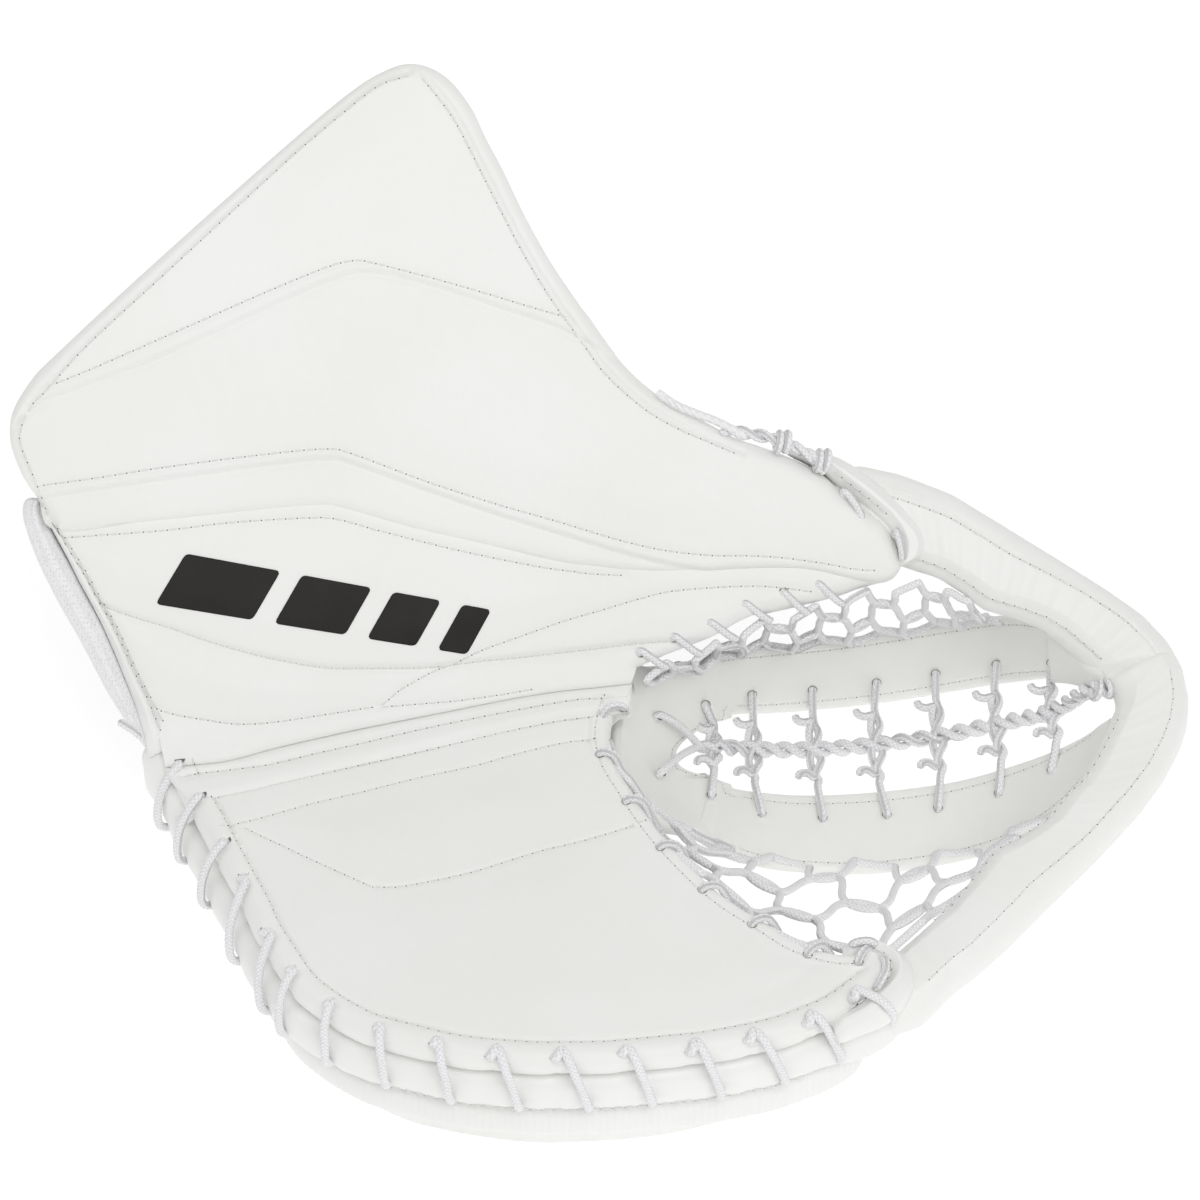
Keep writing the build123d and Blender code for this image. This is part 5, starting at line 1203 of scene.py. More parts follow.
loops = []
for k, (h_, e_) in enumerate(zip(G["palm_holes"], G["lace_ends"])):
    h_ = np.array(h_, float)
    if k == 0:
        h_ = h_ + np.array([1.0, -2.0])
    ze = 53.0
    e2 = np.array([e_[0], e_[1] + (PALM_Z - ze) * 0.90])
    sh_ = seg_dist(h_[None], PE)[2][0]
    se_ = seg_dist(e2[None], PE)[2][0]
    if k < 2:
        se_ = max(se_, sh_ + 6.0)
    dh = -seg_dist(h_[None], PE)[0][0]
    L_ = lambda f, off, z_: tuple(edge_at(sh_ + (se_ - sh_) * f, off + 3.9 * full_at(sh_ + (se_ - sh_) * f) * min(max((76.5 - z_) / 9.0, 0.0), 1.0))) + (z_,)
    loops.append([tuple(edge_at(sh_, dh - 0.4)) + (74.2,), tuple(edge_at(sh_, dh)) + (76.3,), L_(0.10, dh + 1.6, 78.6), L_(0.25, min(dh * 0.5, -3.2), 79.35),
                  L_(0.45, 0.6, 77.6), L_(0.62, 2.9, 72.2), L_(0.78, 3.6, 66.0), L_(0.92, 4.9, 59.5), L_(1.0, 4.6, 55.0), L_(1.03, 2.6, 52.6), L_(1.03, -0.5, 51.8)])
    if k == len(G["palm_holes"]) - 1:
        loops[-1] = [tuple(edge_at(sh_, dh - 0.4)) + (75.0,), tuple(edge_at(sh_, dh)) + (77.6,), L_(0.08, dh + 1.6, 80.4), L_(0.22, -2.0, 81.3),
                     L_(0.40, 2.8, 81.3), L_(0.58, 7.4, 79.9), L_(0.74, 10.3, 75.8), L_(0.88, 10.5, 70.0), L_(1.0, 8.4, 65.2), L_(1.02, 4.6, 63.0)]
    LACE_S.append((sh_, se_))
LOOP_PLAN = [np.array(l)[1:8, :2] for l in loops]


def lace_dent(P, w=2.4):
    d = np.full(len(P), 99.0)
    for lp in LOOP_PLAN:
        d = np.minimum(d, seg_dist(P, lp)[0])
    return gauss(d, w)


# ================================================================ break strips and palm
R1, R2, R3B, VS = LINES["row1_st"], LINES["row2_st"], LINES["row3b_st"], LINES["v_st"]
SC1, SC2 = LINES["soft_crease1"], LINES["soft_crease2"]
CRE = spline(CREX5, 1.5)
PKE = spline(G["pocket_edge"], 1.2)
PDIR = np.array([-0.196, 0.981])


def strip_poly(a_, b_, n=90):
    return np.vstack([even(a_, n=n), even(b_, n=n)[::-1]])


def h_break(P):
    h = np.zeros(len(P))
    dc, sc, _, _ = seg_dist(P, CRX)
    h -= round_drop(dc, 2.0) * 1.1
    for ln, g_ in ((R1, 0.45), (R2, 0.45), (R3B, 0.4)):
        d = seg_dist(P, ln)[0]
        h -= g_ * gauss(d, 1.0)
    near = np.minimum.reduce([seg_dist(P, R1)[0], seg_dist(P, R2)[0], dc])
    h += 1.1 * smooth(near / 4.0)
    return h


R1X = extend(G["row1_st"], 5.0, 8.0)
R2X = extend(G["row2_st"], 6.0, 10.0)
CR2 = np.vstack([CRE])
up_poly = strip_poly(R1X, CR2)
co, fa, _b = panel("break_upper", up_poly, h_break, [R1], grid=1.2, edge_rows=(0.4, 1.0, 1.8), skirt=[(0.2, 0.6), (0.1, 2.5), (-0.8, 4.0)])
bu = build("break_upper_leather", co, fa, None, "leather_pocket", M_LEA)
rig.replaces(bu, "break_strip")


def pp(p, zz=78.0):
    """Point on the fold's cross direction at perpendicular coordinate p."""
    q = np.array([-70.0, -14.0 + 0.0])
    base = q - PDIR * (q @ PDIR)
    v = base + PDIR * p
    return (v[0] * MM, v[1] * MM, zz * MM)


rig.blend(bu, "pocket_t", "thumb_side", pp(-7.5), pp(-3.6))

lo_poly = strip_poly(R2X, R1X)
co, fa, _b = panel("break_lower", lo_poly, h_break, [R1, R2], grid=1.4, edge_rows=(0.4, 1.0, 1.8), skirt=[(0.2, 0.6), (0.1, 2.5), (-0.8, 4.0)])
blw = build("break_lower_leather", co, fa, None, "leather_pocket", M_LEA)
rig.blend(blw, "palm_side", "pocket_t", pp(-13.6), pp(-7.6))
surf_row(("palm_side", "row1", ("palm_side", "pocket_t", pp(-13.6), pp(-7.6))), R1, lambda c: h_break(c) + 0.08, 4.4)

PALM_POLY = np.vstack([PE[:-2], PKE[3:], R2X[::-1]])
PEX = PE
PK_OFF = 7.5


def h_palm(P):
    d, _, pos, _ = seg_dist(P, PEX)
    dk, _, pk_, _ = seg_dist(P, PKE)
    roll = 71.5 + 6.0 * np.sqrt(np.clip(1 - ((d - 4.75) / 5.6) ** 2, 0.0, 1)) - 76.0
    flat = 0.0 + 0.0 * d
    w = smooth((d - 9.3) / 1.6)
    body = flat - 0.5 * gauss(d - 9.6, 1.0)
    near = np.minimum(d - 9.5, dk)
    for ln, g_ in ((R3B, 0.42), (VS, 0.55)):
        dd = seg_dist(P, ln)[0]
        body -= g_ * gauss(dd, 1.0)
        near = np.minimum(near, dd)
    dr2 = seg_dist(P, R2X)[0]
    body -= 0.4 * gauss(dr2, 1.0)
    near = np.minimum(near, dr2)
    for ln in (SC1, SC2):
        dd, _, ps, L = seg_dist(P, ln)
        body -= 0.55 * gauss(dd, 3.0) * smooth(1 - ps / L * 0.85)
    body += 1.5 * smooth(near / 22.0)
    body += sway(P, 0.28, 4.0)
    h = np.where(d < 9.3, roll, body) * (1 - w) + body * w
    h = np.where(d < 9.3, roll, h)
    # pocket binding: a turned strip with its own stitch line
    wk = smooth((dk - 6.2) / 1.2)
    bind = 0.9 - 0.35 * gauss(dk - 4.9, 0.8) - round_drop(dk, 2.6)
    hk = bind * (1 - wk) + h * wk - 0.25 * gauss(dk - 6.6, 0.7)
    use = smooth((pk_ - 4.0) / 4.0) * smooth((d - 7.0) / 3.0)
    h = np.where(dk < 9.0, h * (1 - use) + hk * use, h)
    h -= 0.75 * lace_dent(P) * smooth((10.5 - d) / 3.0)
    return h


bp_ = even(PALM_POLY, 1.2, True)
d_pe = seg_dist(bp_, PEX)[0]
d_pk = seg_dist(bp_, PKE)[0]
d_r2 = seg_dist(bp_, R2X)[0]
w_pe = smear(((d_pe < 1.0)).astype(float), 2)
w_pk = smear(((d_pk < 1.0) & (d_pe >= 1.0)).astype(float), 2)
w_r = np.clip(1 - w_pe - w_pk, 0, 1)
rings = []
angs = [24, 14, 4, -8, -20, -34, -50, -68, -88]
pk_prof = [(0.35, 0.6), (0.8, 1.8), (1.0, 3.4), (0.95, 5.2), (0.7, 7.0), (0.3, 8.6), (-0.3, 9.8), (-1.2, 10.6), (-2.6, 11.0)]
r_prof = [(0.0, 0.4), (0.0, 0.9), (0.0, 1.4), (-0.1, 1.9), (-0.2, 2.4), (-0.3, 2.9), (-0.5, 3.4), (-0.7, 3.9), (-1.0, 4.4)]
h_b = h_palm(bp_)
for a_, (o2, d2_), (o3, d3_) in zip(angs, pk_prof, r_prof):
    cosa, sina = math.cos(math.radians(a_)), math.sin(math.radians(a_))
    o1 = 5.6 * cosa - 4.75
    d1_ = (h_b + 76.0) - (71.5 + 6.0 * sina)
    o1 = o1 - 0.7 * lace_dent(bp_)
    rings.append((o1 * w_pe + o2 * w_pk + o3 * w_r, d1_ * w_pe + d2_ * w_pk + d3_ * w_r))
GRV = side_of(PE, 9.6)
BIND = side_of(PKE, -4.9)
if not inside(BIND[len(BIND) // 2][None], PALM_POLY)[0]:
    BIND = side_of(PKE, 4.9)
    BIND2 = side_of(PKE, 6.6)
else:
    BIND2 = side_of(PKE, -6.6)
co, fa, _b = panel("palm_skin", PALM_POLY, h_palm, [R3B, VS, GRV, BIND2[4:], R2], grid=1.7 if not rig.quick() else 2.6,
                   edge_rows=(0.35, 0.9, 1.6, 2.4, 3.4, 4.6, 6.0, 7.4, 8.6), skirt=rings)
palm = build("palm_skin", co, fa, "palm_side", "leather_white", M_LEA)
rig.replaces(palm, "palm_upper_panel", "palm_finger_panel", "palm_edge_roll", "pocket_binding", "palm_board", "palm_foam")
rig.padded(palm, 0.8)
P_ = ("palm_side", "palm")
surf_row(P_, R2, lambda c: h_break(c) + 0.08, 4.4)
surf_row(P_, R3B, lambda c: h_palm(c) + 0.05, 4.4)
surf_row(P_, VS, lambda c: h_palm(c) + 0.05, 4.0)
surf_row(P_, side_of(PE, 8.4)[6:-14], lambda c: h_palm(c) + 0.05, 3.9)
surf_row(P_, BIND[6:-6], lambda c: h_palm(c) + 0.05, 4.4)

# lining under the palm shell
inn = side_of(bp_ if 0.5 * np.sum(bp_[:, 0] * np.roll(bp_[:, 1], -1) - np.roll(bp_[:, 0], -1) * bp_[:, 1]) > 0 else bp_[::-1], 4.5)
inn = even(inn[inside(inn, bp_)], 3.0, True)
co, fa, _b = panel("palm_lining_knit", inn, lambda P: -18.3 - 0.5 * np.abs(np.sin(P[:, 0] / 9.0) * np.sin(P[:, 1] / 9.0)), [], grid=3.6, edge_step=3.0, edge_rows=(1.5,))
pl = build("palm_lining_knit", co, fa, "palm_side", "lining_dark", M_DARK)
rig.replaces(pl, "palm_lining")

# ---------------------------------------------------------------- lower roll
TIP = spline(G["tip_loop"], 1.2)
ROLL_PATH = spline(np.vstack([[(-170.4, -18.8), (-167.4, -23.2)], np.array(G["palm_edge"])[1:-5], [(87.0, -148.2), (96.0, -144.2), (104.0, -137.4), (108.5, -129.0)]]), 1.2)


def ellipse(cx_, cz_, a_, b_, n=22, p=2.3):
    th_ = np.linspace(0, 2 * math.pi, n, endpoint=False)
    c_, s_ = np.cos(th_), np.sin(th_)
    return np.stack([cx_ + a_ * np.sign(c_) * np.abs(c_) ** (2 / p), cz_ + b_ * np.sign(s_) * np.abs(s_) ** (2 / p)], -1)


LE_XY = np.array([edge_at(se_, 2.0) for _, se_ in LACE_S])


def lower_prof(s, L, c):
    pinch = max(gauss(np.linalg.norm(LE_XY - c, axis=1), 3.0))
    wrk = 0.35 * math.sin(s / 3.1) * math.sin(s / 7.7 + 1) + 0.25 * math.sin(s / 1.9 + 2)
    end = min(s, L - s)
    k = 0.55 + 0.45 * smooth(end / 9.0)
    fat = full_at(s - 16.0)
    heel = 1 - smooth((s - 10.0) / 30.0)
    return ellipse(-3.4 + 1.9 * fat, 56.4 + 6.6 * heel, (6.2 + 1.9 * fat - 0.9 * pinch + wrk * 0.5) * k, (9.0 + 0.25 * wrk + 5.4 * heel) * k, 26, 2.5)


co, fa, c_, o_, s_ = sweep(ROLL_PATH, lower_prof)
lr = build("palm_lower_roll_leather", co, fa, "palm_side", "leather_binding", M_BIND)
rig.replaces(lr, "palm_lower_roll")
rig.padded(lr, 0.9)
# stitch line low on the roll
row = np.concatenate([c_ + o_ * 2.15, np.full((len(c_), 1), 50.6)], 1)
nr_ = np.concatenate([o_ * 0.92, np.full((len(c_), 1), -0.35)], 1)
stitch(("palm_side", "roll"), row[10:-28], nr_[10:-28], 4.2)

# ---------------------------------------------------------------- back piping, pad and gusset
PIPE = spline(np.array(G["palm_edge"])[2:-3], 1.2)


def pipe_prof(s, L, c):
    end = min(s, L - s)
    k = 0.5 + 0.5 * float(smooth(end / 7.0))
    rib = 0.10 * math.sin(s * 2 * math.pi / 2.6)
    return ellipse(-1.4, 39.2, (3.0 + rib) * k, (7.4 + rib) * k, 20, 2.4)


co, fa, _1, _2, _3 = sweep(PIPE, pipe_prof, step=0.65 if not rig.quick() else 1.3)
pi_ = build("back_piping_leather", co, fa, "palm_side", "leather_binding", M_BIND)
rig.replaces(pi_, "back_piping")

GUS = side_of(spline(np.array(G["palm_edge"])[2:-2], 1.2), 10.0)


def gus_prof(s, L, c):
    w_ = 1.1 * math.sin(s / 2.9) + 0.6 * math.sin(s / 5.3)
    zs_ = np.linspace(34.0, 60.0, 9)
    bulge = np.sin((zs_ - 34.0) / 26.0 * math.pi)
    outer = np.stack([0.4 + (1.3 + 0.35 * w_) * bulge, zs_], -1)
    inner = np.stack([-1.6 + 0 * bulge, zs_[::-1]], -1)
    return np.vstack([outer, inner])


co, fa, _1, _2, _3 = sweep(GUS, gus_prof, step=1.2)
gu = build("finger_gusset_mesh", co, fa, "palm_side", "lining_dark", M_DARK)
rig.replaces(gu, "finger_gusset")

# back pad: rounded dish with finger channels, its wrist side cut down for the strap
RO = np.array([(-158.61, -31.17), (-146.43, -55.44), (-132.61, -83.98), (-121.01, -109.48), (-107.33, -132.86), (-91.05, -147.10), (-68.24, -157.03), (-29.15, -164.51), (2.58, -164.41), (38.01, -160.06), (76.28, -147.61), (93.18, -134.98), (98.90, -127.17), (69.70, -114.80), (27.80, -82.00), (3.40, -55.70), (22.21, -11.38), (8.23, 57.32), (-115.38, 59.65), (-156.30, 7.26)])
RC = RO.mean(0)
ro = spline(RO, 2.5, closed=True)
nr0 = len(ro)
WA, WB = np.array((-17.72, 13.15)), np.array((-92.67, 14.44))
WX = (WB - WA) / np.linalg.norm(WB - WA)
WN = np.array([-WX[1], WX[0]])


def wrist_drop(p):
    """0 to 1 where the rim is cut down for the wrist strap's swing."""
    l = (p - WA) @ WX
    m = (p - WA) @ WN
    return float(smooth((l + 9.0) / 8.0) * smooth((92.0 - l) / 8.0) * smooth((2.0 - m) / 3.0))


drops = np.array([wrist_drop(p) for p in ro])
drops = np.maximum(drops, 0)
rings_ = []
prof_ = [(0.0, 0.62), (0.0, 0.74), (0.25, 0.775), (1.2, 0.80), (3.2, 0.822), (7.0, 0.845), (12.0, 0.868), (17.0, 0.892), (22.0, 0.918), (27.0, 0.944), (31.5, 0.968), (35.2, 0.985), (37.0, 0.985), (37.6, 0.972), (37.2, 0.955)]
top_z = 36.8
for z_, k_ in prof_:
    q = RC + (ro - RC) * k_
    zmax = np.where(drops > 0.02, 37.6 - 20.5 * drops, 37.6)
    zz = np.minimum(z_, zmax - (37.6 - z_) * (z_ > 35) * 1.0)
    rings_.append(np.concatenate([q, zz[:, None]], 1))
# inner wall and floor
for z_, k_ in ((35.0, 0.925), (26.0, 0.895), (20.0, 0.875), (18.4, 0.86), (18.2, 0.70)):
    q = RC + (ro - RC) * k_
    zmax = np.where(drops > 0.02, 36.0 - 19.0 * drops, 36.0)
    rings_.append(np.concatenate([q, np.maximum(np.minimum(z_, zmax), 16.4)[:, None]], 1))
co = np.array(rings_)
m_ = co.shape[1]
fa = grid_faces(len(rings_), m_, True, flip=False)
fa += [tuple(range(m_))]
fa += [tuple((len(rings_) - 1) * m_ + k for k in reversed(range(m_)))]
co = co.reshape(-1, 3)
bpad = build("back_pad_cover", co, fa, "palm_side", "leather_white", M_LEA)
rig.replaces(bpad, "back_cover", "back_foam", "back_board", "back_lining")
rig.padded(bpad, 0.8)
# stitch rows round the pad
for k_, z_ in ((0.905, 19.6), (0.978, 33.6)):
    q = RC + (ro - RC) * (k_ + 0.0035)
    t_ = np.roll(q, -1, 0) - np.roll(q, 1, 0)
    t_ /= np.linalg.norm(t_, axis=1, keepdims=True)
    sg = 1.0 if 0.5 * np.sum(ro[:, 0] * np.roll(ro[:, 1], -1) - np.roll(ro[:, 0], -1) * ro[:, 1]) > 0 else -1.0
    nn_ = np.concatenate([np.stack([t_[:, 1], -t_[:, 0]], -1) * sg, np.full((nr0, 1), -0.45)], 1)
    nn_ /= np.linalg.norm(nn_, axis=1, keepdims=True)
    ok = drops < 0.02
    row = np.concatenate([q, np.full((nr0, 1), z_)], 1)
    idx = np.where(ok)[0]
    br = np.where(np.diff(idx) > 1)[0]
    seq = np.concatenate([idx[br[0] + 1:], idx[:br[0] + 1]]) if len(br) else idx
    stitch(("palm_side", "back"), row[seq], nn_[seq], 4.4)
# panel seams on the underside: raised finger-pad beads
for j, yy in enumerate((-92.0, -62.0, -30.0)):
    xs_ = np.linspace(-118, 52, 90)
    pts_ = np.stack([xs_, yy + 7 * np.sin(xs_ / 60.0), np.full(90, 0.55)], -1)
    keep_ = inside(pts_[:, :2], RC + (ro - RC) * 0.78)
    pts_ = pts_[keep_]
    if len(pts_) > 10:
        c_, f_, u_ = tube(pts_, 0.7, 8, 2.0, smooth_path=False)
        o_b = build("back_pad_bead_%d" % j, c_, f_, "palm_side", "leather_binding", M_BIND)


# ================================================================ ribbons: band, straps, loops
def rr_section(n1=34, n2=9, crown=0.0, grooves=()):
    """Unit strip section: n1 evenly spaced positions from inner (-1) to outer (+1)."""
    x = np.linspace(-1, 1, n1)
    return x


def ribbon(inner, outer, up, thick, r, crown=0.0, grooves=(), n=140, end_round=True, tilt=None, sag=None, extra=None, n1=40):
    """Closed strip between two 3-D edges; up(p, across, along) gives its outward normal. Returns mesh, and a function for points on its top."""
    A, B = even(spline(inner, 1.0), n=n), even(spline(outer, 1.0), n=n)
    C = (A + B) / 2
    along = np.gradient(C, axis=0)
    along /= np.linalg.norm(along, axis=1, keepdims=True)
    acr = B - A
    W = np.linalg.norm(acr, axis=1)
    acr = acr / W[:, None]
    N = np.array([up(C[i], acr[i], along[i]) for i in range(n)])
    N = N - acr * np.sum(N * acr, 1, keepdims=True)
    N /= np.linalg.norm(N, axis=1, keepdims=True)
    base = np.linspace(-1, 1, n1)
    fr = [2 * g - 1 + d for g, _, _ in grooves for d in (-0.05, -0.03, -0.015, 0.0, 0.015, 0.03, 0.05)]
    X = np.unique(np.round(np.clip(np.concatenate([base, fr]), -1, 1), 4))
    arc = np.linspace(90, -90, 13)[1:-1]
    s_ = np.linspace(0, 1, n)

    def top_h(xn, i):
        h = crown * (1 - np.abs(xn) ** 2.4)
        for g, dpt, wd in grooves:
            h = h - dpt * np.exp(-(((xn - (2 * g - 1)) * W[i] / 2) / wd) ** 2)
        if extra is not None:
            h = h + extra(xn, s_[i])
        return h
    rows = []
    for i in range(n):
        a = W[i] / 2
        rr = min(r, a * 0.9, thick / 2)
        e = min(s_[i], 1 - s_[i]) * n / 6.0
        k = 1.0 if not end_round else 0.45 + 0.55 * float(smooth(e))
        xt = X * (a - rr)
        yt = top_h(X * (a - rr) / a, i)
        top = np.stack([xt, yt], -1)
        right = np.stack([(a - rr) + rr * np.cos(np.radians(arc)), -thick / 2 + (thick / 2) * np.sin(np.radians(arc))], -1)
        bot = np.stack([xt[::-1][::3], np.full(len(xt[::3]), -thick)], -1)
        left = np.stack([-(a - rr) - rr * np.cos(np.radians(arc)), -thick / 2 - (thick / 2) * np.sin(np.radians(arc))], -1)
        sec = np.vstack([top, right, bot, left])
        sec[:, 1] = -thick / 2 + (sec[:, 1] + thick / 2) * k
        rows.append(C[i] + acr[i] * sec[:, :1] + N[i] * sec[:, 1:2])
    co = np.array(rows)
    m = co.shape[1]
    fa = grid_faces(n, m, True)
    fa += [tuple(range(m))[::-1], tuple((n - 1) * m + k for k in range(m))]

    def at(frac):
        pts, nn = [], []
        for i in range(n):
            a = W[i] / 2
            xn = 2 * frac - 1
            pts.append(C[i] + acr[i] * xn * a + N[i] * (top_h(xn, i) + 0.06))
            nn.append(N[i])
        return np.array(pts), np.array(nn)
    # consistent winding
    f0 = fa[m // 4]
    P_0 = co.reshape(-1, 3)
    nrm = np.cross(P_0[f0[1]] - P_0[f0[0]], P_0[f0[2]] - P_0[f0[0]])
    if nrm @ N[0] < 0:
        fa = [f[::-1] for f in fa]
    return (P_0, fa), at


def lift3(line, dz=0.0):
    p = np.asarray(line, float)
    if p.shape[1] == 3:
        return p
    return np.concatenate([p, (rim(p[:, 0], p[:, 1]) + dz)[:, None]], 1)


def rim_up(p, a_, t_):
    return rim_normal(np.array([p[0]]), np.array([p[1]]))[0]


# band, thumb half
ti = np.array(list(G["band_root_t"])[::-1][::-1][2:] + list(G["band_in_t"][:-1]))
to = np.array(G["band_out_t"])


def sunk(line3, deep, at_end=True, start=0.55):
    s = np.concatenate([[0], np.cumsum(np.linalg.norm(np.diff(line3, axis=0), axis=1))])
    f = s / s[-1] if at_end else 1 - s / s[-1]
    q = line3.copy()
    q[:, 2] -= deep * np.clip((f - start) / (1 - start), 0, 1) ** 2
    return q


ti3, to3 = sunk(lift3(even(ti, n=40), -0.4), 11.0, False), sunk(lift3(even(to, n=40), -0.4), 11.0, False)
wrink = lambda xn, s: 0.16 * np.sin(s * 160 + xn * 5) * np.sin(s * 47 + 3 * xn) + 0.25 * np.sin(s * 21 + xn * 3.0)
mesh_t, at_t = ribbon(ti3, to3, rim_up, 15.5, 7.4, 1.6, ((0.14, 0.6, 0.9), (0.74, 0.9, 1.1)), n=180, extra=wrink)
bt = build("band_thumb_leather", mesh_t[0], mesh_t[1], None, "leather_white", M_BAND)
BT = ("pocket_t", "thumb_side", (0.196, 0.010, 0.09), (0.112, 0.050, 0.12))
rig.blend(bt, *BT)
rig.replaces(bt, "band_thumb_skin", "band_thumb_core", "band_thumb_back")
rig.padded(bt, 0.9)
for fr_, a0, a1 in ((0.115, 30, -6), (0.70, 18, -14)):
    pts_, nn_ = at_t(fr_)
    stitch(("thumb_side", "band_t", BT), pts_[a0:a1], nn_[a0:a1], 4.3)

# band, head and finger half
hi = np.array([G["band_in_t"][-2], G["band_in_t"][-1]] + list(G["band_in_f"]))
ho_ = np.array([G["band_out_t"][-2], G["band_out_t"][-1]] + list(G["band_out_f"]))
hi = np.vstack([hi, hi[-1] + (hi[-1] - hi[-2]) * 0.9])
ho_ = np.vstack([ho_[:-1], [(103.5, -153.0), (95.5, -150.5), (87.5, -146.0)]])
hi3, ho3 = sunk(lift3(even(hi, n=60), -0.4), 12.5), sunk(lift3(even(ho_, n=60), -0.4), 12.5)
ho3[:, 1] += 0.95 * (lift3(even(ho_, n=60), -0.4)[:, 2] - ho3[:, 2]) + 1.6 * np.clip((np.arange(60) - 22) / 12.0, 0, 1)
mesh_f, at_f = ribbon(hi3, ho3, rim_up, 15.5, 7.4, 1.6, ((0.14, 0.6, 0.9), (0.80, 0.7, 1.1)), n=220, extra=wrink)
bf = build("band_finger_leather", mesh_f[0], mesh_f[1], None, "leather_white", M_BAND)
BF = ("palm_side", "pocket_t", (0.150, -0.085, 0.08), (0.196, -0.022, 0.09))
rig.blend(bf, *BF)
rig.replaces(bf, "band_finger_skin", "band_finger_core", "band_finger_back", "t_head")
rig.padded(bf, 0.9)
for fr_, a0, a1 in ((0.115, 26, -40), (0.76, 12, -30)):
    pts_, nn_ = at_f(fr_)
    stitch(("palm_side", "band_f", BF), pts_[a0:a1], nn_[a0:a1], 4.3)

# loop round the thumb tip
tl_out = np.array(G["thumb_loop"][1:-1])
tl_in = even(np.array(G["board"])[31:41], n=len(tl_out))
tl_in = tl_in + (tl_out - tl_in) * 0.02
i3, o3_ = lift3(tl_in, 3.6), lift3(tl_out, 3.0)
mesh_g, at_g = ribbon(i3, o3_, rim_up, 13.0, 4.6, 1.5, ((0.26, 0.35, 0.9),), n=110)
pts_, nn_ = at_g(0.26)
stitch(T_, pts_[26:72], nn_[26:72], 4.3)
tg = build("thumb_tip_guard_leather", mesh_g[0], mesh_g[1], "thumb_side", "leather_binding", M_BIND)
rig.replaces(tg, "thumb_tip_guard")
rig.padded(tg, 0.85)

# flat roll round the fingertip
fi = np.array([(80.0, -148.6), (87.5, -143.6), (95.6, -136.2), (100.0, -131.4), (101.2, -127.2), (99.6, -123.2), (94.0, -120.2), (86.0, -119.8)])
fo = np.array([(83.6, -156.2), (92.0, -151.8), (102.2, -146.2), (109.6, -136.6), (111.6, -128.4), (109.4, -120.4), (101.1, -113.6), (86.0, -112.6)])
mesh_i, at_i = ribbon(lift3(fi, 0.7), lift3(fo, -0.6), rim_up, 11.5, 5.2, 1.6, ((0.16, 0.35, 0.8),), n=110)
tr = build("fingertip_roll_leather", mesh_i[0], mesh_i[1], "palm_side", "leather_binding", M_BIND)
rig.padded(tr, 0.9)
pts_, nn_ = at_i(0.16)
stitch(("palm_side", "tip"), pts_[14:-10], nn_[14:-10], 4.0)
# lace pass through the fingertip roll
FT_LACE = [[(88.5, -117.6, 76.8), (91.0, -117.2, 78.9), (95.5, -117.0, 79.2), (98.2, -117.6, 77.0)],
           [(99.0, -123.0, 76.6), (100.6, -126.0, 79.0), (100.4, -130.6, 79.4), (98.8, -134.2, 79.2), (96.6, -137.2, 76.6)]]

# ---------------------------------------------------------------- T straps and base
TSO = np.array(G["ts_out"])
TSI = np.array(G["ts_in"])
FSI = np.array(G["fs_in"])
FSO = np.array(G["fs_out"])


def strap_up(p, a_, t_):
    n_ = np.cross(t_, a_)
    return n_ if n_[2] > 0 else -n_


def ease(pts):
    return np.asarray(pts, float)


TS0 = ((28.5, 19.0, 43.5),)
dn_ = np.array((0.0, 0.0, 0.15))
ts_a, ts_b = TSI - dn_, TSO - dn_
fs_a, fs_b = FSI - dn_, FSO - dn_
mesh_1, at_1 = ribbon(ts_a[:, :] , ts_b, strap_up, 4.6, 2.3, 0.35, ((0.16, 0.28, 0.8), (0.90, 0.2, 0.8)), n=150, n1=26)
s1_ = build("t_strap_thumb_leather", mesh_1[0], mesh_1[1], "pocket_t", "leather_pocket", M_POCK)
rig.replaces(s1_, "t_strap_thumb")
mesh_2, at_2 = ribbon(fs_a, fs_b, strap_up, 4.6, 2.3, 0.35, ((0.14, 0.28, 0.8), (0.90, 0.2, 0.8)), n=150, n1=26)
s2_ = build("t_strap_finger_leather", mesh_2[0], mesh_2[1], "pocket_t", "leather_pocket", M_POCK)
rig.replaces(s2_, "t_strap_finger")
for at_, fr_ in ((at_1, 0.16), (at_1, 0.90), (at_2, 0.14), (at_2, 0.90)):
    pts_, nn_ = at_(fr_)
    stitch(("pocket_t", "strap"), pts_[12:-10] , nn_[12:-10], 4.6)

# base: one surface through the left ends of the four edges
base_cols = [np.array([(11.5, 19.5, 77.0), (18.0, 20.6, 70.0), (25.8, 28.0, 62.0), (33.7, 33.8, 56.2), (45.6, 45.2, 50.2), (51.9, 48.5, 47.8)]),
             np.array([(8.8, 6.0, 71.5), (14.2, 7.8, 62.0), (23.9, 14.5, 50.0), (33.8, 20.8, 38.6), (43.3, 27.4, 30.0), (51.9, 36.4, 23.0)]),
             np.array([(6.8, -17.0, 69.0), (13.0, -16.2, 57.0), (22.5, -9.0, 42.0), (32.0, -2.5, 33.0), (42.9, 1.8, 28.0), (51.2, 2.6, 21.0)]),
             np.array([(8.0, -39.0, 68.5), (17.5, -42.5, 60.0), (26.0, -39.6, 49.0), (36.9, -30.5, 34.0), (47.8, -30.0, 22.0), (55.0, -29.8, 17.4)])]
cols = [even(spline(c, 1.0), n=46) for c in base_cols]
cols = np.array(cols)
nt = 64
sheet_ = np.zeros((46, nt, 3))
for i in range(46):
    q = cols[:, i]
    sheet_[i] = even(spline(q, 0.8), n=nt)
tt_ = np.linspace(0, 1, nt)
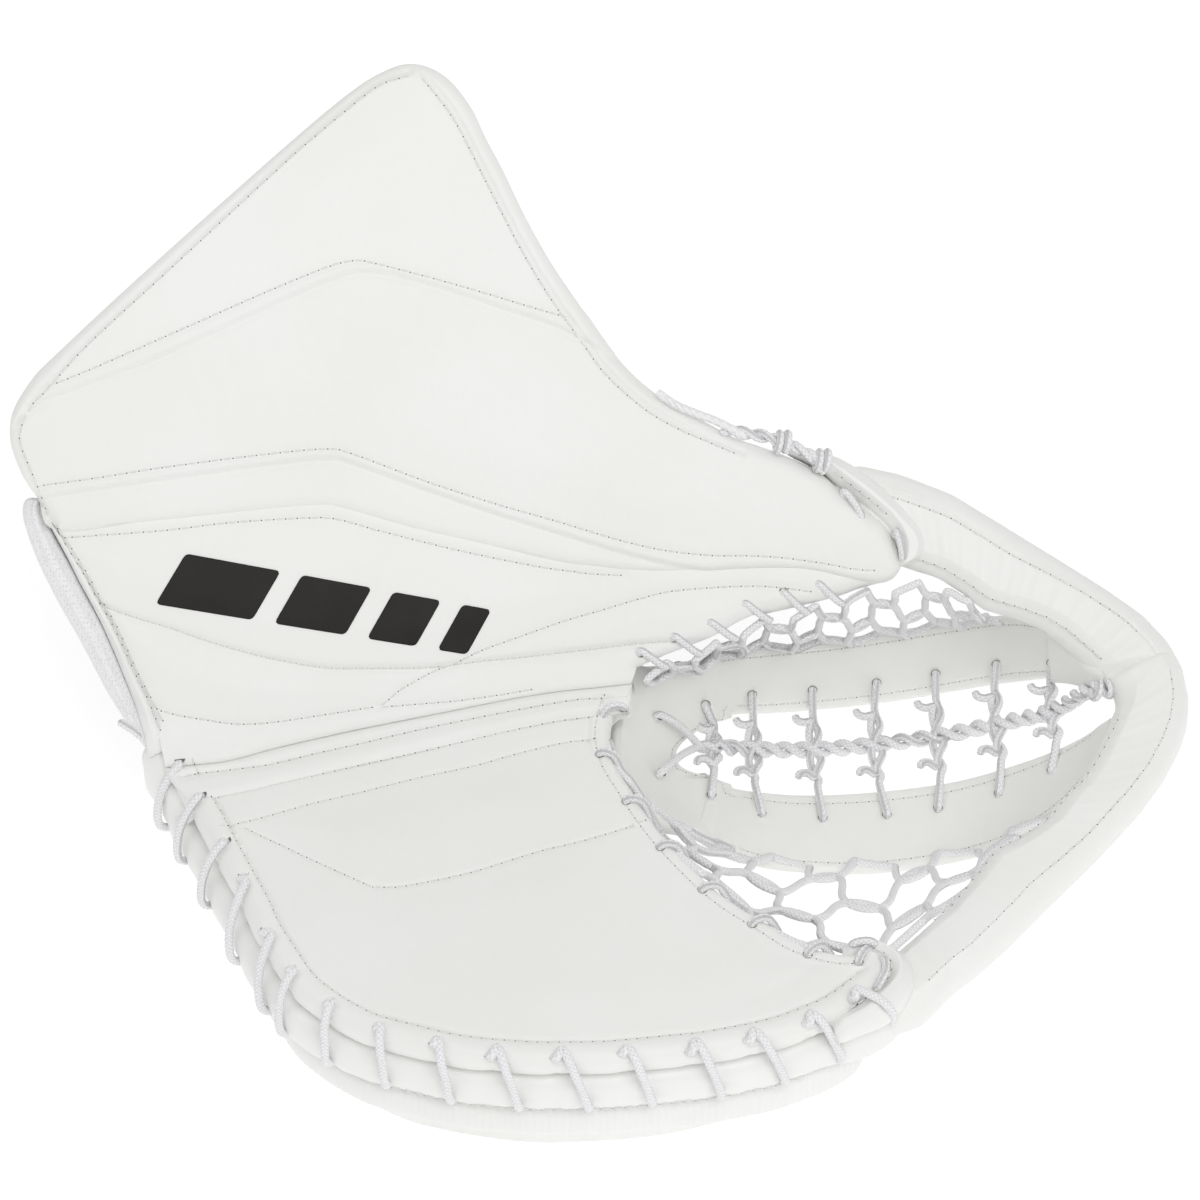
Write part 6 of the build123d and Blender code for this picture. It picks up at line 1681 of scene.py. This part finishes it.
# arc-length positions of the slot's two edges across the sheet
for i in range(46):
    pass
q_ = cols[:, -1]
L0 = length(even(spline(q_[:2], 0.5), 0.5))
ends_ = np.ones(nt)
din = np.array([np.linalg.norm(sheet_[-1] - TSI[1], axis=1).argmin(), np.linalg.norm(sheet_[-1] - FSI[1], axis=1).argmin()])
for j in range(nt):
    if din[0] - 0.5 < j < din[1] + 0.5:
        u_ = (j - din[0]) / max(din[1] - din[0], 1)
        ends_[j] = 1.0 - 0.42 * (max(1 - (2 * u_ - 1) ** 2, 0)) ** 0.5
rows_top = np.zeros((40, nt, 3))
for j in range(nt):
    c_ = sheet_[:, j]
    s_j = np.linspace(0, ends_[j] * 45, 40)
    rows_top[:, j] = np.stack([np.interp(s_j, np.arange(46), c_[:, k]) for k in range(3)], -1)
du = np.gradient(rows_top, axis=0)
dv = np.gradient(rows_top, axis=1)
nb_ = np.cross(du, dv)
nb_ /= np.linalg.norm(nb_, axis=2, keepdims=True) + 1e-9
if nb_[20, nt // 2, 2] < 0:
    nb_ = -nb_
edge_soft = np.minimum.reduce([np.broadcast_to(np.arange(nt)[None] * 1.6, (40, nt)), np.broadcast_to((nt - 1 - np.arange(nt))[None] * 1.6, (40, nt)), np.broadcast_to((39 - np.arange(40))[:, None] * 1.2, (40, nt))])
fall = round_drop(np.clip(edge_soft, 0, 3), 2.2)
topg = rows_top - nb_ * fall[..., None]
botg = rows_top - nb_ * 4.6
co = np.vstack([topg.reshape(-1, 3), botg.reshape(-1, 3)])
f1 = grid_faces(40, nt)
f2 = [tuple(v + 40 * nt for v in f[::-1]) for f in f1]
rim_idx = [j for j in range(nt)] + [i * nt + nt - 1 for i in range(1, 40)] + [39 * nt + j for j in reversed(range(nt - 1))] + [i * nt for i in reversed(range(1, 39))]
f3 = [(rim_idx[k], rim_idx[(k + 1) % len(rim_idx)], rim_idx[(k + 1) % len(rim_idx)] + 40 * nt, rim_idx[k] + 40 * nt) for k in range(len(rim_idx))]
f0 = f1[10]
if np.cross(co[f0[1]] - co[f0[0]], co[f0[2]] - co[f0[0]]) @ nb_[0, 10] < 0:
    f1 = [f[::-1] for f in f1]
    f2 = [f[::-1] for f in f2]
else:
    f3 = [f[::-1] for f in f3]
tb_ = build("t_base_leather", co, f1 + f2 + f3, "pocket_t", "leather_pocket", M_POCK)
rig.replaces(tb_, "t_base", "t_base_yoke")
# stitches round the slot's end, a few millimetres out
j0, j1 = max(din[0] - 4, 0), min(din[1] + 5, nt)
arc_pts = np.array([rows_top[35 if 0 < j - j0 < j1 - j0 - 1 else 39, j] + nb_[35, j] * 0.1 for j in range(j0, j1)])
arc_n = np.array([nb_[35, j] for j in range(j0, j1)])
stitch(("pocket_t", "base"), arc_pts, arc_n, 4.4)

# ================================================================ laces
tubes = {}


def add_tube(key, pts, r=1.55, **kw):
    tubes.setdefault(key, []).append(tube(pts, r, 9 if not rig.quick() else 7, 0.9 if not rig.quick() else 1.6, **kw))


def eyelet_shade(key, p, n_, r=1.9):
    """Dark disc painted as the shade inside a punched hole under a lace."""
    p, n_ = np.asarray(p, float), np.asarray(n_, float)
    n_ = n_ / np.linalg.norm(n_)
    a_ = np.cross(n_, (1.0, 0.2, 0.1))
    a_ /= np.linalg.norm(a_)
    b_ = np.cross(n_, a_)
    ring_ = [p + n_ * 0.14 + (a_ * math.cos(t_) + b_ * math.sin(t_)) * r for t_ in np.linspace(0, 2 * math.pi, 15)[:-1]]
    STITCH.setdefault(key, ([], []))[1].append((np.array(ring_ + [p + n_ * 0.20]), [(k, (k + 1) % 14, 14) for k in range(14)]))


for l in loops:
    add_tube("palm", l, 1.6)
    hp = np.array(l[1])
    hz = h_palm(hp[None, :2])[0] + rim(hp[0], hp[1])
    eyelet_shade(P_, (hp[0] - 0.2, hp[1] + 0.9, hz), (0, 0, 1.0), 2.0)
for l in FT_LACE:
    add_tube("palm", l, 1.5)
co, fa, uv = merge(tubes["palm"])
pe_ = build("palm_edge_laces", co, fa, "palm_side", "lace", M_LACE, uv=uv)
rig.replaces(pe_, "palm_edge_lace")


# surfaces the nets lie on
def lattice(E, B, rows, cells, r, sag, key, phase=0.0, amp=0.5, twist=1.55, ends=True, keep=None):
    """Chain-link netting between curves E and B: neighbouring laces hook round each other at staggered knots."""
    E_, B_ = even(spline(E, 1.0), n=240), even(spline(B, 1.0), n=240)

    def S(u, t, off=0.0):
        i = np.clip(u, 0, 1) * 239
        e = np.array([np.interp(i, np.arange(240), E_[:, k]) for k in range(3)])
        b = np.array([np.interp(i, np.arange(240), B_[:, k]) for k in range(3)])
        i2 = np.clip(i + 2, 0, 239)
        i1 = np.clip(i - 2, 0, 239)
        al = (np.array([np.interp(i2, np.arange(240), E_[:, k]) for k in range(3)]) - np.array([np.interp(i1, np.arange(240), E_[:, k]) for k in range(3)])) * (1 - t) + \
             (np.array([np.interp(i2, np.arange(240), B_[:, k]) for k in range(3)]) - np.array([np.interp(i1, np.arange(240), B_[:, k]) for k in range(3)])) * t
        n_ = np.cross(al, b - e)
        n_ /= np.linalg.norm(n_) + 1e-9
        if n_[2] < 0:
            n_ = -n_
        return e + (b - e) * t - n_ * (sag * 4 * t * (1 - t)) + n_ * off
    out = []
    for rI in range(rows + 1):
        pts = []
        nseg = cells * 2
        for k in range(nseg * 8 + 1):
            u = k / (nseg * 8)
            ph = (u * cells + 0.5 * (rI % 2) + phase) * 2 * math.pi
            # rounded zigzag whose tips reach past the neighbour's, over on one side and under on the other
            c_ = math.cos(ph)
            tri = math.copysign(abs(c_) ** 0.92, c_)
            wv = (amp + 0.10) / rows * tri
            t = rI / rows + wv
            if rI == 0:
                t = max(t, -0.02)
            if rI == rows:
                t = min(t, 1.02)
            jit = 0.010 * math.sin(7.1 * u + 3.0 * rI) + 0.006 * math.sin(23.0 * u + rI)
            sw = 0.32 / cells * math.sin(2 * ph) * 0.35
            off = twist * math.sin(ph) * (1 if rI % 2 else -1)
            pts.append(S(u + sw * 0.5, np.clip(t + jit, -0.03, 1.03), off))
        out.append(np.array(pts))
    for pts in out:
        add_tube(key, pts, r)
    return S


# thumb-side net
TEp = np.array(G["thumb_edge"])
te3 = np.vstack([lift3(TEp[:-1], -6.5) + (0, -1.0, 0), lift3(np.array(G["band_in_t"])[1:4], -8.0) + (0, 1.5, 0)])
bs3 = np.vstack([(20.0, 21.0, 69.5), TSO[0:8] + (0, -1.0, 1.2)])
S_t = lattice(te3, bs3, 3, 7, 1.5, 2.5, "nt", 0.1)
co, fa, uv = merge(tubes["nt"])
nt_ = build("thumb_side_net", co, fa, None, "lace", M_LACE, uv=uv)
BN = ("pocket_t", "thumb_side", (0.09, 0.0400, 0.0624), (0.09, 0.0232, 0.0896))
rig.blend(nt_, *BN)
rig.replaces(nt_, "thumb_net")

# finger-side net
A_f = np.vstack([lift3(np.array(G["pocket_edge"])[13:0:-1], -3.0) + (1.0, 0.5, 0), lift3(np.array(G["band_in_f"])[::-1][1:9], -8.0)])
B_f = np.vstack([(30.0, -38.5, 42.0), FSO[1:9] + (0, 0.8, 1.2)])
S_f = lattice(A_f, B_f, 4, 5, 1.55, 3.0, "nf", 0.35)
co, fa, uv = merge(tubes["nf"])
nf_ = build("finger_side_net", co, fa, None, "lace", M_LACE, uv=uv)
BNF = ("palm_side", "pocket_t", (0.10, -0.045, 0.075), (0.10, -0.0217, 0.0517))
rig.blend(nf_, *BNF)
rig.replaces(nf_, "finger_net")

# pocket edge lacing: short ties from the holes round the binding
PH = np.array(G["pocket_holes"])
for k, p in enumerate(PH[1:]):
    zt = rim(p[0], p[1])
    dk_, sg_, ps_, _ = seg_dist(p[None], PKE)
    i_ = int(np.argmin(np.linalg.norm(PKE - p, axis=1)))
    cpt = PKE[i_]
    tv = PKE[min(i_ + 2, len(PKE) - 1)] - PKE[max(i_ - 2, 0)]
    tv /= np.linalg.norm(tv)
    nv = np.array([tv[1], -tv[0]])
    if inside((cpt + nv * 3)[None], PALM_POLY)[0]:
        nv = -nv
    h0 = cpt - nv * 4.2
    e0 = cpt + nv * 2.4
    sl = tv * (-7.0)
    pts = [tuple(h0 - nv * 0.5) + (zt - 2.0,), tuple(h0) + (zt + 1.3,), tuple(h0 + nv * 2.2 + sl * 0.15) + (zt + 2.6,), tuple(cpt + nv * 0.9 + sl * 0.45) + (zt + 1.6,),
           tuple(e0 + sl * 0.8) + (zt - 3.0,), tuple(cpt + nv * 2.8 + sl * 1.15) + (zt - 8.0,), tuple(cpt + nv * 3.6 + sl * 1.5) + (zt - 11.0,)]
    add_tube("pk", pts, 1.5)
    eyelet_shade(P_, tuple(h0) + (float(zt + h_palm(h0[None])[0]),), (0, 0, 1.0), 1.8)
THH = np.array(G["thumb_holes"])
co, fa, uv = merge(tubes["pk"])
pk_l = build("pocket_edge_laces", co, fa, "palm_side", "lace", M_LACE, uv=uv)

# ties on the thumb edge, from hole over the edge into the net
for k, u_ in enumerate((0.03, 0.17, 0.32, 0.47, 0.62, 0.76)):
    p = np.array([np.interp(u_ * pe_te, te_cum, TE[:, q]) for q in range(2)]) if False else even(TE, n=101)[int(u_ * 100)]
    tv = even(TE, n=101)[min(int(u_ * 100) + 1, 100)] - even(TE, n=101)[max(int(u_ * 100) - 1, 0)]
    tv /= np.linalg.norm(tv)
    nv = np.array([-tv[1], tv[0]])
    if not inside((p + nv * 4)[None], LOW_POLY)[0]:
        nv = -nv
    zt = rim(p[0], p[1])
    hh = p + nv * 3.4
    pts = [tuple(hh + nv * 0.6 - tv * 0.8) + (rim(*hh) - 2.0,), tuple(hh) + (rim(*hh) + 1.5,), tuple(p + nv * 1.2 + tv * 2.6) + (zt + 2.0,), tuple(p - nv * 1.2 + tv * 5.4) + (zt - 0.6,),
           tuple(p - nv * 2.0 + tv * 9.0) + (zt - 4.4,)]
    add_tube("te", pts, 1.5)
    eyelet_shade(T_, tuple(hh) + (float(rim(*hh) + h_low(hh[None])[0]),), rim_normal(hh[0:1], hh[1:2])[0], 1.8)
co, fa, uv = merge(tubes["te"])
build("thumb_edge_laces", co, fa, "thumb_side", "lace", M_LACE, uv=uv)

# centre laces: seven ties across the slot, hooked round a twisted pair along it
ts_mid = lambda u, f: np.array([np.interp(u * 10, np.arange(11), (TSI * (1 - f) + TSO * f)[:, k]) for k in range(3)])
fs_mid = lambda u, f: np.array([np.interp(u * 10, np.arange(11), (FSI * (1 - f) + FSO * f)[:, k]) for k in range(3)])
XN = (40.0, 59.0, 83.0, 107.5, 131.0, 153.5, 172.5)


def at_x(fun, x, f):
    us = np.linspace(0, 1, 200)
    xs = np.array([fun(u, f)[0] for u in us])
    return fun(us[int(np.argmin(np.abs(xs - x)))], f)


nodes_c = []
for k, x in enumerate(XN):
    a_ = at_x(ts_mid, x, 0.34)
    b_ = at_x(fs_mid, x + (2 if k < 4 else -2), 0.34)
    a_in, b_in = at_x(ts_mid, x, 0.0), at_x(fs_mid, x, 0.0)
    up_a = np.array((0, -0.92, 0.38))
    m_ = (a_in + b_in) / 2 + np.array((0, 0, 1.5))
    nodes_c.append(m_)
    turns = 1.3
    top = [a_ - up_a * 1.0, a_ + up_a * 0.9 + (0, -0.4, 0), a_ + (a_in - a_) * 0.5 + up_a * 2.2, a_in + up_a * 1.6 + (0, -1.0, 0.6)]
    bot = [b_in + np.array((0, 1.2, 2.4)), b_in + (b_ - b_in) * 0.5 + (0, 0, 2.6), b_ + np.array((0, 0, 1.5)), b_ - np.array((0, 0, 1.5))]
    mid1, mid2 = [], []
    p0, p1 = top[-1], bot[0]
    d_ = p1 - p0
    ax_ = d_ / np.linalg.norm(d_)
    e1 = np.cross(ax_, (1.0, 0, 0))
    e1 /= np.linalg.norm(e1)
    e2 = np.cross(ax_, e1)
    for t_ in np.linspace(0.10, 0.90, 17):
        an = 2 * math.pi * turns * (t_ - 0.5) + 0.3 * k
        w_ = 2.25 * math.sin(math.pi * t_) ** 0.5
        cen = p0 + d_ * t_ + np.array((0, 0, -1.2)) * math.sin(math.pi * t_)
        mid1.append(cen + (e1 * math.cos(an) + e2 * math.sin(an)) * w_)
        mid2.append(cen - (e1 * math.cos(an) + e2 * math.sin(an)) * w_)
    add_tube("c", top + mid1 + bot, 1.6)
    # second ply with a short curl at each end, to the left
    curl_a = [mid2[0] + np.array((-6.6, 1.6, 1.6)), mid2[0] + np.array((-6.0, -0.8, 1.4)), mid2[0] + np.array((-3.2, -1.8, 1.0))]
    curl_b = [mid2[-1] + np.array((-3.2, 1.8, 1.0)), mid2[-1] + np.array((-6.0, 0.8, 1.4)), mid2[-1] + np.array((-6.6, -1.6, 1.4))]
    add_tube("c", curl_a + mid2 + curl_b, 1.6)
    eyelet_shade(("pocket_t", "straps"), a_ + up_a * 0.5, up_a, 1.9)
    eyelet_shade(("pocket_t", "straps"), b_ + np.array((0, 0, 0.5)), (0, 0.15, 1.0), 1.9)
# the twisted pair through the nodes
line_ = [np.array((36.5, 10.5, 34.5))] + nodes_c + [np.array((184.0, 2.0, 79.5)), np.array((190.5, -3.0, 84.5))]
cl = even(spline(np.array(line_), 1.0), 1.0)
tg_ = np.gradient(cl, axis=0)
tg_ /= np.linalg.norm(tg_, axis=1, keepdims=True)
e1 = np.cross(tg_, (0, 0, 1.0))
e1 /= np.linalg.norm(e1, axis=1, keepdims=True)
e2 = np.cross(tg_, e1)
ang_ = np.arange(len(cl)) * 2 * math.pi / 15.5
for sg_ in (0.0, math.pi):
    w_ = 1.85 * np.minimum(1, np.arange(len(cl)) / 6.0)[:, None]
    add_tube("c", cl + (e1 * np.cos(ang_ + sg_)[:, None] + e2 * np.sin(ang_ + sg_)[:, None]) * w_, 1.65)
# two runs out to the base holes
for q_ in ((21.5, 9.5, 53.5), (22.5, -12.0, 46.0)):
    q_ = np.array(q_)
    add_tube("c", [q_ - np.array((1.2, 0, 2.0)), q_ + np.array((0.3, 0, 1.8)), q_ * 0.5 + cl[0] * 0.5 + np.array((1.0, 0, 3.8)), cl[0] + np.array((1.0, 0, 1.0)), cl[3]], 1.5)
    eyelet_shade(("pocket_t", "straps"), q_ + np.array((0, 0, 0.9)), (0.6, 0.0, 0.8), 1.9)
# knot at the head
kc = np.array((190.0, -2.5, 86.0))
for j in range(3):
    th_ = np.linspace(0, 2 * math.pi * 0.92, 14)
    rr_ = 3.2
    ring_ = np.stack([kc[0] - 5 + 5.2 * j * 0.8 + 1.2 * np.sin(th_ * 1.0), kc[1] + rr_ * np.cos(th_ + j), kc[2] - 2.4 + 1.4 * j + rr_ * 0.8 * np.sin(th_ + j)], -1)
    add_tube("c", ring_, 1.5)
co, fa, uv = merge(tubes["c"])
tc_ = build("t_center_laces", co, fa, "pocket_t", "lace", M_LACE, uv=uv)
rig.replaces(tc_, "t_center_lace")

# thumb-tip laces: knots and passes between the guard and the board
KN = [((90.4, 56.2), (97.5, 49.6), 5.0), ((110.3, 45.2), (112.9, 38.1), 5.0)]
gz = lambda x, y: float(rim(np.array([x]), np.array([y]))[0])
for (p, q, hgt) in KN:
    p, q = np.array(p, float), np.array(q, float)
    m2 = (p + q) / 2
    add_tube("tt", [tuple(p) + (gz(*p) + 0.5,), tuple(p * 0.85 + m2 * 0.15) + (gz(*p) + hgt,), tuple(m2) + (gz(*m2) + hgt + 1.4,), tuple(q * 0.85 + m2 * 0.15) + (gz(*q) + hgt,), tuple(q) + (gz(*q) + 0.5,)], 1.5)
run_ = [(44.0, 72.6, 2.4), (53.0, 70.6, 4.2), (62.0, 69.4, 5.6), (70.0, 67.2, 6.2), (78.0, 64.6, 6.6), (83.5, 61.6, 5.0)]
for sg_ in (0.0, math.pi):
    pts_ = []
    cc_ = spline(np.array([(x_, y_, gz(x_, y_) + z_) for x_, y_, z_ in run_]), 1.0)
    for i_, c_ in enumerate(cc_):
        a__ = i_ * 2 * math.pi / 14.0 + sg_
        pts_.append(c_ + np.array((0, math.cos(a__), math.sin(a__))) * 1.35)
    add_tube("tt", np.array(pts_), 1.45)
for (x_, y_) in ((66.0, 68.2), (81.0, 63.8)):
    for j in range(2):
        th_ = np.linspace(0, 2 * math.pi * 0.95, 14)
        z0_ = gz(x_, y_) + 5.8
        add_tube("tt", np.stack([x_ + 3.0 * j + 0.8 * np.sin(th_), y_ + 3.4 * np.cos(th_), z0_ + 3.2 * np.sin(th_)], -1), 1.45)
co, fa, uv = merge(tubes["tt"])
tt_l = build("thumb_tip_laces", co, fa, "thumb_side", "lace", M_LACE, uv=uv)
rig.replaces(tt_l, "thumb_tip_lace")

# heel lace stub
hp_ = np.array(G["tails"][4:], float)
co, fa, uv = tube(hp_ + (0.8, 0.0, -0.6), 1.55)
hs_ = build("heel_lace_stub", co, fa, "thumb_side", "lace", M_LACE, uv=uv)
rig.replaces(hs_, "heel_lace_tail")

# thumb lace tail, a free end on the route of the solid
TAIL = [(53.80, 69.20, 145.90), (44.70, 72.30, 150.30), (35.30, 74.20, 153.20), (26.00, 76.60, 156.00), (20.40, 79.60, 159.37)]
cu = bpy.data.curves.new("thumb_tail", "CURVE")
cu.dimensions = "3D"
cu.bevel_depth = 0.0016
cu.bevel_resolution = 6
cu.use_fill_caps = True
cu.resolution_u = 16
sp_ = cu.splines.new("NURBS")
sp_.points.add(len(TAIL) - 1)
for i_, p in enumerate(TAIL):
    sp_.points[i_].co = (p[0] * MM, p[1] * MM, p[2] * MM, 1)
sp_.order_u = 3
sp_.use_endpoint_u = True
cu.materials.append(M_LACE3)
tail = bpy.data.objects.new("thumb_tail_lace", cu)
bpy.context.scene.collection.objects.link(tail)
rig.slot(tail, "lace")
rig.ride(tail, "thumb_side")
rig.replaces(tail, "thumb_lace_tail")
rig.cord(tail, exit=tuple(v * MM for v in TAIL[0]), length=0.03770, diameter=0.0032, far_end="bare", stiffness="limp")

# ================================================================ side binding and mesh lining
LI, LO, MO = spline(G["left_edge"], 1.2), spline(G["left_out"], 1.2), spline(G["mesh_out"], 1.2)
n_ = 90
LIx = np.vstack([LI, LI[-1] + (LI[-1] - LI[-6]) / np.linalg.norm(LI[-1] - LI[-6]) * 8.5])
LOx = np.vstack([LO, LO[-1] + (LO[-1] - LO[-6]) / np.linalg.norm(LO[-1] - LO[-6]) * 8.0])
li_, lo_ = even(LIx, n=n_), even(LOx, n=n_)
li_ = li_ + (li_ - lo_) / np.linalg.norm(li_ - lo_, axis=1, keepdims=True) * 1.8
i3 = lift3(li_, 0.9)
o3_ = lift3(lo_, -0.2)
mesh_b, at_b = ribbon(i3, o3_, rim_up, 9.5, 3.6, 0.9, ((0.22, 0.4, 0.8),), n=n_)
sb = build("cuff_side_binding_leather", mesh_b[0], mesh_b[1], "thumb_side", "leather_binding", M_BIND)
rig.replaces(sb, "cuff_side_binding")
pts_, nn_ = at_b(0.22)
stitch(T_, pts_[3:-3], nn_[3:-3], 4.3)
MOx = np.vstack([MO[0] + (MO[0] - MO[4]) / np.linalg.norm(MO[0] - MO[4]) * 5.0, MO])
mo_ = even(MOx, n=n_)
in_ = lo_ + (li_ - lo_) * 0.25
in_ = np.vstack([in_[0] + (MOx[0] - MO[0]) * 0.7, in_])
in_ = even(in_, n=n_)
s_m = np.arange(n_) * length(mo_) / n_
grow = np.sqrt(np.clip(s_m / 11.0, 0.02, 1.0) * (2 - np.clip(s_m / 11.0, 0.02, 1.0)))[:, None]
mo_ = in_ + (mo_ - in_) * grow
i3 = lift3(in_, -2.6)
o3_ = lift3(mo_, -2.8)
mesh_m, at_m = ribbon(i3, o3_, rim_up, 12.0, 5.4, 2.2, (), n=n_, extra=lambda xn, s: 0.5 * np.sin(s * 31 + xn) + 0.35 * np.sin(s * 13 + 2 * xn))
ml = build("cuff_mesh_lining_pad", mesh_m[0], mesh_m[1], "thumb_side", "mesh_fabric", M_MESH)
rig.replaces(ml, "cuff_mesh_lining")
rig.padded(ml, 0.7)


# ---------------------------------------------------------------- stalls and strap: soften the carried-over solids
def soften(name, node, body, slot_name, mat, width=1.2, seg=3, puff=0.0):
    src = frame["nodes"][node]
    me = src.data.copy()
    o = bpy.data.objects.new(name, me)
    o.matrix_world = src.matrix_world.copy()
    bpy.context.scene.collection.objects.link(o)
    me.materials.clear()
    me.materials.append(mat)
    bpy.context.view_layer.objects.active = o
    wm = o.modifiers.new("weld", "WELD")
    wm.merge_threshold = 0.00005
    dm = o.modifiers.new("planar", "DECIMATE")
    dm.decimate_type = "DISSOLVE"
    dm.angle_limit = math.radians(1.0)
    bv = o.modifiers.new("bevel", "BEVEL")
    bv.width = width * MM
    bv.segments = seg
    bv.limit_method = "ANGLE"
    bv.angle_limit = math.radians(35)
    bv.use_clamp_overlap = True
    me.polygons.foreach_set("use_smooth", [True] * len(me.polygons))
    wn = o.modifiers.new("normals", "WEIGHTED_NORMAL")
    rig.slot(o, slot_name)
    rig.ride(o, body)
    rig.replaces(o, node)
    return o


soften("finger_stalls_knit", "finger_stalls", "palm_side", "lining_dark", M_DARK, 0.5)
st_b = [frame["nodes"]["thumb_stall"].matrix_world @ Vector(c_) for c_ in frame["nodes"]["thumb_stall"].bound_box]
b0_ = np.array([min(v_[k] for v_ in st_b) for k in range(3)]) / MM
b1_ = np.array([max(v_[k] for v_ in st_b) for k in range(3)]) / MM
th_ = np.linspace(0, 2 * math.pi, 41)[:-1]
rings_ = []
for inn in (0, 1):
    w_ = 1.6 * inn
    xs_ = np.concatenate([np.linspace(b0_[0], b1_[0] - 18.0, 22), b1_[0] - 18.0 + (18.0 - w_) * np.sin(np.linspace(0, math.pi / 2 * 0.985, 14)[1:])])
    part_ = []
    for x_ in xs_:
        u_ = max((x_ - (b1_[0] - 18.0)) / (18.0 - w_), 0.0)
        k_ = math.sqrt(max(1 - u_ * u_, 0.0004)) * (1.0 + 0.012 * math.sin(x_ * 0.55) + 0.010 * math.sin(x_ * 0.23 + 1.0))
        a__, b__ = ((b1_[1] - b0_[1]) / 2 - w_) * k_, ((b1_[2] - b0_[2]) / 2 - w_) * k_
        c__, s__ = np.cos(th_), np.sin(th_)
        part_.append(np.stack([np.full(40, x_), (b0_[1] + b1_[1]) / 2 + a__ * np.sign(c__) * np.abs(c__) ** 0.72,
                               (b0_[2] + b1_[2]) / 2 + b__ * np.sign(s__) * np.abs(s__) ** 0.72], -1))
    rings_ += part_[::-1] if inn == 0 else part_
rings_ = np.array(rings_)
fa = grid_faces(len(rings_), 40, True)
fa += [tuple(range(40))[::-1], tuple((len(rings_) - 1) * 40 + k for k in range(40))]
ts_ = build("thumb_stall_knit", rings_.reshape(-1, 3), fa, "thumb_side", "mesh_fabric", M_DARK)
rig.replaces(ts_, "thumb_stall")
soften("wrist_strap_web", "wrist_strap", "wrist_strap", "webbing", M_WEB, 0.5)
soften("strap_hook_tape", "strap_hook_patch", "wrist_strap", "hook_and_loop", M_HOOK, 0.3)
soften("strap_pull_tab_rubber", "strap_pull_tab", "wrist_strap", "leather_binding", M_BIND, 0.7)
soften("strap_loop_tape", "strap_loop_patch", "palm_side", "hook_and_loop", M_HOOK, 0.3)
soften("strap_tab_web", "strap_tab", "palm_side", "webbing", M_WEB, 0.6)
soften("strap_anchor_web", "strap_anchor", "palm_side", "webbing", M_WEB, 0.6)


# ================================================================ stitches
for kind, (th, ho) in STITCH.items():
    body, tag = kind[0], kind[1]
    if th:
        co, fa = merge(th)
        o = build("stitches_%s" % tag, co, fa, None if kind[2:] else body, "lace", M_THREAD)
        if kind[2:]:
            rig.blend(o, *kind[2])
    # dark discs painted as the shade in needle and punched holes; they take the dark lining's slot
    if ho:
        co, fa = merge(ho)
        o = build("needle_holes_%s" % tag, co, fa, None if kind[2:] else body, "lining_dark", M_HOLE_SHADE)
        if kind[2:]:
            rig.blend(o, *kind[2])

json.dump({"cad": [list(map(float, v)) for v in CAD_BOX], "visual": [list(map(float, v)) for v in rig.bounds()]}, open("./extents.json", "w"))
